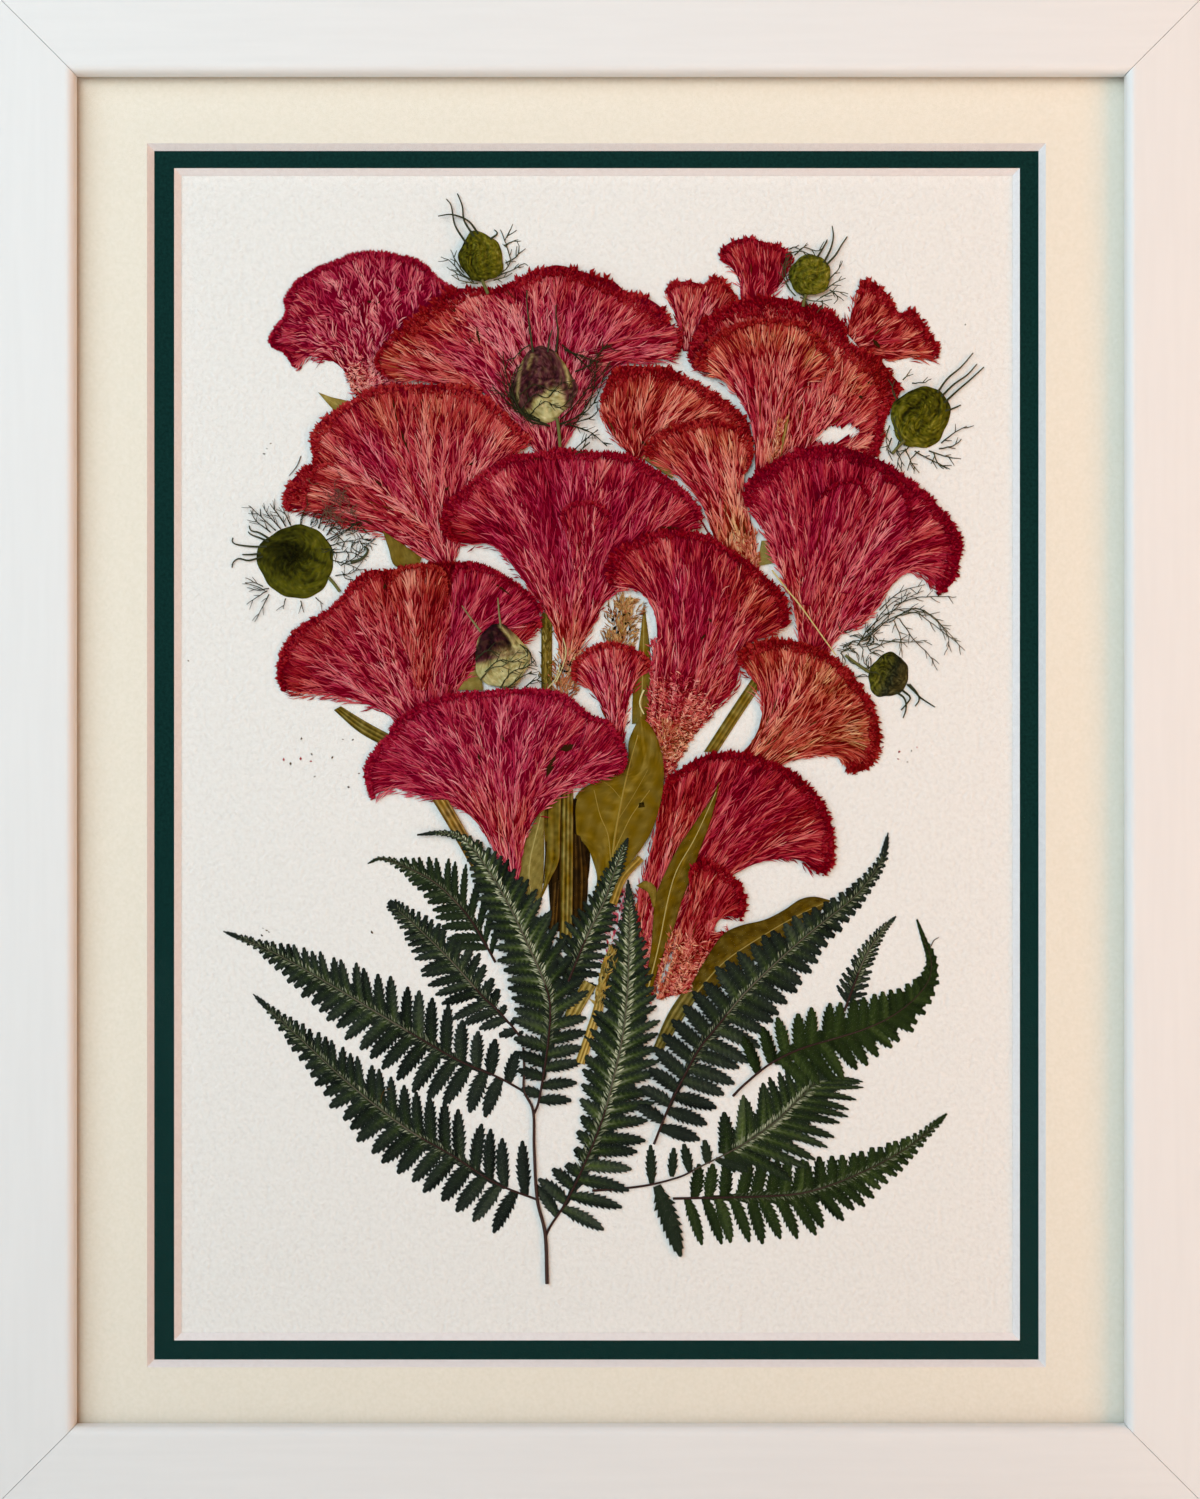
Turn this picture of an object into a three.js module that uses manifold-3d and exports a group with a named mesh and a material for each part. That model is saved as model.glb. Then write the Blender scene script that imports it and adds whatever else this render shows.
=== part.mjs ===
import * as THREE from 'three';
import { mergeVertices } from 'three/addons/utils/BufferGeometryUtils.js';
import Module from 'manifold-3d';

// A hanging frame with pressed flowers under glass. Millimetres, +Z up.
// The front looks along -Y. The origin is the middle notch of the hanger on
// the back of the top rail, on the rails' back plane.

// ---- frame ---------------------------------------------------------------
const SIGHT_W = 266.7;        // opening inside the rails' lip, across
const SIGHT_H = 342.9;        // opening inside the rails' lip, up and down
const RAIL_W = 22.2;          // face width of a rail, sight edge to outer edge
const RAIL_D = 20;            // front to back
const LIP_T = 4;              // lip in front of the glass
const RABBET = 6.35;          // how far the lip covers the glass
const INNER_R = 2;            // rounding of the rail's inner front edge
const OUTER_R = 1.2;          // rounding of the rail's outer front edge
const MITRE_GAP = 0.08;       // half the hairline at each mitre
const HANG_Z = 186;           // hanger notch above the middle of the opening

// ---- sheets in the rabbet, front to back -----------------------------------
const SHEET_W = 277.8;        // glass, mats, paper and board, across
const SHEET_H = 354;          // the same, up and down
const GAP = 0.05;             // between one sheet and the next
const GLASS_T = 2;
const MAT_T = 1.6;
const PAPER_T = 0.5;
const BOARD_T = 3;
const MAT_BEVEL = 1.5;        // 45 degree cut round each window
const MAT_TOP_WINDOW = { x0: -116, x1: 113.9, z0: -157.9, z1: 155.2 };
const MAT_UNDER_WINDOW = { x0: -109.4, x1: 107.6, z0: -151.5, z1: 149.3 };

// ---- hanger ------------------------------------------------------------------
const HANGER = { w: 44, leg: 6, top: 6, tooth: 2.2, pitch: 3.2, teeth: 8, t: 0.8, off: 1.8 };

// ---- colours -----------------------------------------------------------------
const WHITE = 0xe9e7e3, CREAM = 0xe8e0cf, GREEN = 0x15302d, PAPER = 0xe9e5da;
const BOARD = 0x8f7a5f, STEEL = 0xa9a9a6;
const CRIMSON = 0xa02638, FERN = 0x1f3527, OLIVE = 0x7c7126, POD = 0x55611f, STEM = 0x8d7a2c;

// ---- front faces of the sheets -------------------------------------------------
const Y_FRONT = -RAIL_D;
const Y_GLASS = Y_FRONT + LIP_T + GAP;
const Y_MAT_TOP = Y_GLASS + GLASS_T + GAP;
const Y_MAT_UNDER = Y_MAT_TOP + MAT_T + GAP;
const Y_PAPER = Y_MAT_UNDER + MAT_T + GAP;
const Y_BOARD = Y_PAPER + PAPER_T + GAP;
const Y_BED = Y_PAPER - GAP;  // plane that the lowest specimens lie on

// ---- specimens -------------------------------------------------------------------
// Each specimen is a thin pressed plate. Its outline is [x, z] from the middle
// of the opening. Its back face is a plane that is `lift` in front of the paper
// at the point `at`, rising by `slope` per millimetre across and up, so that each
// one lies over the necks of those above it like a shingle.

// Cockscomb heads: fan with a folded crest, down to the neck.
const CELOSIA = [
  { name: 'celosia_01', thick: 0.55, at: [-63.569, 112.715], lift: 0, slope: [0, 0],
    outline: [[-63.23, 91.31], [-65.28, 95.93], [-67.33, 99.52], [-70.92, 99.78], [-75.03, 100.8], [-77.85, 97.73], [-79.64, 99.01], [-81.7, 102.6], [-85.03, 103.37], [-85.8, 105.68], [-84.26, 109.01], [-81.18, 112.35], [-81.95, 115.68], [-79.64, 119.79], [-75.8, 123.12], [-71.44, 125.17], [-67.33, 126.71], [-63.74, 128.25], [-59.64, 128.76], [-55.28, 128.51], [-51.43, 127.74], [-47.84, 126.97], [-45.02, 125.43], [-42.71, 122.86], [-40.4, 120.81], [-37.32, 119.27], [-35.27, 117.22], [-38.09, 112.35], [-45.02, 103.88], [-51.94, 91.83]] },
  { name: 'celosia_02', thick: 0.55, at: [-15.313, 107.037], lift: 0.7298, slope: [-0.001631, 0.016023],
    outline: [[-16.29, 76.44], [-24.24, 84.64], [-32.45, 93.37], [-39.89, 94.91], [-47.58, 95.42], [-55.53, 95.42], [-57.84, 99.52], [-55.79, 104.4], [-51.17, 109.78], [-45.27, 114.91], [-39.89, 119.02], [-33.47, 119.53], [-25.78, 119.27], [-20.65, 122.61], [-15.52, 124.66], [-10.9, 125.69], [-6.03, 124.4], [1.15, 122.35], [5, 120.81], [7.31, 117.73], [10.13, 118.25], [13.98, 116.19], [17.06, 113.89], [19.37, 109.01], [21.42, 104.14], [19.37, 101.06], [12.7, 99.78], [4.49, 98.24], [-3.21, 89.26], [-9.88, 76.44]] },
  { name: 'celosia_03', thick: 0.55, at: [-55.163, 74.566], lift: 0.5861, slope: [0.005345, 0.023945],
    outline: [[-42.19, 47.2], [-46.04, 49.76], [-50.4, 52.58], [-55.02, 54.89], [-59.64, 56.17], [-65.54, 57.2], [-71.44, 59.76], [-77.08, 61.3], [-81.7, 61.3], [-82.46, 65.41], [-80.41, 69.25], [-77.85, 71.82], [-75.8, 73.62], [-73.49, 74.13], [-74.77, 76.95], [-75.28, 80.03], [-74.26, 82.59], [-72.46, 85.16], [-69.13, 87.47], [-65.28, 89.78], [-61.69, 92.34], [-57.84, 93.88], [-52.71, 94.39], [-46.3, 94.65], [-39.89, 94.39], [-33.99, 94.14], [-30.4, 92.34], [-27.06, 89.52], [-23.73, 86.7], [-20.65, 83.62], [-17.31, 80.28], [-23.73, 73.36], [-32.45, 61.05], [-37.58, 48.22]] },
  { name: 'celosia_04', thick: 0.55, at: [18.515, 88.02], lift: 1.0178, slope: [0.006488, 0.031585],
    outline: [[7.57, 75.67], [2.69, 80.54], [0.13, 85.67], [0.13, 91.31], [1.67, 96.19], [3.98, 98.75], [7.57, 99.52], [12.18, 99.01], [17.31, 99.01], [22.96, 95.93], [26.8, 94.14], [30.65, 91.57], [34.5, 88.75], [37.83, 85.67], [39.37, 82.08], [39.89, 77.98], [31.93, 77.98], [22.96, 77.98], [11.67, 74.64]] },
  { name: 'celosia_05', thick: 0.55, at: [28.677, 71.64], lift: 1.1238, slope: [0.005569, 0.03985],
    outline: [[31.16, 43.09], [28.86, 55.15], [24.75, 64.89], [17.83, 71.56], [10.64, 75.41], [11.41, 79], [13.98, 81.31], [16.8, 82.85], [20.9, 84.39], [25.78, 85.16], [30.65, 84.9], [35.27, 83.62], [38.35, 81.05], [39.63, 77.46], [39.12, 74.39], [37.83, 71.82], [35.27, 69.51], [35.01, 65.66], [38.86, 58.48], [41.42, 43.09]] },
  { name: 'celosia_06', thick: 0.55, at: [-10.565, 56.899], lift: 1.0135, slope: [0.005613, 0.023479],
    outline: [[-13.21, 14.36], [-15.26, 28.21], [-17.83, 38.48], [-22.7, 45.91], [-27.32, 52.07], [-33.47, 52.33], [-38.6, 53.61], [-41.17, 55.66], [-41.68, 58.74], [-40.66, 62.84], [-37.32, 66.18], [-32.19, 70.54], [-27.06, 73.87], [-21.93, 76.44], [-15.52, 76.95], [-10.39, 77.98], [-3.98, 77.21], [2.44, 76.95], [8.08, 76.18], [12.18, 73.87], [16.54, 71.31], [20.9, 67.97], [24.75, 64.12], [27.06, 60.02], [20.39, 53.87], [10.13, 45.14], [1.41, 37.96], [-3.21, 26.93], [-6.8, 14.36]] },
  { name: 'celosia_07', thick: 0.55, at: [39.1, 125.14], lift: 0, slope: [0, 0],
    outline: [[36.04, 114.66], [36.04, 118.5], [34.76, 122.35], [32.45, 124.92], [30.4, 126.2], [30.14, 128.76], [32.19, 130.81], [35.01, 132.1], [38.86, 132.61], [41.42, 131.33], [45.53, 130.81], [48.09, 129.28], [50.15, 126.97], [47.58, 120.81], [44.5, 117.48], [42.45, 114.66]] },
  { name: 'celosia_08', thick: 0.55, at: [25.313, 115.682], lift: 0.2608, slope: [0.031149, 0.010048],
    outline: [[21.16, 102.6], [19.88, 109.01], [17.83, 114.4], [16.03, 118.5], [17.57, 120.56], [20.39, 121.32], [24.24, 121.07], [27.06, 119.53], [27.83, 121.84], [29.11, 122.61], [31.42, 121.84], [33.99, 119.27], [36.04, 116.19], [31.16, 111.83], [27.06, 107.73], [24.24, 102.6]] },
  { name: 'celosia_09', thick: 0.55, at: [52.996, 97.052], lift: 0.6496, slope: [-0.004289, 0.024953],
    outline: [[42.96, 70.79], [37.06, 81.57], [30.65, 91.57], [24.75, 97.21], [21.93, 101.57], [23.21, 106.45], [25.78, 110.81], [29.63, 113.89], [34.5, 116.19], [40.91, 117.48], [47.32, 116.71], [53.22, 115.42], [58.87, 113.63], [61.94, 111.32], [63.48, 107.73], [64.25, 104.4], [68.61, 103.63], [72.72, 100.8], [75.03, 97.47], [78.36, 93.37], [76.82, 90.54], [73.74, 85.67], [73.23, 79.52], [71.69, 75.41], [68.1, 73.62], [60.41, 72.85], [51.68, 70.79]] },
  { name: 'celosia_10', thick: 0.55, at: [41.262, 95.441], lift: 1.7351, slope: [-0.026852, 0.016197],
    outline: [[39.12, 69.25], [40.14, 76.44], [38.86, 83.11], [36.29, 89.01], [32.7, 93.37], [28.6, 96.44], [24.75, 97.21], [23.73, 99.27], [25.01, 102.6], [27.57, 105.68], [31.16, 108.24], [37.06, 110.3], [43.48, 111.32], [49.89, 110.81], [55.02, 108.24], [58.35, 104.65], [60.15, 100.8], [60.15, 97.98], [54.25, 94.91], [49.12, 89.26], [46.81, 81.57], [45.53, 69.25]] },
  { name: 'celosia_11', thick: 0.55, at: [75.857, 111.297], lift: 0, slope: [0, 0],
    outline: [[62.97, 107.73], [64.77, 113.89], [66.56, 119.79], [66.82, 121.58], [68.87, 121.84], [71.18, 120.81], [73.74, 118.5], [75.54, 116.19], [76.31, 113.89], [76.31, 111.83], [77.33, 112.09], [78.87, 113.37], [80.41, 114.4], [82.46, 112.35], [85.03, 108.5], [87.08, 105.17], [87.85, 102.34], [86.06, 100.55], [81.44, 100.8], [75.28, 99.78], [68.1, 101.83]] },
  { name: 'celosia_12', thick: 0.55, at: [66.886, 54.423], lift: 0.9127, slope: [-0.019468, 0.034742],
    outline: [[51.94, 23.09], [49.63, 35.4], [46.04, 44.63], [42.96, 52.33], [40.14, 58.74], [36.55, 63.61], [36.29, 66.69], [37.83, 70.02], [40.91, 72.59], [45.53, 75.41], [49.89, 77.46], [55.02, 78.49], [60.15, 78.75], [66.56, 77.21], [71.69, 75.15], [75.54, 73.1], [79.9, 69.77], [84.52, 66.18], [88.36, 62.07], [91.44, 58.48], [93.49, 54.38], [93.75, 51.3], [92.72, 47.2], [91.96, 43.61], [89.9, 41.3], [87.59, 39.76], [85.03, 42.84], [82.21, 44.89], [78.1, 45.91], [74, 41.04], [70.67, 35.4], [65.54, 30.78], [60.41, 29.75], [57.84, 23.09]] },
  { name: 'celosia_13', thick: 0.55, at: [24.197, 33.396], lift: 1.1507, slope: [0.001122, 0.027897],
    outline: [[13.98, -7.44], [13.21, 4.62], [13.98, 15.39], [15.26, 25.65], [15.77, 32.83], [13.98, 37.71], [10.13, 40.53], [5.51, 41.3], [1.41, 43.09], [0.9, 47.2], [2.44, 50.53], [6.28, 53.61], [12.7, 56.17], [19.11, 57.2], [25.52, 56.43], [29.37, 54.89], [33.22, 51.81], [38.35, 49.25], [42.19, 45.66], [46.04, 42.32], [48.09, 38.99], [49.12, 35.4], [48.86, 32.32], [42.45, 29.24], [37.58, 26.16], [36.04, 21.55], [34.76, 15.39], [28.86, 9.23], [22.96, 2.31], [17.83, -7.44]] },
  { name: 'celosia_14', thick: 0.55, at: [-51.627, 28.314], lift: 0.593, slope: [0.009526, 0.023157],
    outline: [[-46.3, 0.51], [-51.17, 6.16], [-56.56, 9.75], [-62.97, 12.31], [-70.67, 13.59], [-77.08, 14.11], [-82.46, 15.39], [-83.75, 17.96], [-83.75, 21.03], [-82.98, 24.88], [-80.67, 29.24], [-76.82, 33.09], [-71.95, 35.4], [-67.33, 39.24], [-63.74, 44.12], [-59.12, 46.94], [-54.51, 46.43], [-50.92, 47.71], [-45.02, 48.48], [-38.6, 48.73], [-32.19, 48.48], [-27.06, 46.68], [-21.93, 43.61], [-18.08, 39.76], [-15.26, 35.4], [-14.75, 31.81], [-22.19, 25.39], [-30.91, 21.03], [-35.27, 17.7], [-37.83, 12.31], [-38.6, 0.51]] },
  { name: 'celosia_15', thick: 0.55, at: [-28.561, -3.226], lift: 1.2068, slope: [0.028112, 0.035273],
    outline: [[-24.24, -34.37], [-26.8, -25.65], [-32.19, -18.21], [-38.6, -13.85], [-46.3, -12.06], [-52.45, -10.26], [-56.3, -11.03], [-59.12, -13.08], [-60.92, -9.23], [-61.43, -5.13], [-60.15, -1.8], [-57.07, 2.05], [-54.51, 4.87], [-53.74, 7.44], [-50.15, 10], [-45.02, 12.83], [-38.6, 14.88], [-30.91, 15.65], [-23.21, 16.16], [-14.24, 16.16], [-9.11, 14.88], [-5.26, 12.31], [-2.18, 9.23], [2.18, 7.7], [5.51, 3.85], [7.05, -0.51], [6.8, -3.59], [2.95, -5.39], [-2.44, -7.7], [-7.57, -10.26], [-13.98, -14.88], [-19.11, -22.06], [-21.42, -35.4]] },
  { name: 'celosia_16', thick: 0.55, at: [2.232, 18.28], lift: 0.5621, slope: [-0.025782, 0.028605],
    outline: [[2.69, 2.05], [0.9, 9.49], [-2.18, 14.62], [-7.57, 18.21], [-8.08, 20.52], [-7.05, 23.09], [-4.49, 25.65], [-0.64, 27.7], [3.72, 28.21], [8.08, 26.93], [11.93, 24.62], [13.72, 22.32], [9.36, 17.44], [7.05, 11.29], [6.03, 2.05]] },
  { name: 'celosia_17', thick: 0.55, at: [53.197, 8.403], lift: 0.7411, slope: [-0.007521, 0.043145],
    outline: [[30.91, -7.95], [36.04, -1.03], [40.14, 3.59], [41.68, 9.49], [40.14, 15.39], [37.32, 19.75], [34.76, 23.09], [35.01, 25.65], [38.09, 27.96], [43.48, 29.24], [49.89, 28.73], [55.02, 27.45], [60.15, 24.37], [64, 21.03], [67.07, 17.44], [69.9, 13.34], [71.69, 8.98], [72.72, 3.85], [72.46, 0], [71.18, -3.59], [68.61, -5.64], [65.28, -6.67], [62.46, -5.9], [63.48, -3.85], [60.92, -1.8], [56.3, -1.54], [51.17, -2.56], [45.53, -3.59], [37.32, -11.54]] },
  { name: 'celosia_18', thick: 0.55, at: [35.012, -23.928], lift: 0.696, slope: [0, 0.016883],
    outline: [[5.51, -65.15], [8.85, -51.3], [9.62, -38.48], [12.18, -26.93], [14.49, -18.47], [15.77, -10.77], [17.06, -6.41], [20.65, -4.1], [25.52, -1.28], [30.65, 0], [37.06, 0], [43.48, -2.05], [48.61, -4.1], [52.45, -7.18], [56.3, -11.03], [58.87, -15.39], [60.41, -20.52], [60.92, -25.65], [60.15, -30.01], [58.1, -32.58], [54.76, -31.55], [51.17, -28.73], [45.27, -27.7], [38.86, -29.24], [33.99, -31.81], [27.57, -36.68], [19.37, -47.71], [12.7, -65.15]] },
  { name: 'celosia_19', thick: 0.55, at: [27.867, -41.907], lift: 0.8703, slope: [-0.037323, 0.051587],
    outline: [[14.24, -64.12], [18.08, -54.38], [20.65, -44.63], [22.96, -37.45], [22.7, -31.81], [22.96, -29.24], [25.01, -27.96], [27.06, -27.45], [30.14, -28.73], [33.22, -30.78], [36.29, -34.11], [38.09, -37.96], [38.09, -41.3], [36.81, -43.86], [32.45, -42.84], [27.32, -43.86], [25.78, -48.22], [31.16, -46.17], [32.7, -47.45], [26.55, -55.4], [22.96, -62.33]] },
];

// Love-in-a-mist seed pods with their styles and a stub of stalk.
const NIGELLA = [
  { name: 'nigella_pod_1', thick: 1, at: [-31.65, 128.152], lift: 0.9544, slope: [-0.133836, -0.101305],
    outline: [[-25.01, 126.45], [-25.28, 124.47], [-26.09, 122.69], [-27.33, 121.27], [-28.91, 120.36], [-29.76, 120.32], [-28.72, 117.55], [-28.99, 117.41], [-31, 120.25], [-32.4, 120.36], [-33.97, 121.27], [-35.22, 122.69], [-36.02, 124.47], [-36.29, 126.45], [-36.02, 128.44], [-35.11, 130.07], [-39.51, 141.27], [-39.23, 141.39], [-34.64, 130.72], [-33.97, 131.64], [-32.38, 132.36], [-36.18, 143.07], [-35.89, 143.18], [-31.66, 132.57], [-30.65, 132.87], [-28.91, 132.55], [-27.33, 131.64], [-26.09, 130.22], [-25.28, 128.44]] },
  { name: 'nigella_pod_2', thick: 1, at: [-14.168, 95.983], lift: 1.1508, slope: [-0.001631, 0.016023],
    outline: [[-6.03, 93.88], [-6.45, 91.03], [-7.69, 88.45], [-9.62, 86.41], [-10.81, 85.95], [-10.24, 77.99], [-10.54, 77.96], [-11.95, 85.43], [-12.05, 85.1], [-14.75, 84.64], [-17.44, 85.1], [-19.87, 86.41], [-21.8, 88.45], [-23.04, 91.03], [-23.47, 93.88], [-23.04, 96.73], [-21.8, 99.31], [-19.87, 101.35], [-17.76, 102.25], [-19.01, 117.98], [-18.7, 118], [-17.05, 102.5], [-14.75, 103.11], [-12.05, 102.66], [-11.75, 102.26], [-11.57, 114.14], [-11.26, 114.14], [-11.07, 101.94], [-9.62, 101.35], [-7.69, 99.31], [-6.45, 96.73]] },
  { name: 'nigella_pod_3', thick: 1, at: [54.497, 121.906], lift: 1.0379, slope: [0.012462, -0.114539],
    outline: [[59.12, 121.84], [58.86, 120.17], [58.09, 118.67], [56.9, 117.48], [55.4, 116.71], [53.74, 116.45], [53.33, 116.63], [52.09, 113.85], [51.79, 113.93], [52.11, 116.87], [50.57, 117.48], [49.38, 118.67], [48.61, 120.17], [48.35, 121.84], [48.61, 123.5], [49.38, 125], [50.57, 126.2], [52.07, 126.96], [53.74, 127.22], [55.4, 126.96], [56.9, 126.2], [57.83, 125.09], [63.36, 131.93], [63.61, 131.75], [58.25, 124.47], [58.86, 123.5]] },
  { name: 'nigella_pod_4', thick: 1, at: [84.988, 88.114], lift: 0.4486, slope: [-0.058826, 0.03501],
    outline: [[89.65, 85.41], [89.28, 82.96], [88.23, 80.74], [86.58, 78.98], [84.51, 77.85], [82.21, 77.46], [79.91, 77.85], [78.42, 78.85], [75.4, 76.33], [75.17, 76.54], [77.42, 79.64], [76.19, 80.74], [75.13, 82.96], [74.77, 85.41], [75.13, 87.87], [76.19, 90.09], [77.84, 91.85], [79.91, 92.98], [82.21, 93.37], [84.51, 92.98], [85.72, 92.15], [95.69, 102.2], [95.91, 101.98], [86.35, 91.73], [86.58, 91.85], [86.84, 91.33], [96.73, 99.38], [96.93, 99.15], [87.39, 90.78], [87.92, 90.12], [98.53, 98.61], [98.72, 98.38], [88.35, 89.47], [89.28, 87.87]] },
  { name: 'nigella_pod_5', thick: 1, at: [-80.101, 48.37], lift: 0, slope: [0, 0],
    outline: [[-68.61, 48.48], [-69.08, 45.55], [-69.61, 44.93], [-67.21, 41.13], [-67.45, 40.95], [-70.17, 43.82], [-70.43, 42.9], [-72.53, 40.8], [-75.17, 39.45], [-78.1, 38.99], [-81.04, 39.45], [-83.68, 40.8], [-85.78, 42.9], [-87.13, 45.55], [-87.59, 48.48], [-87.26, 49.45], [-94.99, 47.3], [-95.07, 47.6], [-87.15, 50.19], [-87.13, 51.41], [-86.5, 52.26], [-94.8, 53.71], [-94.75, 54.02], [-86.16, 52.93], [-85.78, 54.06], [-83.68, 56.16], [-81.04, 57.5], [-78.1, 57.97], [-75.17, 57.5], [-72.53, 56.16], [-70.43, 54.06], [-69.08, 51.41]] },
  { name: 'nigella_pod_6', thick: 1, at: [-26.328, 25.037], lift: 1.4083, slope: [-0.00502, 0.051484],
    outline: [[-18.34, 23.85], [-18.69, 21.48], [-19.71, 19.33], [-21.3, 17.63], [-23.3, 16.54], [-23.89, 16.6], [-23.58, 13.38], [-23.88, 13.3], [-25.12, 16.4], [-25.52, 16.16], [-27.74, 16.54], [-29.74, 17.63], [-31.33, 19.33], [-32.35, 21.48], [-32.7, 23.85], [-32.35, 26.23], [-31.33, 28.38], [-30.33, 29.25], [-35.64, 36.07], [-35.41, 36.26], [-29.77, 29.77], [-29.74, 30.08], [-27.74, 31.17], [-25.89, 31.31], [-26.44, 38.46], [-26.14, 38.49], [-25.15, 31.31], [-23.3, 31.17], [-21.3, 30.08], [-19.71, 28.38], [-18.69, 26.23]] },
  { name: 'nigella_pod_7', thick: 1, at: [74.637, 18.005], lift: 0, slope: [0, 0],
    outline: [[79.9, 19.24], [79.61, 17.73], [79.17, 17.22], [86.41, 11.15], [86.22, 10.91], [78.72, 16.57], [78.77, 16.37], [77.47, 15.29], [76.71, 15.08], [78.25, 9.8], [77.96, 9.69], [75.89, 14.77], [75.82, 14.6], [74, 14.36], [72.18, 14.6], [70.53, 15.29], [69.23, 16.37], [68.39, 17.73], [68.1, 19.24], [68.29, 19.51], [62.88, 24.24], [63.06, 24.49], [68.57, 20.73], [69.23, 22.1], [70.53, 23.18], [72.18, 23.87], [74, 24.11], [75.82, 23.87], [77.47, 23.18], [78.77, 22.1], [79.61, 20.74]] },
];

// Leaves and cut stems between the flower heads.
const LEAVES = [
  { name: 'leaf_broad', thick: 0.25, at: [4.5, -15.725], lift: 0.7962, slope: [0.0619, 0.005734],
    outline: [[10.13, 8.72], [12.7, 6.41], [14.49, 3.08], [15.77, -1.28], [16.29, -6.41], [15.52, -12.83], [13.47, -20.01], [10.64, -25.14], [7.05, -29.75], [3.46, -35.4], [0.38, -41.55], [-2.18, -44.89], [-0.9, -35.91], [-2.18, -28.73], [-3.98, -23.6], [-7.82, -21.55], [-7.57, -16.67], [-6.8, -12.83], [-4.75, -10], [-0.13, -7.7], [5.51, -5.64], [7.05, -2.56], [7.31, 2.56]] },
  { name: 'leaf_grey', thick: 0.25, at: [-16.847, -28.402], lift: 0, slope: [0, 0],
    outline: [[-14.49, -12.83], [-15.52, -17.96], [-18.85, -24.62], [-21.42, -29.75], [-21.93, -33.6], [-20.14, -36.94], [-17.06, -40.53], [-15.26, -39.24], [-14.24, -33.34], [-13.21, -25.65], [-13.21, -17.96]] },
  { name: 'leaf_olive', thick: 0.25, at: [-12.394, -26.443], lift: 0.3083, slope: [0.252187, -0.013273],
    outline: [[-12.7, -11.8], [-10.13, -12.06], [-10.39, -20.52], [-10.64, -27.19], [-12.44, -31.29], [-13.72, -35.4], [-12.7, -37.45], [-14.24, -38.22], [-13.98, -33.34], [-12.7, -25.65], [-12.7, -17.96]] },
  { name: 'leaf_blade', thick: 0.25, at: [20.406, -34.656], lift: 1.1148, slope: [0, 0.016883],
    outline: [[30.4, -8.21], [29.63, -12.83], [28.09, -19.49], [26.03, -26.16], [23.21, -33.34], [20.9, -39.5], [18.34, -46.68], [15.52, -54.38], [13.21, -62.07], [10.13, -64.12], [11.41, -55.92], [12.95, -47.71], [14.49, -40.53], [16.29, -33.86], [19.37, -28.21], [22.96, -22.06], [25.78, -16.42], [28.6, -12.31]] },
  { name: 'leaf_right', thick: 0.25, at: [40.843, -48.718], lift: 0.4493, slope: [-0.057971, 0.065222],
    outline: [[23.47, -60.02], [26.55, -54.63], [31.16, -47.71], [35.78, -45.14], [42.19, -43.61], [47.32, -41.04], [51.17, -38.48], [55.02, -37.71], [59.38, -38.73], [55.79, -42.32], [51.17, -46.17], [43.48, -51.3], [35.78, -56.94], [29.37, -62.07], [25.01, -64.89]] },
  { name: 'leaf_tip', thick: 0.25, at: [-65.682, 87.723], lift: 0, slope: [0, 0],
    outline: [[-72.72, 92.08], [-69.13, 90.8], [-64.25, 89.52], [-58.61, 86.18], [-60.15, 82.59], [-65.54, 84.64], [-69.38, 88.24]] },
  { name: 'leaf_spear', thick: 0.25, at: [10.873, 21.176], lift: 0, slope: [0, 0],
    outline: [[11.16, 38.22], [12.18, 30.78], [12.95, 23.09], [12.95, 15.39], [12.44, 7.18], [8.08, 6.67], [8.34, 15.39], [9.36, 23.09], [10.39, 30.78]] },
];
const STEMS = [
  { name: 'stem_left', thick: 0.4, at: [-60.705, 6.071], lift: 0, slope: [0, 0],
    outline: [[-68.61, 10.26], [-66.82, 11.29], [-60.15, 7.18], [-52.45, 3.08], [-53.99, 0], [-62.2, 4.62]] },
  { name: 'stem_right', thick: 0.4, at: [34.67, 9.149], lift: 0, slope: [0, 0],
    outline: [[39.37, 18.98], [41.94, 17.44], [36.81, 9.75], [30.14, -0.51], [26.55, -0.51], [33.22, 9.75]] },
  { name: 'stem_brown', thick: 0.4, at: [-34.499, -24.624], lift: 0.6119, slope: [0.024827, 0.060046],
    outline: [[-43.22, -12.83], [-39.12, -12.83], [-35.01, -20.01], [-30.91, -27.7], [-26.29, -36.42], [-29.37, -36.94], [-33.47, -29.75], [-38.6, -20.52]] },
  { name: 'stem_yellow', thick: 0.4, at: [-8.764, -29.07], lift: 0.2132, slope: [0.053391, 0.005734],
    outline: [[-10.13, -10.26], [-7.05, -10.26], [-7.05, -28.21], [-7.31, -48.73], [-10.64, -48.73], [-10.39, -28.21]] },
];

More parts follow.
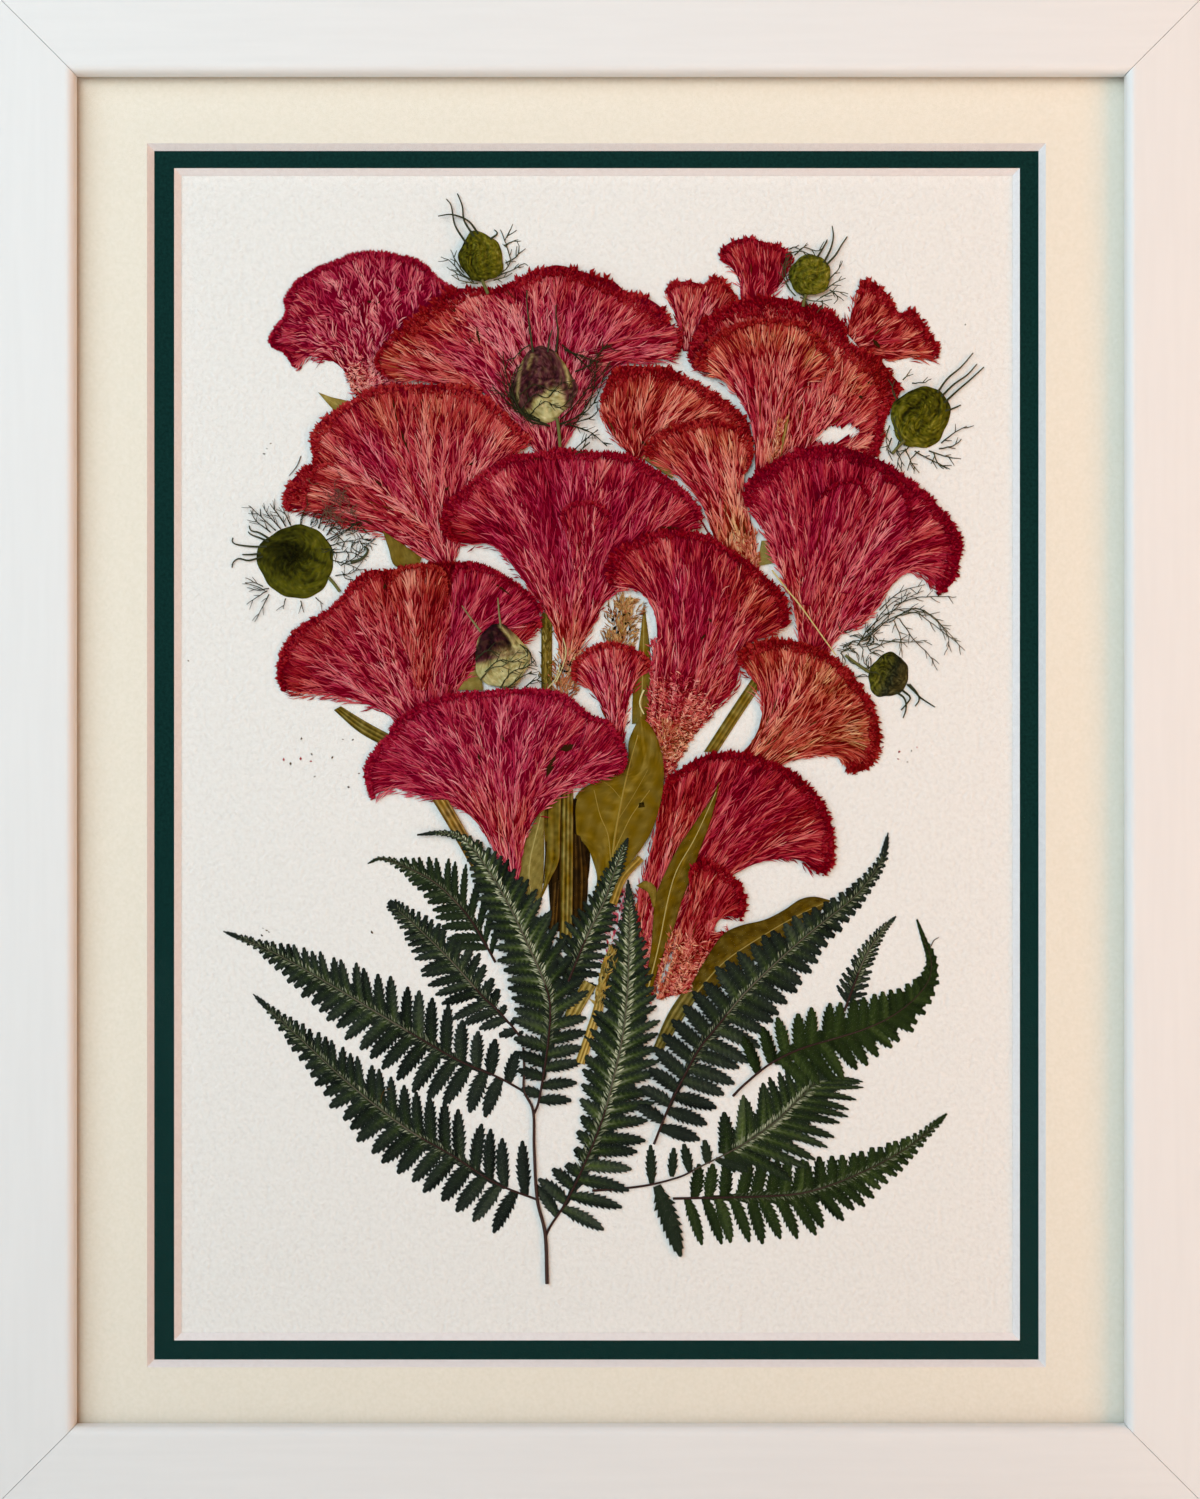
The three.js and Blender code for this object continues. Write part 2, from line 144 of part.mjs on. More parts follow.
// Fern: each pinna is a midrib with pinnules on both sides. The rachis carries
// five of them, and the others lie loose.
const FERNS = [
  { name: 'fern_pinna_01', thick: 0.22, at: [-61.307, -86.914], lift: 0, slope: [0, 0],
    outline: [[-89.39, -62.84], [-85.75, -65.78], [-85.22, -64.54], [-84.24, -67.19], [-83.63, -65.64], [-82.61, -68.72], [-81.88, -66.86], [-80.82, -70.4], [-79.97, -68.18], [-78.89, -72.22], [-77.88, -69.62], [-76.8, -74.19], [-75.66, -71.16], [-74.54, -76.28], [-73.22, -72.79], [-72.11, -78.51], [-70.59, -74.54], [-69.53, -80.88], [-67.79, -76.4], [-66.8, -83.39], [-64.81, -78.37], [-63.93, -86.03], [-62.16, -80.31], [-60.7, -88.61], [-58.63, -82.23], [-57.27, -91.28], [-54.9, -84.25], [-53.67, -94.08], [-50.97, -86.37], [-49.94, -96.98], [-48, -88.27], [-45.67, -99.53], [-43.39, -90.02], [-41.19, -102.16], [-38.54, -91.85], [-36.55, -104.96], [-33.16, -94.79], [-31.83, -107.99], [-28.11, -97.92], [-26.93, -111.09], [-24.88, -100.5], [-20.44, -113.69], [-16.92, -115.09], [-17.19, -115.76], [-20.7, -114.35], [-33.73, -121.58], [-27.2, -111.76], [-40.69, -116.74], [-32.22, -108.6], [-45.64, -113.42], [-36.94, -105.56], [-50.12, -110.69], [-41.55, -102.78], [-54.02, -107.29], [-46.03, -100.15], [-57.75, -104.06], [-50.31, -97.6], [-61.65, -99.48], [-54.11, -94.64], [-64.62, -96.15], [-57.71, -91.84], [-67.45, -92.99], [-61.14, -89.17], [-70.12, -90.02], [-64.38, -86.6], [-72.66, -86.47], [-67.29, -83.92], [-74.83, -83.64], [-70.02, -81.41], [-76.87, -80.98], [-72.6, -79.03], [-78.78, -78.49], [-75.02, -76.81], [-80.57, -76.17], [-77.29, -74.71], [-82.23, -73.97], [-79.38, -72.75], [-83.76, -71.97], [-81.32, -70.92], [-85.16, -70.13], [-83.1, -69.25], [-86.45, -68.45], [-84.73, -67.72], [-87.62, -66.93], [-86.24, -66.3]] },
  { name: 'fern_pinna_02', thick: 0.22, at: [-65.354, -63.405], lift: 0, slope: [0, 0],
    outline: [[-97.09, -46.68], [-92.76, -48], [-92.65, -46.99], [-90.9, -48.73], [-90.82, -47.46], [-88.87, -49.53], [-88.68, -47.98], [-86.74, -50.56], [-86.48, -48.72], [-84.44, -51.71], [-84.14, -49.53], [-81.96, -52.95], [-81.62, -50.41], [-79.28, -54.29], [-78.7, -51.39], [-76.53, -55.89], [-75.87, -52.57], [-73.61, -57.6], [-72.84, -53.83], [-70.51, -59.41], [-69.63, -55.17], [-67.24, -61.32], [-66.18, -56.58], [-63.81, -63.37], [-62.54, -58.12], [-60.22, -65.56], [-58.8, -59.74], [-56.45, -67.82], [-54.8, -61.42], [-52.5, -70.19], [-50.61, -63.19], [-48.38, -72.67], [-46.32, -65.02], [-44.05, -75.18], [-41.73, -66.84], [-39.52, -77.77], [-36.92, -69.45], [-34.77, -80.28], [-32.9, -71.73], [-29.55, -82.48], [-27.42, -73.95], [-23.43, -85.41], [-20.22, -87.15], [-20.56, -87.78], [-23.78, -86.04], [-36.06, -92.26], [-29.83, -83.14], [-41.52, -89.85], [-35.05, -80.94], [-47.6, -86.21], [-39.87, -78.4], [-52.31, -83.34], [-44.4, -75.81], [-56.18, -80.05], [-48.74, -73.29], [-59.85, -76.79], [-52.87, -70.81], [-63.26, -73.81], [-56.82, -68.44], [-66.51, -70.98], [-60.59, -66.17], [-69.61, -68.24], [-64.18, -63.99], [-72.49, -65.76], [-67.61, -61.94], [-75.26, -63.44], [-70.88, -60.03], [-77.9, -61.23], [-73.97, -58.22], [-80.38, -59.15], [-76.89, -56.51], [-82.71, -57.2], [-79.64, -54.91], [-84.83, -55.75], [-82.28, -53.59], [-86.96, -54.21], [-84.76, -52.35], [-88.94, -52.79], [-87.06, -51.2], [-90.73, -51.54], [-89.18, -50.18], [-92.38, -50.63], [-91.17, -49.4], [-93.98, -49.69], [-93.03, -48.67]] },
  { name: 'fern_pinna_03', thick: 0.22, at: [-41.114, -52.525], lift: 0, slope: [0, 0],
    outline: [[-54.51, -38.99], [-52.31, -40.5], [-51.98, -40], [-51.11, -41.59], [-50.71, -40.86], [-49.76, -42.81], [-49.24, -41.84], [-48.22, -44.21], [-47.56, -42.95], [-46.49, -45.79], [-45.61, -44.21], [-44.62, -47.6], [-43.52, -45.7], [-42.6, -49.62], [-41.27, -47.33], [-40.4, -51.81], [-38.81, -49.1], [-38.01, -54.21], [-35.9, -51.15], [-35.6, -56.92], [-33.12, -53.41], [-33.03, -59.82], [-30.11, -55.83], [-30.32, -62.9], [-27.37, -58.11], [-27.07, -65.97], [-23.36, -61.4], [-22.69, -70.84], [-19.8, -75.79], [-20.47, -76.06], [-23.23, -71.31], [-35.11, -70.39], [-27.6, -66.45], [-38, -67.73], [-30.81, -63.43], [-40.3, -63.29], [-33.57, -60.3], [-42.08, -59.88], [-36.14, -57.39], [-43.73, -56.74], [-38.55, -54.69], [-45.28, -54.3], [-40.91, -52.32], [-46.84, -51.76], [-43.11, -50.12], [-48.27, -49.44], [-45.12, -48.11], [-49.56, -47.43], [-46.98, -46.31], [-50.8, -45.7], [-48.71, -44.74], [-51.92, -44.1], [-50.25, -43.34], [-52.91, -42.69], [-51.6, -42.12], [-53.76, -41.48], [-52.79, -41.03]] },
  { name: 'fern_pinna_04', thick: 0.22, at: [-44.117, -35.645], lift: 0, slope: [0, 0],
    outline: [[-59.89, -29.24], [-57.77, -28.05], [-58.27, -27.1], [-55.95, -27.78], [-56.02, -26.42], [-54.04, -28.38], [-54.14, -26.57], [-51.83, -29.09], [-51.75, -26.66], [-49.41, -30.1], [-49.08, -27.15], [-46.82, -31.4], [-46.37, -27.76], [-43.88, -32.88], [-42.23, -28.66], [-41.15, -35.07], [-39.12, -30.17], [-38.23, -37.59], [-34.89, -32.31], [-35.53, -40.69], [-31.5, -34.64], [-32.72, -44.16], [-27.12, -38.77], [-30.26, -48.26], [-24.24, -43.21], [-27.66, -52.81], [-26.75, -54.46], [-27.37, -54.81], [-28.29, -53.16], [-36.44, -51.02], [-30.88, -48.62], [-38.95, -46.74], [-33.34, -44.53], [-40.98, -43.89], [-36.07, -41.16], [-43.01, -40.31], [-38.77, -38.06], [-44.91, -37.98], [-41.62, -35.61], [-47.04, -35.31], [-44.34, -33.43], [-48.97, -34.11], [-47.14, -32.04], [-51.21, -32.4], [-49.74, -30.75], [-53.11, -31.08], [-52.1, -29.75], [-54.95, -30.19], [-54.26, -29.07], [-56.65, -29.28], [-56.16, -28.46], [-57.61, -29.28], [-57.63, -28.75]] },
  { name: 'fern_pinna_05', thick: 0.22, at: [-25.11, -44.352], lift: 0.9879, slope: [-0.015647, 0.004395],
    outline: [[-47.07, -21.8], [-42.7, -21.06], [-42.99, -20.13], [-40.72, -21.04], [-40.78, -19.86], [-38.74, -21.55], [-38.83, -20.12], [-36.53, -22.13], [-36.33, -20.28], [-34.38, -23.34], [-33.32, -21.63], [-32.73, -25.35], [-31.51, -23.35], [-30.97, -27.5], [-29.56, -25.19], [-29.05, -29.84], [-27.05, -27.48], [-27.45, -32.55], [-25.18, -29.88], [-25.76, -35.42], [-23.19, -32.43], [-23.97, -38.47], [-20.89, -35.22], [-22.24, -41.76], [-18.68, -38.38], [-20.57, -45.27], [-16.59, -41.56], [-18.81, -48.94], [-14.37, -44.92], [-17.04, -52.82], [-11.97, -48.65], [-15.29, -56.9], [-9.7, -52.41], [-13.67, -61.29], [-6.65, -57.85], [-12.72, -66.1], [-4.43, -64.76], [-12.92, -71.07], [-4.74, -69.99], [-13.31, -76.26], [-4.97, -76.15], [-14.1, -81.6], [-5.78, -81.71], [-15.04, -87.48], [-15.42, -89.83], [-16.13, -89.72], [-15.75, -87.37], [-22.09, -79.39], [-14.81, -81.49], [-21.13, -73.86], [-14.02, -76.15], [-20.89, -69.09], [-13.64, -71.02], [-20.43, -63.89], [-13.43, -66.05], [-21.46, -61.15], [-14.37, -61.43], [-22.38, -58.19], [-15.95, -57.19], [-23.59, -53.95], [-17.7, -53.11], [-24.8, -50.14], [-19.46, -49.25], [-26.06, -46.38], [-21.21, -45.58], [-27.27, -42.76], [-22.89, -42.07], [-28.45, -39.57], [-24.6, -38.81], [-29.83, -36.61], [-26.38, -35.79], [-31.14, -33.64], [-28.07, -32.92], [-32.37, -30.84], [-29.67, -30.2], [-33.77, -28.87], [-31.52, -27.96], [-35.23, -26.6], [-33.29, -25.81], [-36.59, -24.49], [-34.93, -23.8], [-37.74, -23.81], [-36.82, -22.79], [-39.55, -23.34], [-38.92, -22.25], [-41.4, -22.63], [-40.9, -21.73], [-42.8, -22.55], [-42.67, -21.78]] },
  { name: 'fern_pinna_06', thick: 0.22, at: [-0.093, -40.154], lift: 0.8183, slope: [-0.00842, 0.03664],
    outline: [[7.05, -22.57], [6.49, -24.91], [7.18, -24.99], [5.91, -26.33], [6.89, -26.38], [5.27, -27.92], [6.56, -27.98], [4.54, -29.71], [6.18, -29.75], [3.78, -31.72], [5.84, -31.68], [3.03, -33.99], [5.55, -33.95], [2.2, -36.47], [5.22, -36.45], [1.21, -39.17], [4.74, -39.7], [-0.16, -41.92], [3.96, -42.59], [-1.63, -44.85], [3.11, -45.6], [-3.11, -48.03], [2.37, -48.82], [-4.6, -51.46], [1.61, -52.49], [-6.14, -55.11], [0.09, -56.27], [-7.71, -59.04], [-1.5, -60.48], [-9.44, -63.3], [-10.06, -64.78], [-10.72, -64.5], [-10.11, -63.03], [-13.87, -55.53], [-8.38, -58.78], [-12.11, -51.39], [-6.8, -54.84], [-10.25, -47.35], [-5.25, -51.18], [-8.09, -44.28], [-3.77, -47.74], [-5.92, -41.32], [-2.28, -44.55], [-3.82, -38.7], [-0.81, -41.6], [-1.98, -36.34], [0.56, -38.85], [-0.89, -34.42], [1.52, -36.24], [0.35, -32.22], [2.35, -33.76], [1.48, -30.23], [3.1, -31.49], [2.6, -28.37], [3.87, -29.45], [3.64, -26.79], [4.6, -27.65], [4.52, -25.42], [5.25, -26.06], [5.28, -24.22], [5.83, -24.64]] },
  { name: 'fern_pinna_07', thick: 0.22, at: [3.769, -72.016], lift: 0.7419, slope: [0.020777, 0.007704],
    outline: [[7.05, -33.34], [7.65, -38.15], [8.77, -37.75], [7.67, -40.11], [9.02, -39.59], [7.67, -42.21], [9.28, -41.59], [7.67, -44.5], [9.56, -43.76], [7.67, -46.97], [9.88, -46.12], [7.64, -49.63], [10.21, -48.72], [7.54, -52.46], [10.48, -51.42], [7.43, -55.47], [10.77, -54.3], [7.32, -58.66], [11.09, -57.36], [7.2, -62.05], [11.54, -60.8], [6.9, -65.6], [11.71, -64.42], [6.47, -69.32], [11.81, -68.04], [6.01, -73.24], [12.07, -72.32], [5.24, -77.27], [11.84, -76.53], [4.31, -81.45], [11.54, -80.72], [3.34, -85.82], [11.25, -85.45], [2.15, -90.31], [10.74, -90.02], [0.79, -94.97], [10.08, -95.57], [-0.91, -99.71], [8.74, -101.11], [-2.93, -104.49], [6.67, -106.16], [-5.07, -109.43], [4.37, -111.96], [-7.57, -114.44], [1.8, -117.55], [-10.87, -120.07], [-12.65, -122.8], [-13.25, -122.41], [-11.47, -119.68], [-13.85, -110.4], [-8.2, -114.1], [-11.39, -105.41], [-5.71, -109.11], [-9.33, -100.67], [-3.59, -104.2], [-7.15, -95.73], [-1.57, -99.42], [-5.36, -91.4], [0.12, -94.73], [-3.8, -87.45], [1.46, -90.13], [-2.15, -83.13], [2.65, -85.64], [-0.85, -79.15], [3.61, -81.3], [0.49, -75.13], [4.54, -77.11], [1.66, -71.41], [5.3, -73.1], [2.3, -67.93], [5.75, -69.23], [3.08, -64.34], [6.18, -65.52], [3.73, -61.05], [6.49, -61.99], [4.08, -57.91], [6.6, -58.64], [4.49, -54.81], [6.72, -55.44], [4.87, -51.89], [6.82, -52.43], [5.22, -49.15], [6.92, -49.6], [5.49, -46.64], [6.95, -46.97], [5.7, -44.25], [6.95, -44.5], [5.91, -42.03], [6.95, -42.21], [6.09, -39.98], [6.95, -40.11], [6.25, -38.12], [6.93, -38.16]] },
  { name: 'fern_pinna_08', thick: 0.22, at: [48.271, -54.117], lift: 0.4187, slope: [-0.036559, 0.021771],
    outline: [[74, -21.29], [73.39, -26.62], [74.68, -26.74], [72.53, -28.62], [74.04, -28.85], [71.38, -30.68], [73.11, -31.21], [69.89, -32.7], [71.93, -33.31], [68.27, -34.9], [70.65, -35.76], [66.33, -37.11], [68.88, -38.38], [64.05, -39.25], [66.95, -40.83], [61.53, -41.41], [64.68, -43.34], [58.78, -43.58], [62.32, -45.76], [55.87, -45.88], [59.83, -48.33], [52.84, -48.31], [57.4, -50.78], [49.78, -51.05], [54.81, -53.82], [46.58, -53.92], [52.1, -57.03], [43.24, -56.92], [49.45, -60.05], [39.92, -60.24], [46.66, -63.73], [36.48, -63.69], [44.14, -66.83], [33.25, -67.64], [41.53, -71.16], [29.9, -71.74], [38.85, -75.56], [26.49, -75.98], [36.13, -78.54], [23.56, -80.84], [33.37, -83.63], [20.75, -86.01], [30.65, -88.6], [18.1, -91.52], [28.07, -93.69], [15.39, -98.13], [14.06, -101.45], [13.39, -101.18], [14.72, -97.86], [9.34, -86.6], [17.44, -91.26], [12.57, -80.37], [20.11, -85.7], [15.87, -74.6], [22.93, -80.5], [18.95, -69.29], [25.87, -75.63], [24.06, -64.29], [29.34, -71.29], [27.98, -60.61], [32.7, -67.19], [31.66, -57.14], [35.93, -63.24], [36.13, -53.75], [39.41, -59.73], [39.79, -50.91], [42.73, -56.41], [43.74, -48.23], [46.1, -53.39], [47.2, -45.82], [49.3, -50.51], [50.48, -43.53], [52.36, -47.77], [54, -41.41], [55.42, -45.31], [57.07, -39.53], [58.33, -43.02], [59.97, -37.75], [61.08, -40.84], [62.48, -36.07], [63.58, -38.71], [64.76, -34.3], [65.83, -36.58], [66.59, -32.63], [67.72, -34.44], [68.21, -30.76], [69.31, -32.28], [69.86, -28.99], [70.81, -30.26], [70.96, -27.38], [71.9, -28.29], [71.9, -25.75], [72.72, -26.35]] },
  { name: 'fern_pinna_09', thick: 0.22, at: [69.546, -52.461], lift: 0, slope: [0, 0],
    outline: [[76.05, -42.84], [75.3, -44.15], [75.65, -44.36], [74.46, -45.04], [75.07, -45.32], [73.5, -46.06], [74.38, -46.47], [72.41, -47.22], [73.62, -47.59], [71.36, -48.7], [73.06, -49.1], [70.28, -50.5], [72.43, -51.03], [69.09, -52.49], [71.74, -53.13], [67.9, -54.68], [71.22, -55.07], [66.87, -57.27], [70.82, -57.83], [65.75, -60.06], [70.08, -60.76], [64.6, -63.14], [68.93, -64.1], [63.39, -66.4], [63.05, -67.33], [62.38, -67.08], [62.72, -66.16], [60.4, -61.14], [63.93, -62.89], [61.7, -57.87], [65.08, -59.81], [63.27, -55.04], [66.2, -57], [64.83, -52.73], [67.24, -54.42], [66.72, -50.44], [68.47, -52.13], [68.32, -48.74], [69.67, -50.13], [69.7, -47.25], [70.74, -48.33], [71.07, -45.85], [71.83, -46.79], [72.55, -44.87], [72.98, -45.57], [73.65, -44.08], [73.94, -44.55], [74.57, -43.42], [74.78, -43.66]] },
  { name: 'fern_pinna_10', thick: 0.22, at: [71.129, -65.209], lift: 0.1798, slope: [-0.011874, 0.002982],
    outline: [[81.44, -43.6], [83.08, -47.21], [83.92, -46.6], [83.72, -49.03], [84.75, -48.21], [84.42, -51.02], [85.69, -50], [85.21, -53.35], [87.19, -52.63], [85.18, -55.93], [87.49, -55.36], [84.84, -58.89], [87.66, -59.68], [83.16, -61.4], [86.28, -62.38], [81.13, -64.09], [84.35, -66.25], [78.41, -66.27], [81.98, -68.71], [75.36, -68.55], [78.9, -72.14], [71.84, -70.37], [75.59, -74.46], [67.98, -72.15], [71.53, -77.26], [63.76, -73.51], [67.62, -79.27], [59.29, -74.89], [63.39, -81.4], [54.6, -76.3], [59, -83.56], [49.85, -78.01], [55.37, -84.76], [45.06, -80.4], [51.38, -86.14], [38.88, -84.93], [34.24, -89.26], [33.73, -88.75], [38.43, -84.37], [40.73, -71.72], [44.64, -79.82], [47.44, -68.91], [49.53, -77.37], [54.07, -67.12], [54.4, -75.61], [58.92, -66.51], [59.09, -74.2], [63.41, -65.9], [63.54, -72.82], [67.69, -65.25], [67.76, -71.47], [70.86, -64.22], [71.54, -69.72], [74.41, -63.15], [75.04, -67.91], [76.63, -61.59], [77.97, -65.7], [79.61, -60], [80.7, -63.51], [80.78, -58.25], [82.59, -60.96], [82.75, -56.24], [84.25, -58.48], [82.32, -54.84], [84.47, -55.86], [82.73, -52.7], [84.49, -53.36], [82.1, -51.26], [83.74, -51.26], [81.72, -49.27], [83.04, -49.27], [81.37, -47.5], [82.4, -47.45]] },
  { name: 'fern_pinna_11', thick: 0.22, at: [39.587, -97.628], lift: 0.173, slope: [0.013946, -0.028367],
    outline: [[58.87, -82.08], [56.53, -84.93], [57.81, -85.46], [55.16, -86.29], [56.81, -86.94], [53.63, -87.81], [55.65, -88.67], [51.87, -89.51], [54.33, -90.56], [49.92, -91.4], [52.87, -92.69], [47.75, -93.5], [51.23, -95.12], [45.26, -95.7], [49.1, -98.02], [42.41, -97.86], [46.86, -100.6], [39.26, -100.16], [43.97, -103.92], [35.71, -102.29], [41.02, -106.68], [31.83, -104.47], [37.39, -109.96], [27.61, -106.57], [33.77, -112.87], [23.14, -108.81], [29.76, -116.19], [18.13, -110.76], [23.56, -119.99], [8.75, -112.72], [-2.15, -113.73], [-2.21, -113.01], [8.58, -112.02], [17.5, -102.38], [17.94, -110.06], [21.31, -101.31], [22.83, -108.16], [25.88, -99.81], [27.29, -105.93], [30.33, -98.4], [31.5, -103.82], [34.02, -97], [35.34, -101.68], [37.76, -95.47], [38.89, -99.54], [40.64, -93.89], [41.97, -97.29], [43.69, -92.22], [44.82, -95.13], [46.08, -90.65], [47.26, -92.97], [48.38, -88.96], [49.42, -90.89], [50.52, -87.41], [51.37, -88.99], [52.43, -86.03], [53.13, -87.3], [54.09, -84.79], [54.66, -85.78], [55.54, -83.68], [56.02, -84.42]] },
  { name: 'fern_pinna_12', thick: 0.22, at: [61.657, -108.136], lift: 0, slope: [0, 0],
    outline: [[89.13, -93.62], [86.42, -96.54], [87.63, -97.19], [84.86, -97.95], [86.44, -98.72], [83.15, -99.49], [85.1, -100.45], [81.16, -101.16], [83.31, -102.68], [78.8, -102.67], [81.37, -104.49], [76.22, -104.33], [79.24, -106.54], [73.35, -106.02], [76.58, -108.92], [70.16, -107.61], [73.87, -110.99], [66.72, -109.33], [70.6, -113.58], [62.94, -110.85], [67.3, -115.72], [58.89, -112.46], [63.03, -118.55], [54.47, -113.63], [59.01, -120.53], [49.7, -114.61], [53.1, -123.16], [44.63, -114.99], [48.24, -124.54], [39.29, -115.31], [42.29, -125.59], [33.71, -115.45], [36.32, -125.87], [27.83, -115.59], [30.06, -126.14], [21.28, -115.73], [18.6, -115.78], [18.59, -115.07], [21.26, -115.01], [28.69, -106.63], [27.81, -114.87], [34.83, -106.59], [33.69, -114.73], [40.73, -106.53], [39.28, -114.59], [45.8, -106.58], [44.58, -114.28], [50.85, -107], [49.64, -113.9], [54.29, -106.67], [54.29, -112.94], [58.77, -106.19], [58.7, -111.76], [62.2, -105.28], [62.68, -110.18], [66.06, -104.37], [66.45, -108.67], [69.21, -103.28], [69.84, -106.97], [72.49, -102.2], [73.02, -105.38], [75.13, -101.08], [75.84, -103.72], [77.77, -99.85], [78.41, -102.07], [80.23, -98.72], [80.77, -100.55], [81.99, -97.56], [82.68, -98.95], [83.82, -96.32], [84.38, -97.41], [85.45, -95.2], [85.94, -96.01]] },
];
const RACHIS = [
  { name: 'fern_rachis', thick: 0.5, at: [-16.837, -105.348], lift: 0.1532, slope: [-0.085881, -0.010243],
    outline: [[-20.14, -77.46], [-19.11, -77.46], [-18.85, -87.72], [-16.54, -92.85], [-16.29, -102.6], [-15.52, -115.42], [-13.47, -124.15], [-12.95, -137.23], [-14.49, -137.23], [-15.01, -124.15], [-17.06, -115.42], [-17.83, -102.6], [-18.08, -92.85], [-20.39, -87.72]] },
];

// ---- helpers ----------------------------------------------------------------------
const frame = new THREE.Group();
const inner = new THREE.Group();      // everything measured from the middle of the opening
inner.position.z = -HANG_Z;
frame.add(inner);

function material(color, roughness, metalness = 0, extra = {}) {
  return new THREE.MeshStandardMaterial({ color, roughness, metalness, ...extra });
}

function solid(positions, triangles) {
  const geometry = new THREE.BufferGeometry();
  geometry.setAttribute('position', new THREE.Float32BufferAttribute(positions.flat(), 3));
  geometry.setIndex(triangles.flat());
  geometry.computeVertexNormals();
  return geometry;
}

function add(name, geometry, mat, parent = inner) {
  const mesh = new THREE.Mesh(geometry, mat);
  mesh.name = name;
  parent.add(mesh);
  return mesh;
}

// A rail along X above the opening: the section is (u, y), u outward from the
// sight edge, and each end is cut at 45 degrees through the opening's corner.
function railGeometry(halfAlong, halfAcross) {
  const section = [];
  const arc = (cx, cy, r, a0, a1, n) => {
    for (let i = 0; i <= n; i++) {
      const a = a0 + ((a1 - a0) * i) / n;
      section.push([cx + r * Math.cos(a), cy + r * Math.sin(a)]);
    }
  };
  section.push([0, Y_FRONT + LIP_T]);
  arc(INNER_R, Y_FRONT + INNER_R, INNER_R, Math.PI, 1.5 * Math.PI, 6);
  arc(RAIL_W - OUTER_R, Y_FRONT + OUTER_R, OUTER_R, 1.5 * Math.PI, 2 * Math.PI, 4);
  section.push([RAIL_W, 0], [RABBET, 0], [RABBET, Y_FRONT + LIP_T]);
  const n = section.length;
  const points = [];
  for (const end of [-1, 1]) {
    for (const [u, y] of section) points.push([end * (halfAlong + u - MITRE_GAP), y, halfAcross + u]);
  }
  const faces = [];
  for (let i = 0; i < n; i++) {
    const j = (i + 1) % n;
    faces.push([i, j, n + j], [i, n + j, n + i]);
  }
  const cap = THREE.ShapeUtils.triangulateShape(section.map(([u, y]) => new THREE.Vector2(u, y)), []);
  for (const [a, b, c] of cap) faces.push([a, c, b], [n + a, n + b, n + c]);
  return outward(points, faces);
}

// Turns every face over when the body came out inside out.
function outward(points, faces) {
  let six = 0;
  const a = new THREE.Vector3(), b = new THREE.Vector3(), c = new THREE.Vector3();
  for (const [i, j, k] of faces) {
    a.fromArray(points[i]); b.fromArray(points[j]); c.fromArray(points[k]);
    six += a.dot(b.clone().cross(c));
  }
  return solid(points, six < 0 ? faces.map(([i, j, k]) => [i, k, j]) : faces);
}

function sheet(width, height, y, thick) {
  const geometry = new THREE.BoxGeometry(width, thick, height);
  geometry.translate(0, y + thick / 2, 0);
  return geometry;
}

// A mat board with a window whose edges slope in towards the back.
function matGeometry(win, y) {
  const x = SHEET_W / 2, z = SHEET_H / 2, b = MAT_BEVEL, back = y + MAT_T;
  const ring = (x0, x1, z0, z1, d) => [[x0, d, z0], [x1, d, z0], [x1, d, z1], [x0, d, z1]];
  const points = [
    ...ring(-x, x, -z, z, y), ...ring(win.x0, win.x1, win.z0, win.z1, y),
    ...ring(-x, x, -z, z, back), ...ring(win.x0 + b, win.x1 - b, win.z0 + b, win.z1 - b, back),
  ];
  const faces = [];
  for (let i = 0; i < 4; i++) {
    const j = (i + 1) % 4;
    faces.push([i, j, 4 + j], [i, 4 + j, 4 + i]);                         // front
    faces.push([8 + i, 12 + j, 8 + j], [8 + i, 12 + i, 12 + j]);          // back
    faces.push([i, 8 + j, j], [i, 8 + i, 8 + j]);                         // outer edge
    faces.push([4 + i, 4 + j, 12 + j], [4 + i, 12 + j, 12 + i]);          // bevel
  }
  return outward(points, faces);
}

// A pressed plate with the given outline, lying on its own tilted plane.
function plateGeometry({ outline, thick, at, lift, slope }) {
  const n = outline.length;
  const rise = ([x, z]) => lift + slope[0] * (x - at[0]) + slope[1] * (z - at[1]);
  const points = [];
  for (const p of outline) points.push([p[0], Y_BED - rise(p), p[1]]);
  for (const p of outline) points.push([p[0], Y_BED - rise(p) - thick, p[1]]);
  const faces = [];
  const cap = THREE.ShapeUtils.triangulateShape(outline.map(([x, z]) => new THREE.Vector2(x, z)), []);
  for (const [a, b, c] of cap) faces.push([a, b, c], [n + a, n + c, n + b]);
  const ccw = THREE.ShapeUtils.area(outline.map(([x, z]) => new THREE.Vector2(x, z))) > 0;
  for (let i = 0; i < n; i++) {
    const j = (i + 1) % n;
    if (ccw) faces.push([i, n + j, j], [i, n + i, n + j]);
    else faces.push([i, j, n + j], [i, n + j, n + i]);
  }
  return outward(points, faces);
}

// ---- rails -----------------------------------------------------------------------------
const paint = material(WHITE, 0.45);
const w = SIGHT_W / 2, h = SIGHT_H / 2;
add('rail_top', railGeometry(w, h), paint);
add('rail_bottom', railGeometry(w, h), paint).rotation.y = Math.PI;
add('rail_right', railGeometry(h, w), paint).rotation.y = Math.PI / 2;
add('rail_left', railGeometry(h, w), paint).rotation.y = -Math.PI / 2;

// ---- sheets ------------------------------------------------------------------------------
add('glass', sheet(SHEET_W, SHEET_H, Y_GLASS, GLASS_T), material(0xffffff, 0.05, 0, { transparent: true, opacity: 0.1 }));
add('mat_cream', matGeometry(MAT_TOP_WINDOW, Y_MAT_TOP), material(CREAM, 0.9));
add('mat_green', matGeometry(MAT_UNDER_WINDOW, Y_MAT_UNDER), material(GREEN, 0.9));
add('mount_paper', sheet(SHEET_W, SHEET_H, Y_PAPER, PAPER_T), material(PAPER, 0.95));
add('backing_board', sheet(SHEET_W, SHEET_H, Y_BOARD, BOARD_T), material(BOARD, 0.9));

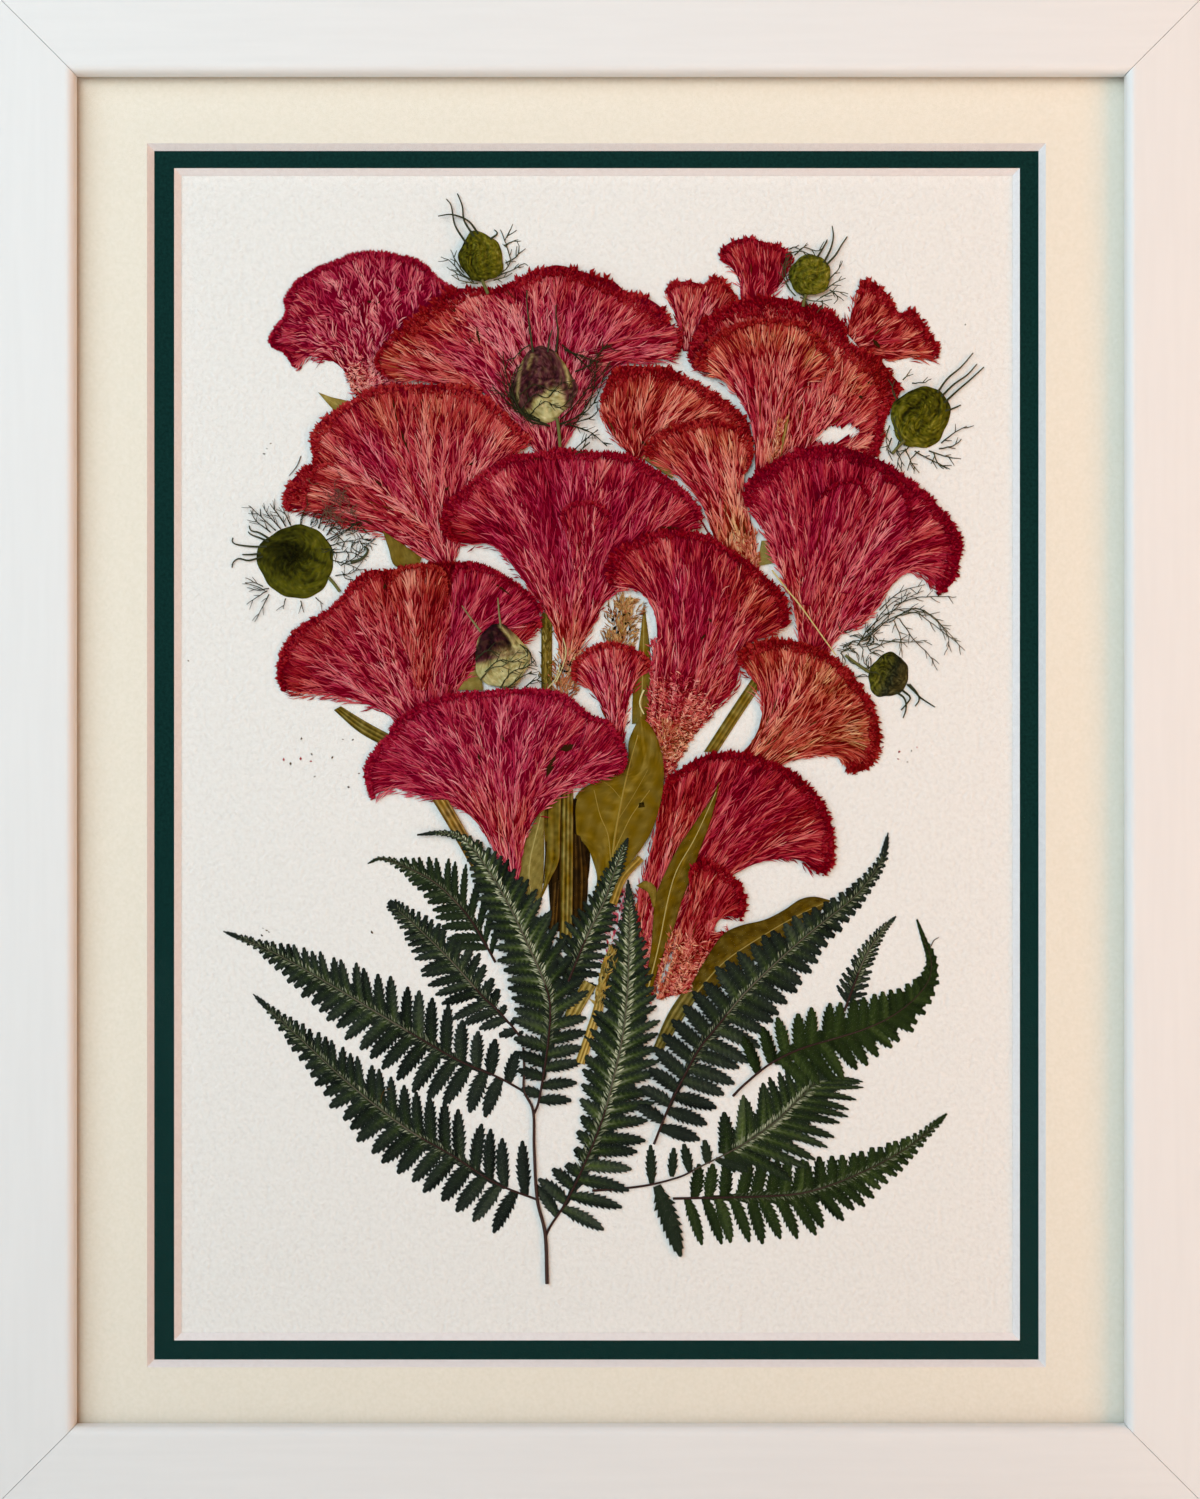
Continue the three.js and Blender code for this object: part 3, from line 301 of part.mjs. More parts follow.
// ---- specimens -----------------------------------------------------------------------------
for (const s of CELOSIA) add(s.name, plateGeometry(s), material(CRIMSON, 0.9));
for (const s of NIGELLA) add(s.name, plateGeometry(s), material(POD, 0.7));
for (const s of LEAVES) add(s.name, plateGeometry(s), material(OLIVE, 0.8));
for (const s of STEMS) add(s.name, plateGeometry(s), material(STEM, 0.8));
for (const s of [...FERNS, ...RACHIS]) add(s.name, plateGeometry(s), material(FERN, 0.8));

// ---- hanger: a toothed strip standing off the top rail on two legs ----------------------------
const wasm = await Module();
wasm.setup();

function toSolid(geometry) {
  const g = geometry.clone();
  g.deleteAttribute('normal');
  g.deleteAttribute('uv');
  const m = mergeVertices(g, 1e-4);
  return new wasm.Manifold(new wasm.Mesh({
    numProp: 3,
    vertProperties: new Float32Array(m.attributes.position.array),
    triVerts: new Uint32Array(m.index.array),
  }));
}

function hangerGeometry() {
  const { w: width, leg, top, tooth, pitch, teeth, t, off } = HANGER;
  const shape = new THREE.Shape();
  const x1 = width / 2, run = (teeth * pitch) / 2 + pitch / 2;
  shape.moveTo(-x1, top);
  shape.lineTo(-x1, -tooth);
  shape.lineTo(-run, -tooth);
  for (let i = -teeth / 2; i <= teeth / 2; i++) {
    shape.lineTo(i * pitch - pitch * 0.25, -tooth);
    shape.lineTo(i * pitch, 0);
    shape.lineTo(i * pitch + pitch * 0.25, -tooth);
  }
  shape.lineTo(x1, -tooth);
  shape.lineTo(x1, top);
  const strip = new THREE.ExtrudeGeometry(shape, { depth: t, bevelEnabled: false });
  strip.rotateX(Math.PI / 2);            // outline into XZ, thickness towards -Y
  strip.translate(0, off + t, 0);
  let body = toSolid(strip);
  for (const side of [-1, 1]) {
    const foot = new THREE.BoxGeometry(leg, off + t - GAP, top + tooth);
    foot.translate(side * (x1 - leg / 2), GAP + (off + t - GAP) / 2, (top - tooth) / 2);
    body = body.add(toSolid(foot));
  }
  const mesh = body.getMesh();
  const geometry = new THREE.BufferGeometry();
  geometry.setAttribute('position', new THREE.Float32BufferAttribute(mesh.vertProperties, 3));
  geometry.setIndex(Array.from(mesh.triVerts));
  geometry.computeVertexNormals();
  return geometry;
}
add('hanger', hangerGeometry(), material(STEEL, 0.4, 1), frame);

export default frame;
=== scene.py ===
import math
import bpy
import numpy as np
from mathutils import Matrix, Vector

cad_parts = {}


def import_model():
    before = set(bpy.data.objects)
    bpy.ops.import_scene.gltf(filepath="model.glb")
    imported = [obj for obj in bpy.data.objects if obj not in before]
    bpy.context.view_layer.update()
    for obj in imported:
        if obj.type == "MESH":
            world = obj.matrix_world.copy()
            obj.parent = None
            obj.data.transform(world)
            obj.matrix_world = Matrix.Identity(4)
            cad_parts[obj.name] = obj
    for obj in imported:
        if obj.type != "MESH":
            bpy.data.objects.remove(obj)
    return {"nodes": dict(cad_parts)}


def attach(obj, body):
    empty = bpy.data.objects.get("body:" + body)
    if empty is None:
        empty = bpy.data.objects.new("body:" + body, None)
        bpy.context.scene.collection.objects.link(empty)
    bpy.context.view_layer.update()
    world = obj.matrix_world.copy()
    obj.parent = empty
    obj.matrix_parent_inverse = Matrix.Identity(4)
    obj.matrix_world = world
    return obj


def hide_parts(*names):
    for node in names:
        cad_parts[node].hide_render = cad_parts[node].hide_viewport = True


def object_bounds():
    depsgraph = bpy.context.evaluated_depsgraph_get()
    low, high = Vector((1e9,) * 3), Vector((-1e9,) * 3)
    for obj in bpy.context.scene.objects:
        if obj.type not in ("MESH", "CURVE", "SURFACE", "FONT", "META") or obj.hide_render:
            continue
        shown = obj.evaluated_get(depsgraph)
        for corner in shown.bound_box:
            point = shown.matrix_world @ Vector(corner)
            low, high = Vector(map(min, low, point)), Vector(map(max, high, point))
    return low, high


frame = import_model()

# The fixed model's own box, before anything is added.
cad_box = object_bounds()

# ---------------------------------------------------------------------------
# Shared frame. Outlines are given on a drawing grid of 1200 by 1499 units whose
# point (600.5, 750) is the middle of the opening; one unit is 0.2565 mm on the
# bed. Heights are millimetres in front of the bed, towards the glass.
# ---------------------------------------------------------------------------
UNIT = 0.2565
HANG_Z = 186.0
Y_PAPER = -10.60
Y_BED = -10.65
Y_GLASS = -13.95


def mm(points):
    """Grid units to millimetres from the middle of the opening, x right, z up."""
    p = np.asarray(points, float)
    return np.stack([(p[..., 0] - 600.5) * UNIT, (750.0 - p[..., 1]) * UNIT], -1)


def world(xz, h):
    """Millimetres on the bed and height in front of it, to metres in the row frame."""
    xz = np.asarray(xz, float)
    h = np.broadcast_to(np.asarray(h, float), xz.shape[:-1])
    return np.stack([xz[..., 0], Y_BED - h, xz[..., 1] - HANG_Z], -1) / 1000.0


class Plane:
    """The tilted back plane of a CAD plate, read from the plate itself."""

    def __init__(self, node):
        me = frame["nodes"][node].data
        co = np.zeros(len(me.vertices) * 3, np.float32)
        me.vertices.foreach_get("co", co)
        co = co.reshape(-1, 3).astype(float) * 1000.0
        a = np.c_[np.ones(len(co)), co[:, 0], co[:, 2] + HANG_Z]
        k, *_ = np.linalg.lstsq(a, Y_BED - co[:, 1], rcond=None)
        half = np.abs(Y_BED - co[:, 1] - a @ k).mean()
        self.k = k
        self.k[0] -= half

    def __call__(self, xz):
        xz = np.asarray(xz, float)
        return self.k[0] + self.k[1] * xz[..., 0] + self.k[2] * xz[..., 1]


class Flat:
    def __init__(self, h):
        self.h = h

    def __call__(self, xz):
        return np.full(np.asarray(xz).shape[:-1], self.h)


def arc(points, n, smooth=True):
    """n points spaced evenly along a polyline, rounded where smooth."""
    p = np.asarray(points, float)
    if smooth and len(p) > 2:
        q = np.vstack([2 * p[0] - p[1], p, 2 * p[-1] - p[-2]])
        fine = []
        for i in range(1, len(q) - 2):
            a, b, c, d = q[i - 1], q[i], q[i + 1], q[i + 2]
            for t in np.linspace(0, 1, 9)[:-1]:
                fine.append(0.5 * (2 * b + (c - a) * t + (2 * a - 5 * b + 4 * c - d) * t * t + (3 * b - a - 3 * c + d) * t ** 3))
        fine.append(p[-1])
        p = np.array(fine)
    d = np.r_[0, np.cumsum(np.hypot(*np.diff(p, axis=0).T))]
    s = np.linspace(0, d[-1], n)
    return np.stack([np.interp(s, d, p[:, 0]), np.interp(s, d, p[:, 1])], -1)


def length(p):
    return float(np.hypot(*np.diff(np.asarray(p, float), axis=0).T).sum())


def unit(v):
    n = np.linalg.norm(v, axis=-1, keepdims=True)
    return v / np.maximum(n, 1e-9)


def turn(v, angle):
    c, s = np.cos(angle), np.sin(angle)
    return np.stack([v[..., 0] * c - v[..., 1] * s, v[..., 0] * s + v[..., 1] * c], -1)


def wave(x, seed, n=5, lo=1.0, hi=6.0):
    """A smooth signal of about unit size along x."""
    r = np.random.default_rng(seed)
    out = np.zeros_like(np.asarray(x, float))
    for _ in range(n):
        f = r.uniform(lo, hi)
        out = out + np.sin(2 * np.pi * (f * np.asarray(x) + r.random()))
    return out / math.sqrt(n)


class Build:
    """Collects triangles with a palette coordinate at each corner."""

    def __init__(self):
        self.v, self.f, self.uv, self.n = [], [], [], 0

    def add(self, verts, faces, uv):
        """verts (n, 3) in metres, faces (m, 3), uv (n, 2) at each vertex."""
        self.v.append(np.asarray(verts, np.float32))
        self.f.append(np.asarray(faces, np.int64) + self.n)
        self.uv.append(np.asarray(uv, np.float32))
        self.n += len(verts)

    def many(self, verts, faces, uv):
        """verts (k, n, 3) and uv (k, n, 2): k copies of the same face list."""
        k, n = verts.shape[:2]
        f = (np.asarray(faces)[None] + (np.arange(k) * n)[:, None, None]).reshape(-1, 3)
        self.add(verts.reshape(-1, 3), f, uv.reshape(-1, 2))

    def object(self, name, material, smooth=False):
        v = np.concatenate(self.v)
        # pressed flat: what would pass the paper or the glass lies against it
        y = v[:, 1] * 1000.0
        y = np.where(y > Y_PAPER - 0.02, Y_PAPER - 0.02 + 0.02 * (y - Y_PAPER + 0.02), y)
        v[:, 1] = np.where(y < Y_GLASS + 0.05, Y_GLASS + 0.05 + 0.05 * (y - Y_GLASS - 0.05), y) / 1000.0
        f = np.concatenate(self.f)
        uv = np.clip(np.concatenate(self.uv), 0.004, 0.996)
        me = bpy.data.meshes.new(name)
        me.vertices.add(len(v))
        me.vertices.foreach_set("co", v.ravel())
        me.loops.add(len(f) * 3)
        me.loops.foreach_set("vertex_index", f.ravel().astype(np.int32))
        me.polygons.add(len(f))
        me.polygons.foreach_set("loop_start", (np.arange(len(f)) * 3).astype(np.int32))
        layer = me.uv_layers.new(name="OFBake")
        layer.data.foreach_set("uv", uv[f.ravel()].ravel().astype(np.float32))
        me.polygons.foreach_set("use_smooth", np.full(len(f), bool(smooth)))
        me.materials.append(material)
        me.update(calc_edges=True)
        me.validate()
        ob = bpy.data.objects.new(name, me)
        bpy.context.scene.collection.objects.link(ob)
        return ob


# ---------------------------------------------------------------------------
# Building blocks
# ---------------------------------------------------------------------------
BLADE = [(0, 2, 3), (2, 4, 3), (4, 1, 3), (1, 0, 3), (0, 1, 4), (0, 4, 2)]


def blades(b, at, way, size, wide, low, tipup, ridge, tone, hue, bend, rise=0.10):
    """Slim pointed florets: foot, two sides, a raised keel and a tip."""
    side = np.stack([-way[:, 1], way[:, 0]], -1)
    foot = at - way * (size * 0.5)[:, None]
    mid = at + way * (size * 0.02)[:, None] + side * (bend * size)[:, None]
    tip = at + way * (size * 0.5)[:, None]
    left = mid + side * (wide * 0.5)[:, None]
    right = mid - side * (wide * 0.5)[:, None]
    v = np.stack([
        world(foot, low), world(left, low + 0.45 * tipup), world(right, low + 0.45 * tipup),
        world(mid, low + 0.5 * tipup + ridge), world(tip, low + tipup)], 1)
    # painted shade and highlight: each floret is darker at its foot and lighter along its raised keel and at its tip
    uv = np.stack([
        np.stack([tone - 0.16, hue - 0.01], -1), np.stack([tone - 0.03, hue - 0.012], -1),
        np.stack([tone + 0.0, hue + 0.012], -1), np.stack([tone + rise * 0.6, hue], -1),
        np.stack([tone + rise, hue + 0.01], -1)], 1)
    b.many(v, BLADE, uv)


STRAND = [(0, 3, 2), (0, 2, 1), (3, 6, 5), (3, 5, 2), (2, 5, 4), (2, 4, 1), (6, 7, 5), (5, 7, 4), (0, 1, 3), (1, 4, 6), (1, 6, 3), (4, 7, 6)]


def strands(b, path, wide, low, keel, tone, hue, foot=-0.14, tip=0.06):
    """Long keeled hairs through four points each, closed, pointed at both ends."""
    way = unit(np.gradient(path, axis=1))
    side = np.stack([-way[..., 1], way[..., 0]], -1) * (wide * 0.5)[:, None, None]
    p = path
    v = np.stack([
        world(p[:, 0], low), world(p[:, 1] + side[:, 1], low), world(p[:, 1], low + keel), world(p[:, 1] - side[:, 1], low),
        world(p[:, 2] + 0.85 * side[:, 2], low), world(p[:, 2], low + keel), world(p[:, 2] - 0.85 * side[:, 2], low), world(p[:, 3], low + 0.3 * keel)], 1)
    # painted shade and highlight: darker at the foot and along the sides, lighter along the keel and at the tip
    t = lambda du, dv: np.stack([tone + du, hue + dv], -1)
    uv = np.stack([t(foot, 0.0), t(0.3 * foot - 0.05, 0.01), t(0.0, 0.0), t(0.3 * foot - 0.03, -0.01), t(-0.04, 0.01), t(0.03, 0.0), t(-0.02, -0.01), t(tip, 0.0)], 1)
    b.many(v, STRAND, uv)


def tube(b, path, h, r0, r1, tone, hue, sides=5, flat=0.8, shade=0.12):
    """A closed tapering thread along a path on the bed, h is its axis height."""
    p = np.asarray(path, float)
    n = len(p)
    t = unit(np.gradient(p, axis=0))
    s = np.stack([-t[:, 1], t[:, 0]], -1)
    r = np.linspace(r0, r1, n)
    h = np.broadcast_to(np.asarray(h, float), (n,))
    v, uv = [], []
    for i in range(sides):
        a = 2 * math.pi * i / sides + 0.3
        v.append(world(p + s * (r * math.cos(a))[:, None], h + flat * r * math.sin(a)))
        uv.append(np.stack([np.full(n, tone) + shade * math.sin(a) + 0.02 * np.linspace(0, 1, n), np.full(n, hue) + 0.01 * math.cos(a)], -1))
    v = np.stack(v, 1).reshape(-1, 3)
    uv = np.stack(uv, 1).reshape(-1, 2)
    f = []
    for i in range(n - 1):
        for j in range(sides):
            k = (j + 1) % sides
            a0, a1, c0, c1 = i * sides + j, i * sides + k, (i + 1) * sides + j, (i + 1) * sides + k
            f += [(a0, a1, c1), (a0, c1, c0)]
    for j in range(1, sides - 1):
        f.append((0, j + 1, j))
        e = (n - 1) * sides
        f.append((e, e + j, e + j + 1))
    b.add(v, f, uv)


def panel(b, left, right, plane, thick, tone, hue, ns=14, nt=40, dome=0.25, ribs=None, edge=0.0, back=0.02):
    """A closed thin blade between two edges that run from base to tip. tone and
    hue are functions of (s, t, xz); s runs across and t along."""
    lt, rt = arc(mm(left), nt), arc(mm(right), nt)
    s = np.linspace(0, 1, ns)[:, None]
    xz = lt[None] * (1 - s[..., None]) + rt[None] * s[..., None]
    t = np.linspace(0, 1, nt)[None, :]
    ss, tt = np.broadcast_arrays(s, t)
    width = np.hypot(*(rt - lt).T)[None, :]
    lift = plane(xz) + back
    bulge = dome * np.sqrt(np.maximum(0, 1 - (2 * ss - 1) ** 2)) * np.minimum(1, width / 1.5)
    h = lift + thick + bulge
    if ribs is not None:
        h = h + ribs(ss, tt)
    h[0, :] = lift[0, :] + thick * 0.5 + edge
    h[-1, :] = lift[-1, :] + thick * 0.5 + edge
    u = np.broadcast_to(tone(ss, tt, xz), ss.shape)
    v = np.broadcast_to(hue(ss, tt, xz), ss.shape)
    grid_body(b, xz, h, lift, u, v)


def grid_body(b, xz, h, low, u, v):
    """A closed slab over a grid: front at h, back at low, walls round the rim."""
    ns, nt = xz.shape[:2]
    idx = np.arange(ns * nt).reshape(ns, nt)
    a, c, d, e = idx[:-1, :-1], idx[1:, :-1], idx[1:, 1:], idx[:-1, 1:]
    front = np.concatenate([np.stack([a, c, d], -1).reshape(-1, 3), np.stack([a, d, e], -1).reshape(-1, 3)])
    pa, pc, pd = xz[:-1, :-1], xz[1:, :-1], xz[1:, 1:]
    q1, q2 = pc - pa, pd - pa
    if np.sum(q1[..., 0] * q2[..., 1] - q1[..., 1] * q2[..., 0]) < 0:
        front = front[:, ::-1]
        flip = True
    else:
        flip = False
    backf = front[:, ::-1] + ns * nt
    ring = np.r_[idx[:, 0], idx[-1, 1:], idx[-2::-1, -1], idx[0, -2:0:-1]]
    nxt = np.roll(ring, -1)
    w1 = np.stack([ring, ring + ns * nt, nxt + ns * nt], -1)
    w2 = np.stack([ring, nxt + ns * nt, nxt], -1)
    walls = np.concatenate([w1, w2])
    if flip:
        walls = walls[:, ::-1]
    verts = np.concatenate([world(xz, h).reshape(-1, 3), world(xz, low).reshape(-1, 3)])
    jit = np.linspace(-0.004, 0.004, ns * nt)
    uv = np.stack([u.ravel(), v.ravel() + jit], -1)
    # painted shade: the back copy is a little darker, so the walls darken towards the bed
    b.add(verts, np.concatenate([front, backf, walls]), np.concatenate([uv, uv - [0.02, 0.0]]))


def srgb(c):
    return tuple((v / 255 / 12.92) if v <= 10 else ((v / 255 + 0.055) / 1.055) ** 2.4 for v in c)


def nodes_of(name):
    m = bpy.data.materials.new(name)
    m.use_nodes = True
    nt = m.node_tree
    return m, nt, nt.nodes["Principled BSDF"]


def palette(name, rows, rough, gain=1.0, sheen=0.0, sheen_tint=(1, 1, 1), spec=0.3, subsurface=0.0):
    """One material for all pieces of a kind. Across the palette (u) a colour runs
    from shade to light, and up it (v) from one hue of the plant to the next."""
    m, nt, bsdf = nodes_of(name)
    uv = nt.nodes.new("ShaderNodeUVMap")
    uv.uv_map = "OFBake"
    sep = nt.nodes.new("ShaderNodeSeparateXYZ")
    nt.links.new(uv.outputs["UV"], sep.inputs[0])
    last = None
    for i, row in enumerate(rows):
        ramp = nt.nodes.new("ShaderNodeValToRGB")
        el = ramp.color_ramp.elements
        while len(el) < len(row):
            el.new(0.5)
        for j, c in enumerate(row):
            el[j].position = j / (len(row) - 1)
            el[j].color = tuple(min(1.0, x * gain) for x in srgb(c)) + (1.0,)
        nt.links.new(sep.outputs["X"], ramp.inputs["Fac"])
        if last is None:
            last = ramp.outputs["Color"]
            continue
        fac = nt.nodes.new("ShaderNodeMapRange")
        fac.inputs["From Min"].default_value = (i - 1) / (len(rows) - 1)
        fac.inputs["From Max"].default_value = i / (len(rows) - 1)
        nt.links.new(sep.outputs["Y"], fac.inputs["Value"])
        mix = nt.nodes.new("ShaderNodeMix")
        mix.data_type = "RGBA"
        nt.links.new(fac.outputs["Result"], mix.inputs["Factor"])
        nt.links.new(last, mix.inputs[6])
        nt.links.new(ramp.outputs["Color"], mix.inputs[7])
        last = mix.outputs[2]
    nt.links.new(last, bsdf.inputs["Base Color"])
    bsdf.inputs["Roughness"].default_value = rough
    bsdf.inputs["Specular IOR Level"].default_value = spec
    if sheen:
        bsdf.inputs["Sheen Weight"].default_value = sheen
        bsdf.inputs["Sheen Tint"].default_value = tuple(sheen_tint) + (1.0,)
        bsdf.inputs["Sheen Roughness"].default_value = 0.5
    return m


CELOSIA = palette("celosia_florets", [
    [(60, 0, 16), (120, 2, 34), (160, 32, 66), (196, 94, 110), (224, 164, 162)],
    [(56, 0, 5), (116, 2, 16), (158, 37, 47), (195, 98, 93), (224, 170, 156)],
    [(58, 4, 2), (116, 15, 8), (159, 57, 41), (196, 113, 90), (225, 178, 146)],
    [(40, 24, 8), (96, 66, 32), (152, 116, 70), (192, 160, 110), (226, 206, 164)],
], 1.0, gain=1.12, spec=0.0)

FERN = palette("fern_blades", [
    [(4, 6, 6), (14, 19, 18), (33, 40, 37), (66, 74, 64), (116, 124, 108)],
    [(5, 9, 2), (15, 24, 8), (36, 50, 20), (68, 84, 40), (118, 130, 80)],
    [(14, 18, 14), (40, 48, 38), (84, 92, 74), (138, 144, 122), (198, 202, 178)],
    [(10, 5, 6), (28, 16, 17), (60, 40, 38), (104, 80, 72), (160, 138, 124)],
], 0.8, gain=1.12, spec=0.03)

LEAF = palette("leaf_blades", [
    [(22, 14, 0), (60, 44, 0), (102, 79, 4), (142, 116, 34), (192, 174, 104)],
    [(44, 38, 10), (84, 74, 28), (126, 115, 60), (160, 150, 94), (206, 198, 152)],
    [(36, 20, 0), (88, 58, 6), (146, 106, 24), (186, 146, 54), (220, 194, 116)],
    [(10, 6, 2), (34, 22, 8), (76, 56, 26), (122, 98, 58), (176, 152, 112)],
], 0.75, gain=1.10, spec=0.03)

NIGELLA = palette("nigella_pods", [
    [(8, 8, 0), (38, 38, 2), (76, 75, 6), (116, 110, 26), (172, 166, 82)],
    [(12, 14, 7), (30, 34, 20), (62, 66, 46), (98, 102, 76), (150, 152, 120)],
    [(60, 52, 20), (112, 100, 54), (158, 148, 94), (192, 184, 134), (228, 224, 186)],
    [(18, 4, 10), (52, 16, 26), (88, 46, 52), (130, 94, 90), (182, 162, 142)],
], 0.7, gain=1.12, spec=0.04)


def cloud(xz, seed, scale):
    """Smooth patchy signal over the bed, scale is the patch size in mm."""
    r = np.random.default_rng(seed)
    p = np.asarray(xz, float)
    out = np.zeros(p.shape[:-1])
    for _ in range(8):
        a = r.uniform(0, 2 * np.pi)
        f = r.uniform(0.6, 1.6) / scale
        out = out + np.sin(2 * np.pi * (f * (p[..., 0] * np.cos(a) + p[..., 1] * np.sin(a)) + r.random()))
    return out / math.sqrt(8)


# ---------------------------------------------------------------------------
# Cockscomb heads
# ---------------------------------------------------------------------------
def fan(left, crest, right, ns=40, nt=30):
    """A fan-shaped grid: s runs from the left edge to the right, t from the neck to the crest."""
    l = arc(mm(list(left) + [crest[0]]), nt)
    r = arc(mm(list(right) + [crest[-1]]), nt)
    k = arc(mm(crest), ns)
    b = np.linspace(l[0], r[0], ns)
    s = np.linspace(0, 1, ns)[:, None, None]
    t = np.linspace(0, 1, nt)[None, :, None]
    p = (1 - s) * l[None] + s * r[None] + (1 - t) * b[:, None] + t * k[:, None]
    p = p - ((1 - s) * (1 - t) * l[0] + s * (1 - t) * r[0] + (1 - s) * t * k[0] + s * t * k[-1])
    p[0], p[-1], p[:, 0], p[:, -1] = l, r, b, k
    for _ in range(120):
        p[1:-1, 1:-1] = 0.25 * (p[2:, 1:-1] + p[:-2, 1:-1] + p[1:-1, 2:] + p[1:-1, :-2])
    return p


def sample(p, q, i, j, a, c):
    """Bilinear value of q on the grid cells (i, j) at (a, c)."""
    a, c = a[:, None], c[:, None]
    return (q[i, j] * (1 - a) * (1 - c) + q[i + 1, j] * a * (1 - c) + q[i, j + 1] * (1 - a) * c + q[i + 1, j + 1] * a * c)


def sheet_body(b, xz, h, low, u, v, keep):
    """A closed slab over the kept cells of a grid, with walls round every rim."""
    ns, nt = xz.shape[:2]
    n = ns * nt
    idx = np.arange(n).reshape(ns, nt)
    i, j = np.nonzero(keep)
    a, c, d, e = idx[i, j], idx[i + 1, j], idx[i + 1, j + 1], idx[i, j + 1]
    front = np.concatenate([np.stack([a, c, d], -1), np.stack([a, d, e], -1)])
    pad = np.zeros((ns + 1, nt + 1), bool)
    pad[1:-1, 1:-1] = keep
    walls = []
    for p, q, ni, nj in ((a, c, i, j - 1), (c, d, i + 1, j), (d, e, i, j + 1), (e, a, i - 1, j)):
        m = ~pad[ni + 1, nj + 1]
        p, q = p[m], q[m]
        walls += [np.stack([p, p + n, q + n], -1), np.stack([p, q + n, q], -1)]
    faces = np.concatenate([front, front[:, ::-1] + n] + walls)
    q1, q2 = xz[1:, :-1] - xz[:-1, :-1], xz[1:, 1:] - xz[:-1, :-1]
    if np.sum(q1[..., 0] * q2[..., 1] - q1[..., 1] * q2[..., 0]) < 0:
        faces = faces[:, ::-1]
    verts = np.concatenate([world(xz, h).reshape(-1, 3), world(xz, low).reshape(-1, 3)])
    jit = np.linspace(-0.004, 0.004, n)
    uv = np.stack([u.ravel(), v.ravel() + jit], -1)
    # painted shade: the back copy is a little darker, so the walls darken towards the bed
    uv = np.concatenate([uv, uv - [0.02, 0.0]])
    used, inv = np.unique(faces, return_inverse=True)
    b.add(verts[used], inv.reshape(-1, 3), uv[used])


def inside(xz, ring):
    """True for points of the bed inside a closed outline."""
    x, y = xz[..., 0], xz[..., 1]
    out = np.zeros(x.shape, bool)
    q = np.roll(ring, -1, 0)
    for (x0, y0), (x1, y1) in zip(ring, q):
        if y0 == y1:
            continue
        out ^= ((y0 > y) != (y1 > y)) & (x < (x1 - x0) * (y - y0) / (y1 - y0) + x0)
    return out


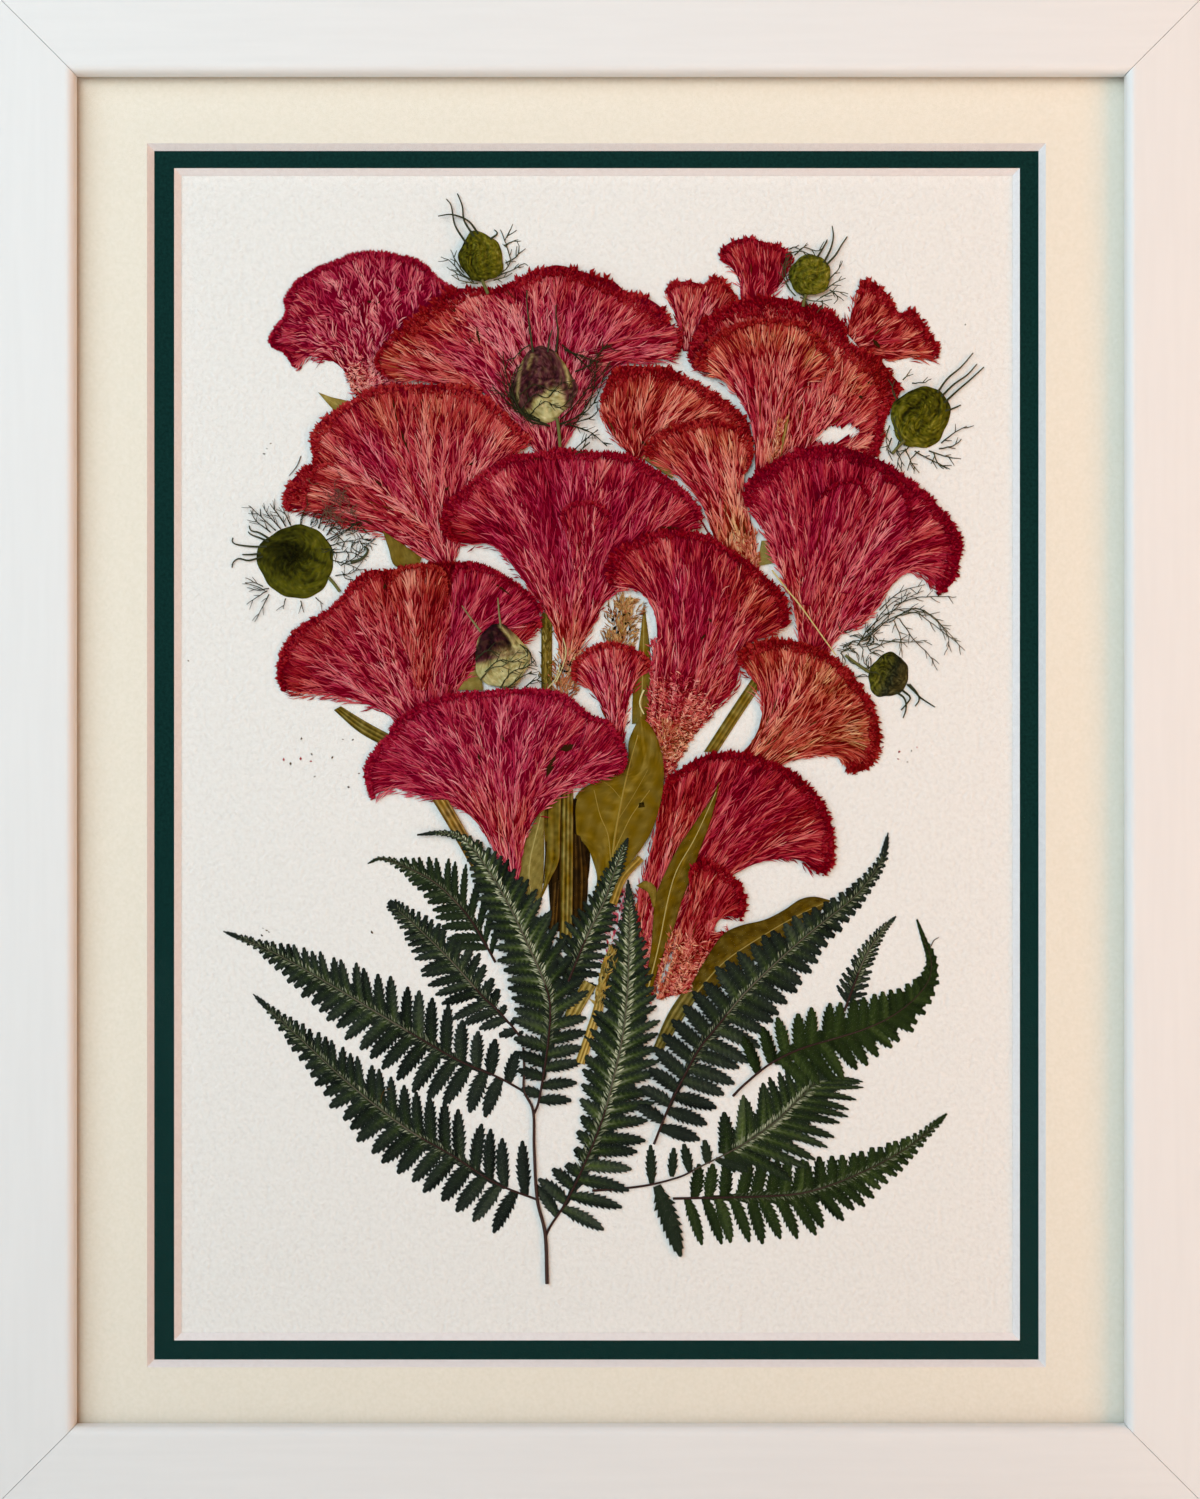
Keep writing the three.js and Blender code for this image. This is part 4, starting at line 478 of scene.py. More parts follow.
def lobe(b, plane, lift, left, crest, right, hue, tone, rim, rim_hue, rim_tone, seed, spots=(), crease_shades=(), gaps=(), shadow_slits=(),
         spiky=0.0, swirl=0.0, warm=0.1, dense=1.0, spread=0.05, cover=(), long=1.0, teeth=0.35, under=()):
    """One fan of a cockscomb: a dark sheet for the painted shade between the strands, florets, long strands, dark
    strands for the painted shade between the plumes, and a velvety crest.
    """
    rng = np.random.default_rng(seed)
    g = fan(left, crest, right)
    ns, nt = g.shape[:2]
    ds = np.gradient(g, axis=0)
    dt = np.gradient(g, axis=1)
    sg = np.linspace(0, 1, ns)
    tg = np.linspace(0, 1, nt)
    crest_len = length(g[:, -1])
    reach = np.array([length(g[i]) for i in range(ns)])            # flow length at each s, mm
    base = lambda xz: plane(xz) + lift

    def paint(xz):
        dtone = np.zeros(xz.shape[:-1])
        dhue = np.zeros(xz.shape[:-1])
        for x, y, r, du, dv in spots:
            w = np.exp(-((xz - mm((x, y))) ** 2).sum(-1) / (r * UNIT) ** 2)
            dtone += du * w
            dhue += dv * w
        # painted shade: darker bands along given lines, where the head is creased
        for x0, y0, x1, y1, r, du in crease_shades:
            p, e = mm((x0, y0)), mm((x1, y1))
            k = np.clip(((xz - p) @ (e - p)) / max(1e-6, ((e - p) ** 2).sum()), 0, 1)
            dtone += du * np.exp(-((xz - (p + k[..., None] * (e - p))) ** 2).sum(-1) / (r * UNIT) ** 2)
        for line in under:                                          # shade beside a lobe that lies on top
            near = np.full(xz.shape[:-1], 1e9)
            for q in arc(mm(line), 30):
                near = np.minimum(near, ((xz - q) ** 2).sum(-1))
            dtone -= 0.24 * np.exp(-near / 1.5 ** 2)
        return dtone, dhue

    def open_at(xz, grow):
        """True where the paper shows through a gap in the head."""
        out = np.zeros(xz.shape[:-1], bool)
        for x, y, rx, ry, deg in gaps:
            p = (xz - mm((x, y))) / UNIT
            ca, sa = math.cos(math.radians(deg)), math.sin(math.radians(deg))
            px, py = p[..., 0] * ca + p[..., 1] * sa, -p[..., 0] * sa + p[..., 1] * ca
            out |= (px / (rx + grow)) ** 2 + (py / (ry + grow)) ** 2 < 1
        return out

    def thin(xz):
        """Which to keep: few of those under another head, none in a gap."""
        keep = ~open_at(xz, 1.5)
        for ring, over in cover:
            hid = inside(xz, ring) & (over(xz) > plane(xz) + 0.2)
            keep &= ~(hid & (rng.random(len(xz)) < 0.85))
        return keep

    def on(s, t):
        """The bed point at s across and t along, on the fan's grid."""
        fi, fj = np.clip(s, 0, 1) * (ns - 1), np.clip(t, 0, 1) * (nt - 1)
        i, j = np.minimum(fi.astype(int), ns - 2), np.minimum(fj.astype(int), nt - 2)
        a, c = (fi - i)[..., None], (fj - j)[..., None]
        return g[i, j] * (1 - a) * (1 - c) + g[i + 1, j] * a * (1 - c) + g[i, j + 1] * (1 - a) * c + g[i + 1, j + 1] * a * c

    # the fan gathers into plumes: bunched towards the neck, spread at the crest
    k1 = max(2, int(round(crest_len / 9.0)))
    k2 = max(5, int(round(crest_len / 3.4)))
    lot1, lot2 = rng.normal(0, 1, (3, 64)), rng.normal(0, 1, (3, 256))
    ph1, ph2 = rng.random(), rng.random()

    def phase(s, t):
        a = k1 * s + ph1 + 0.30 * np.sin(2 * np.pi * (0.8 * t + ph1)) + 0.35 * wave(s, seed + 31, 3, 0.6, 2.2)
        c = k2 * s + ph2 + 0.35 * np.sin(2 * np.pi * (1.4 * t + ph2)) + 0.5 * wave(s + 0.2 * t, seed + 32, 3, 1.0, 3.5)
        return a, c

    def bunch(s, t):
        a, c = phase(s, t)
        env = np.clip(np.minimum(s, 1 - s) / 0.05, 0, 1)
        return s - env * (0.85 * (1 - t) ** 0.6 * np.sin(2 * np.pi * a) / (2 * np.pi * k1) + 0.60 * (1 - t) ** 0.4 * np.sin(2 * np.pi * c) / (2 * np.pi * k2))

    def plume_light_and_tone(s, t):
        a, c = phase(s, t)
        i, j = np.round(a).astype(int) % 64, np.round(c).astype(int) % 256
        # painted highlight and painted shade: lighter where the plumes lie higher and darker in the low gaps between
        # them, plus a random tone and hue for each plume
        r = 0.10 * np.cos(2 * np.pi * a) * (1 - 0.4 * t) + 0.10 * np.cos(2 * np.pi * c)
        return r + 0.050 * lot1[0][i] + 0.045 * lot2[0][j], 0.045 * lot1[1][i] + 0.050 * lot2[1][j]

    # painted shade: a dark closed slab a little inside the outline, which shows between the strands as the shade
    # between them
    inner = g.copy()
    inner[:, -1] -= unit(dt[:, -1]) * (0.30 + 0.6 * teeth)
    inner[0] += unit(ds[0]) * 0.60
    inner[-1] -= unit(ds[-1]) * 0.60
    low = base(inner)
    puff = 0.13 + 0.07 * np.sin(np.pi * sg)[:, None] * np.sin(np.pi * np.clip(tg, 0.02, 0.98))[None]
    dtn, dhu = paint(inner)
    u = 0.15 + 0.25 * dtn + 0.03 * cloud(inner, seed, 2.5)
    v = hue + dhu + 0.0 * u
    mid = 0.25 * (inner[:-1, :-1] + inner[1:, :-1] + inner[:-1, 1:] + inner[1:, 1:])
    sheet_body(b, inner, low + puff, low, u, v, ~open_at(mid, 0.0))

    area = np.abs(ds[..., 0] * dt[..., 1] - ds[..., 1] * dt[..., 0])[:-1, :-1]
    total = area.sum()

    def scatter(per_mm2, weight):
        w = (area * weight(0.5 * (sg[:-1] + sg[1:])[:, None], 0.5 * (tg[:-1] + tg[1:])[None])).ravel()
        n = int(total * per_mm2 * dense)
        c = rng.choice(w.size, n, p=w / w.sum())
        i, j = np.unravel_index(c, area.shape)
        s, t = (i + rng.random(n)) / (ns - 1), (j + rng.random(n)) / (nt - 1)
        k = thin(on(s, t))
        return s[k], t[k]

    def path(s, t, ln, drift):
        """Four points along the flow, with the outer ones swept off the side edges."""
        n = len(s)
        span = np.interp(s, sg, reach)
        dl = ln / span
        x = np.array([-0.5, -0.17, 0.17, 0.5])[None]
        top = 1 - np.clip(rim * rng.uniform(0.35, 1.05, n) / span, 0.02, 0.5)
        mid = np.minimum(t, top - 0.5 * dl)                          # the tips stop below the crest band
        tt = np.clip(mid[:, None] + dl[:, None] * x, 0.0, 1.0)
        ss = s[:, None] + drift[:, None] * (x + 0.5)
        p = on(bunch(ss, tt), tt)
        cross = unit(on(np.clip(ss + 0.02, 0, 1), tt) - on(np.clip(ss - 0.02, 0, 1), tt))
        rank = np.clip((0.07 - s) / 0.07, 0, 1) - np.clip((s - 0.93) / 0.07, 0, 1)
        out = -(rank * rng.uniform(0.3, 1.9, n) * np.clip(3 * t, 0.3, 1))[:, None] * (x + 0.5) ** 1.6
        a1, a2 = phase(s, t)
        splay = 0.15 * np.sin(2 * np.pi * a1) + 0.22 * np.sin(2 * np.pi * a2) + rng.normal(0, 0.07, n)
        out = out + (ln * rng.normal(0, 0.035, n))[:, None] * np.sin(np.pi * (x + 0.5))
        out = out + (0.30 * swirl * cloud(p, seed + 12, 6.5) + splay[:, None] * np.clip(1.2 - t, 0.25, 1)[:, None]) * ln[:, None] * (x + 0.5) ** 1.3
        return p + cross * out[..., None]

    def shades(s, t, xz):
        """Tone and hue on the fan: rosy body, warmer below the crest, dark crest."""
        dtone, dhue = paint(xz)
        r, rh = plume_light_and_tone(s, t)
        span = np.interp(s, sg, reach)
        edge = 1 - np.clip(rim / span, 0.04, 0.5)
        glow = np.exp(-((t - edge + 0.05) / (0.05 + 2.4 / span)) ** 2)
        dark = np.clip((t - edge + 0.03) / 0.08, 0, 1)
        u = tone + r + 0.045 * cloud(xz, seed + 9, 11.0) + dtone + 0.05 * (0.5 - t) - 0.16 * dark
        v = hue + dhue + rh + warm * glow
        return u, v * (1 - 0.7 * dark) + rim_hue * 0.7 * dark

    # short florets that make the bed of the fan
    s, t = scatter(1.35, lambda s, t: 1.0 + 0 * s * t)
    n = len(s)
    ln = rng.uniform(2.2, 4.0, n) * np.clip(np.interp(s, sg, reach) / 14.0, 0.55, 1) * long
    p = path(s, t, ln, rng.normal(0, 0.010, n))
    u, v = shades(s, t, p[:, 1])
    u = np.clip(u - 0.07 + rng.normal(0, 0.10, n), 0.0, 0.80)
    v = v + rng.normal(0, spread, n)
    d = p[:, 3] - p[:, 0]
    size = np.maximum(0.5, np.hypot(d[:, 0], d[:, 1]))
    at = 0.5 * (p[:, 0] + p[:, 3])
    way = turn(unit(d), rng.normal(0, 0.13, n))
    wd = rng.uniform(0.25, 0.46, n)
    if spiky > 0:
        u = u - 0.06 * (t < spiky)
    a1, a2 = phase(s, t)
    lifted = 0.07 * (1 + np.cos(2 * np.pi * a1)) + 0.03 * (1 + np.cos(2 * np.pi * a2))
    blades(b, at, way, size, wd, base(at) + 0.12 + lifted + rng.uniform(0.0, 0.10, n), rng.uniform(0.03, 0.12, n), rng.uniform(0.05, 0.10, n), u, v, rng.normal(0, 0.03, n))

    # long strands that stream up to the crest
    s, t = scatter(0.68, lambda s, t: 1.0 + 0.25 * (t < 0.8) + 0 * s)
    n = len(s)
    ln = rng.uniform(2.6, 6.0, n) * np.clip(np.interp(s, sg, reach) / 24.0, 0.35, 1.1) * long
    if spiky > 0:
        ln = np.where(t < spiky, ln * 0.55, ln)
    p = path(s, t, ln, rng.normal(0, 0.012, n))
    u, v = shades(s, t, p[:, 2])
    u = np.clip(u + 0.10 + rng.normal(0, 0.085, n) + 0.10 * (rng.random(n) < 0.14), 0.05, 0.88)
    v = v + rng.normal(0.02, spread, n)
    a1, a2 = phase(s, t)
    lifted = 0.07 * (1 + np.cos(2 * np.pi * a1)) + 0.03 * (1 + np.cos(2 * np.pi * a2))
    strands(b, p, rng.uniform(0.19, 0.36, n), base(p[:, 1]) + 0.28 + lifted + rng.uniform(0, 0.08, n), rng.uniform(0.05, 0.09, n), u, v)

    # stubble on the bare neck: short hairs that stand out to both sides
    if spiky > 0:
        s, t = scatter(3.0 * spiky, lambda s, t: 1.0 * (t < spiky) * np.clip((spiky - t) / 0.12, 0.02, 1) + 1e-6 + 0 * s)
        n = len(s)
        at = on(bunch(s, t), t)
        flow = unit(on(s, np.clip(t + 0.03, 0, 1)) - on(s, np.clip(t - 0.03, 0, 1)))
        lean = np.where(s < 0.5, 1.0, -1.0) * np.where(rng.random(n) < 0.75, 1, -1)
        way = turn(flow, lean * rng.uniform(0.3, 1.5, n))
        u, v = shades(s, t, at)
        dark = rng.random(n) < 0.30
        u = np.clip(np.where(dark, 0.10 + rng.normal(0, 0.06, n), u + 0.10 + rng.normal(0, 0.15, n)), 0.0, 0.9)
        v = v + np.where(dark, 0.25, np.abs(rng.normal(0, 0.14, n)))
        blades(b, at, way, rng.uniform(1.1, 2.4, n), rng.uniform(0.22, 0.38, n), base(at) + 0.32 + rng.uniform(0, 0.14, n), rng.uniform(0.05, 0.2, n), np.full(n, 0.06), u, v, rng.normal(0, 0.08, n))

    # painted shade: dark strands along the gaps between the plumes
    n = 2 * k1 + 2
    s = (np.arange(n) * 0.5 + 0.5 - ph1 + rng.normal(0, 0.10, n)) / k1
    k = (s > 0.05) & (s < 0.95)
    s = s[k]
    n = len(s)
    t = rng.uniform(0.28, 0.62, n)
    ln = np.interp(s, sg, reach) * rng.uniform(0.16, 0.40, n)
    p = path(s, t, ln, rng.normal(0, 0.006, n))
    keep = thin(p[:, 1])
    if keep.any():
        p, n = p[keep], int(keep.sum())
        strands(b, p, rng.uniform(0.28, 0.52, n), base(p[:, 1]) + 0.36, np.full(n, 0.05), 0.12 + rng.uniform(-0.06, 0.12, n), hue + 0.10 + 0.45 * (rng.random(n) < 0.3), 0.0, 0.05)
    # painted shadow: near-black strands laid along the narrow gaps in the head
    for x0, y0, x1, y1, w in shadow_slits:
        q = mm([(x0, y0), (x0 + (x1 - x0) / 3, y0 + (y1 - y0) / 3), (x0 + 2 * (x1 - x0) / 3, y0 + 2 * (y1 - y0) / 3), (x1, y1)])[None]
        strands(b, q, np.array([w * UNIT]), base(q[:, 1]) + 0.42, np.array([0.03]), np.array([-0.02]), np.array([0.98]), 0.0, 0.0)

    # velvety crest: short bristles, the outermost just past the outline
    n = int(crest_len * rim * 4.5 * dense)
    s = rng.random(n)
    wide = rim * (0.82 + 0.20 * wave(s, seed + 5, 4, 1, 5) + 0.12 * wave(s, seed + 15, 4, 8, 22))
    depth = 0.55 * teeth + np.clip(wide, 0.4, None) * rng.random(n) ** 0.85  # mm inside the outline
    t = 1 - depth / np.interp(s, sg, reach)
    at = on(s, t)
    keep = thin(at)
    s, t, at, depth, wide = s[keep], t[keep], at[keep], depth[keep], wide[keep]
    n = len(s)
    nrm = unit(np.stack([-ds[:, -1, 1], ds[:, -1, 0]], -1))
    if (nrm * dt[:, -1]).sum() < 0:
        nrm = -nrm
    out = unit(np.stack([np.interp(s, sg, nrm[:, 0]), np.interp(s, sg, nrm[:, 1])], -1))
    flow = unit(on(s, np.clip(t + 0.02, 0, 1)) - on(s, np.clip(t - 0.02, 0, 1)))
    way = turn(unit(flow * 0.5 + out * 0.75), rng.normal(0, 0.24, n))
    dtone, dhue = paint(at)
    edge = np.exp(-(depth - 0.55 * teeth) / 0.35)
    tipped = (rng.random(n) < 0.28) * edge
    tuft = wave(s, seed + 6, 7, crest_len / 5.0, crest_len / 1.7)
    u = rim_tone + rng.normal(0, 0.07, n) + 0.035 * tuft + 0.05 * wave(s, seed + 16, 5, 1, 7) + 0.5 * dtone + 0.04 * cloud(at, seed + 7, 2.0) + 0.10 * tipped + 0.10 * np.clip(depth / rim - 0.55, 0, 1)
    v = rim_hue + 0.6 * dhue + rng.normal(0, 0.05, n) + 0.25 * tipped + warm * 0.5 * np.clip(depth / rim - 0.5, 0, 1)
    ln = rng.uniform(0.75, 1.45, n)
    push = edge * (-0.30 + 0.16 * np.clip(tuft, -1, 1.5))
    blades(b, at + way * push[:, None], way, ln, rng.uniform(0.32, 0.56, n), base(at) + 0.46 + rng.uniform(0, 0.14, n) - 0.26 * edge - 0.12 * np.clip(depth / rim - 0.6, 0, 1),
           rng.uniform(0.02, 0.12, n), np.full(n, 0.07), u, v, rng.normal(0, 0.06, n), rise=0.10)

    # uneven tufts that give the crest its toothed edge
    n = int(crest_len * 1.7 / (0.55 + teeth))
    s = np.sort(rng.random(n))
    at = on(s, np.ones(n))
    keep = thin(at)
    s, at = s[keep], at[keep]
    n = len(s)
    out = unit(np.stack([np.interp(s, sg, nrm[:, 0]), np.interp(s, sg, nrm[:, 1])], -1))
    flow = unit(at - on(s, np.full(n, 0.95)))
    way = turn(unit(flow * 0.5 + out * 0.7), rng.normal(0, 0.30, n))
    ln = rng.uniform(1.0, 1.7, n) + 0.9 * teeth
    dtone, dhue = paint(at)
    past = teeth * (0.85 * rng.random(n) ** 1.2 - 0.30)
    blades(b, at + way * (past - 0.5 * ln)[:, None], way, ln, rng.uniform(0.55, 0.85, n) * (0.7 + 0.5 * teeth), base(at) + 0.24 + rng.uniform(0, 0.12, n), rng.uniform(0.0, 0.12, n), np.full(n, 0.08),
           rim_tone + rng.normal(0.02, 0.08, n) + 0.5 * dtone, rim_hue + 0.6 * dhue + np.abs(rng.normal(0, 0.10, n)), rng.normal(0, 0.06, n), rise=0.10)


def celosia(name, node, lobes, cover=()):
    """A pressed cockscomb: its main fan first, then the smaller lobes that lie on it."""
    b = Build()
    plane = Plane(node)
    for i, part in enumerate(lobes):
        lobe(b, plane, 0.34 * min(i, 1) + 0.04 * max(0, i - 1), cover=cover, under=[q["crest"] for q in lobes[1:]] if i == 0 else (), **part)
    ob = b.object(name, CELOSIA)
    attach(ob, "root")
    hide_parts(node)
    return ob


# ---------------------------------------------------------------------------
# Fern
# ---------------------------------------------------------------------------
def pinnule(b, foot, way, size, wide, plane, tone, hue, rng, teeth=6, curve=0.0, vein=0.05, neck=0.7, silver=0.0, sharp=0.7, fold_shade=0.0):
    """A toothed leaflet, closed, with a raised midrib. way points to its tip and
    neck is the width at its foot, as a share of its width."""
    side = np.stack([-way[1], way[0]])
    shape = lambda x: min(1.0, neck + (1 - neck) * x / 0.26) * (1 - max(0.0, (x - 0.42) / 0.58) ** 2.2) ** sharp
    bend = lambda x: side * (curve * size * x ** 2)
    edge = {1.0: [], -1.0: []}
    dx = 1.0 / teeth
    for k in range(teeth):
        x0, x1 = k * dx, (k + 0.72) * dx
        for sg in (1.0, -1.0):
            w0 = 0.5 * wide * shape(x0) * (0.74 if k else 1.0)
            w1 = 0.5 * wide * shape(x1) * rng.uniform(0.98, 1.18)
            xf = min(x1 + 0.34 * dx, 0.98)
            edge[sg] += [foot + way * (x0 * size) + bend(x0) + side * (sg * w0), foot + way * (xf * size) + bend(xf) + side * (sg * w1)]
    tip = foot + way * size + bend(1.0)
    lp, rp = np.array(edge[1.0] + [tip]), np.array(edge[-1.0] + [tip])
    m = len(lp)
    xa = np.linspace(0, 1, m)
    ax = foot + way * (xa * size)[:, None] + side * (curve * size * xa ** 2)[:, None]
    ql, qr = 0.40 * lp + 0.60 * ax, 0.40 * rp + 0.60 * ax
    top = 0.15 * np.sin(np.pi * np.clip(xa * 0.9 + 0.08, 0, 1)) ** 0.5
    rows = [(lp, 0.05), (ql, 0.05 + 0.65 * top), (ax, 0.05 + 0.75 * top), (qr, 0.05 + 0.65 * top), (rp, 0.05)]
    xz = np.stack([r[0] for r in rows])
    h = np.stack([plane(r[0]) + r[1] for r in rows])
    fade = np.exp(-(xa / 0.62) ** 1.5)
    alt = np.where(np.arange(m) % 2 == 0, -1.0, 1.0)
    jit = rng.normal(0, 0.030, (5, m))
    ray = alt * (0.035 + 0.10 * silver * fade)
    # painted shade: both edges are darker, and one half of the leaflet is lighter and the other darker by a random
    # amount, as light falls on a leaflet folded along its midrib
    u = np.stack([np.full(m, tone - 0.07 + fold_shade), tone + 0.10 * silver * fade + ray + fold_shade, tone + vein + 0.22 * silver * fade,
                  tone + 0.10 * silver * fade - ray - fold_shade, np.full(m, tone - 0.07 - fold_shade)]) + jit
    v = hue + (0.67 - hue) * silver * np.stack([0 * fade, 0.6 * fade, fade, 0.6 * fade, 0 * fade])
    grid_body(b, xz, h, np.stack([plane(r[0]) + 0.015 for r in rows]), u, v)


def pinna(b, rachis, profile, n, plane, seed, tone=0.40, hue=0.0, silver=0.0, lean=((42, 56, 68), (42, 56, 68)), first=0.03, last=0.97,
          extra=(), thick=0.34, skip=(), widths=(1.28, 1.20, 1.00, 0.78), web=(0.60, 0.55, 0.36, 0.15, 0.05)):
    rng = np.random.default_rng(seed)
    p = arc(mm(rachis), 120)
    d = np.r_[0, np.cumsum(np.hypot(*np.diff(p, axis=0).T))]
    full = d[-1]
    tan = unit(np.gradient(p, axis=0))
    at = lambda t: np.array([np.interp(t * full, d, p[:, 0]), np.interp(t * full, d, p[:, 1])])
    way = lambda t: unit(np.array([np.interp(t * full, d, tan[:, 0]), np.interp(t * full, d, tan[:, 1])]))
    prof = np.array(profile, float)
    # the blade that joins the leaflets along the outer part of the branch
    end = min([0.9] + [a for a, e, sd in skip])
    tw = np.linspace(0.0, end, 70)
    c = np.array([at(t) for t in tw])
    nrm = np.array([[-way(t)[1], way(t)[0]] for t in tw])
    share = np.interp(tw, [0.0, 0.25, 0.5, 0.7, 0.88], web)
    reach = [np.interp(tw, prof[:, 0], prof[:, k]) * UNIT * share for k in (1, 2)]
    saw = 1 + 0.10 * np.where(np.arange(70) % 2 == 0, 1.0, -1.0)
    rows = [c + nrm * (reach[0] * saw)[:, None], c + nrm * (0.5 * reach[0])[:, None], c, c - nrm * (0.5 * reach[1])[:, None], c - nrm * (reach[1] * saw)[:, None]]
    xz = np.stack(rows)
    flat = np.stack([plane(r) for r in rows])
    sil = 0.5 * silver * np.interp(tw, [0, 0.15, 0.6, 0.85, 1], [0.5, 1.0, 1.0, 0.45, 0.15])
    # painted shade: the blade is darker towards both edges
    u = np.stack([tone - 0.08 + 0 * sil, tone - 0.05 + 0.10 * sil, tone - 0.02 + 0.30 * sil, tone - 0.05 + 0.10 * sil, tone - 0.08 + 0 * sil]) + rng.normal(0, 0.03, (5, 70))
    v = hue + (0.67 - hue) * np.stack([0 * sil, 0.5 * sil, sil, 0.5 * sil, 0 * sil])
    grid_body(b, xz, flat + np.array([0.03, 0.05, 0.06, 0.05, 0.03])[:, None], flat + 0.012, u, v)
    w = np.linspace(0.45, 1.45, n)
    st = first + (last - first) * (np.cumsum(w) - w / 2) / w.sum()
    step = np.gradient(st) * full
    for k in range(n - 1, -1, -1):
        for sgn, col in ((1.0, 1), (-1.0, 2)):
            t = st[k] + rng.normal(0, 0.06) * step[k] / full + 0.22 * sgn * step[k] / full
            if any(a <= t <= e and (sd == 0 or sd == sgn) for a, e, sd in skip):
                continue
            ln = np.interp(t, prof[:, 0], prof[:, col]) * UNIT * rng.uniform(0.94, 1.06)
            if ln < 0.35:
                continue
            la = lean[0] if sgn > 0 else lean[1]
            a = math.radians(np.interp(t, [0, 0.5, 1], la) + rng.normal(0, 2.5))
            ln = ln / math.sin(a) ** 0.7
            tv = way(t)
            nv = np.array([-tv[1], tv[0]]) * sgn
            dv = -tv * math.cos(a) + nv * math.sin(a)
            wd = step[k] * np.interp(t, [0, 0.5, 0.8, 1], widths) * math.sin(a) * rng.uniform(0.95, 1.05)
            wd = max(0.50, min(wd, ln * 0.80))
            sil = silver * np.interp(t, [0, 0.15, 0.6, 0.85, 1], [0.6, 1.0, 1.0, 0.45, 0.15])
            pinnule(b, at(t), dv, ln, wd, plane, tone + rng.normal(0, 0.05), hue, rng, teeth=int(np.clip(ln / 1.2, 3, 9)),
                    curve=-sgn * rng.uniform(0.04, 0.11), neck=np.interp(t, [0.5, 0.9], [1.0, 0.50]), silver=sil, fold_shade=rng.normal(0, 0.045))
    for (x0, y0), (x1, y1), wd in extra:
        f, e = mm((x0, y0)), mm((x1, y1))
        dv = unit(e - f)
        ln = float(np.hypot(*(e - f)))
        pinnule(b, f, dv, ln, wd * UNIT, plane, tone + rng.normal(0, 0.03), hue, rng, teeth=int(np.clip(ln / 1.3, 4, 10)), curve=rng.uniform(-0.06, 0.06), neck=0.4)
    # the end leaflet, and the dark stalk that runs along the middle
    e = at(first + 0.03)
    dv = unit(p[0] - e)
    tipw = (np.interp(first + 0.02, prof[:, 0], prof[:, 1]) + np.interp(first + 0.02, prof[:, 0], prof[:, 2])) * UNIT
    pinnule(b, e, dv, float(np.hypot(*(p[0] - e))) + 0.1, max(0.5, tipw * 0.8), plane, tone, hue, rng, teeth=5, neck=1.0, sharp=1.3)
    # pale strokes that feather the middle of the blade
    if silver > 0.15:
        m = int(full * 0.74 / 0.72)
        for sgn in (1.0, -1.0):
            ts = np.linspace(0.06, min(0.80, end - 0.04), m) + rng.normal(0, 0.002, m)
            fall = np.interp(ts, [0.06, 0.15, 0.6, 0.8], [0.4, 1.0, 0.9, 0.2])
            a = np.radians(rng.normal(48, 7, m))
            tv = np.array([way(t) for t in ts])
            nv = np.stack([-tv[:, 1], tv[:, 0]], -1) * sgn
            dv = unit(-tv * np.cos(a)[:, None] + nv * np.sin(a)[:, None])
            room = np.interp(ts, prof[:, 0], prof[:, 1 if sgn > 0 else 2]) * UNIT
            size = np.minimum(rng.uniform(1.2, 2.6, m) * (0.5 + 0.6 * silver), 0.62 * room + 0.2)
            foot = np.array([at(t) for t in ts]) + dv * (0.5 * size + 0.16)[:, None]
            blades(b, foot, dv, size, rng.uniform(0.20, 0.38, m) * (0.6 + 0.4 * silver), plane(foot) + 0.15, np.full(m, 0.03), np.full(m, 0.05),
                   np.clip(tone + (0.05 + 0.42 * silver) * fall + rng.normal(0, 0.08, m), 0, 0.95), np.full(m, 0.60) + rng.normal(0, 0.03, m), rng.normal(0, 0.08, m))
    q = p[8:76]
    tube(b, q, plane(q) + 0.20, 0.07, 0.07 + 0.6 * (thick - 0.07), 0.46 - 0.4 * hue, 0.86 + 0.4 * hue, sides=6, shade=0.12)
    q = p[74:]
    tube(b, q, plane(q) + 0.20, 0.07 + 0.6 * (thick - 0.07), thick, 0.30, 0.99, sides=6, shade=0.12)
    return b


def fern(name, node, *args, **kw):
    b = pinna(Build(), *args, plane=Plane(node), **kw)
    ob = b.object(name, FERN)
    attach(ob, "root")
    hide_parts(node)
    return ob


# ---------------------------------------------------------------------------
# Nigella pods
# ---------------------------------------------------------------------------
def threads(b, lines, plane, h, seed, tone, hue, r=0.20, twig=9.0, reach=9.0, branch=True):
    rng = np.random.default_rng(seed)
    for line in lines:
        q = arc(mm(line), max(7, int(length(line) / 3.5)))
        q = q + rng.normal(0, 0.06, q.shape)
        hh = plane(q) + h + 0.25 * np.sin(np.linspace(0, np.pi, len(q))) + rng.uniform(0, 0.15)
        tn = tone + rng.normal(0, 0.05)
        hu = hue + rng.normal(0, 0.02)
        tube(b, q, hh, r, r * 0.5, tn, hu, sides=5)
        if not branch:
            continue
        tv = unit(np.gradient(q, axis=0))
        total = length(q)
        k = int(total / (twig * UNIT))
        for i in range(k):
            f = (i + rng.uniform(0.3, 1.0)) / (k + 0.3)
            if f < 0.18:
                continue
            j = min(len(q) - 1, int(f * (len(q) - 1)))
            sgn = 1 if (i % 2) else -1
            dv = turn(tv[j], sgn * rng.uniform(0.45, 0.95))
            ln = reach * UNIT * rng.uniform(0.6, 1.25)
            x = np.linspace(0, 1, 5)
            bend = np.stack([-dv[1], dv[0]]) * sgn * rng.uniform(-0.25, 0.1)
            tw = q[j] + dv * (x * ln)[:, None] + bend * (x ** 2 * ln)[:, None]
            tube(b, tw, hh[j] + 0.04 * x, r * 0.72, r * 0.4, tn, hu, sides=4)


def patchy(xz, seed, scale):
    """Soft uneven blotches, pushed about so that no rows show."""
    push = np.stack([cloud(xz, seed + 1, 1.9 * scale), cloud(xz[..., ::-1] * 1.13, seed + 2, 1.7 * scale)], -1)
    return cloud(xz + 0.8 * scale * push, seed, scale)


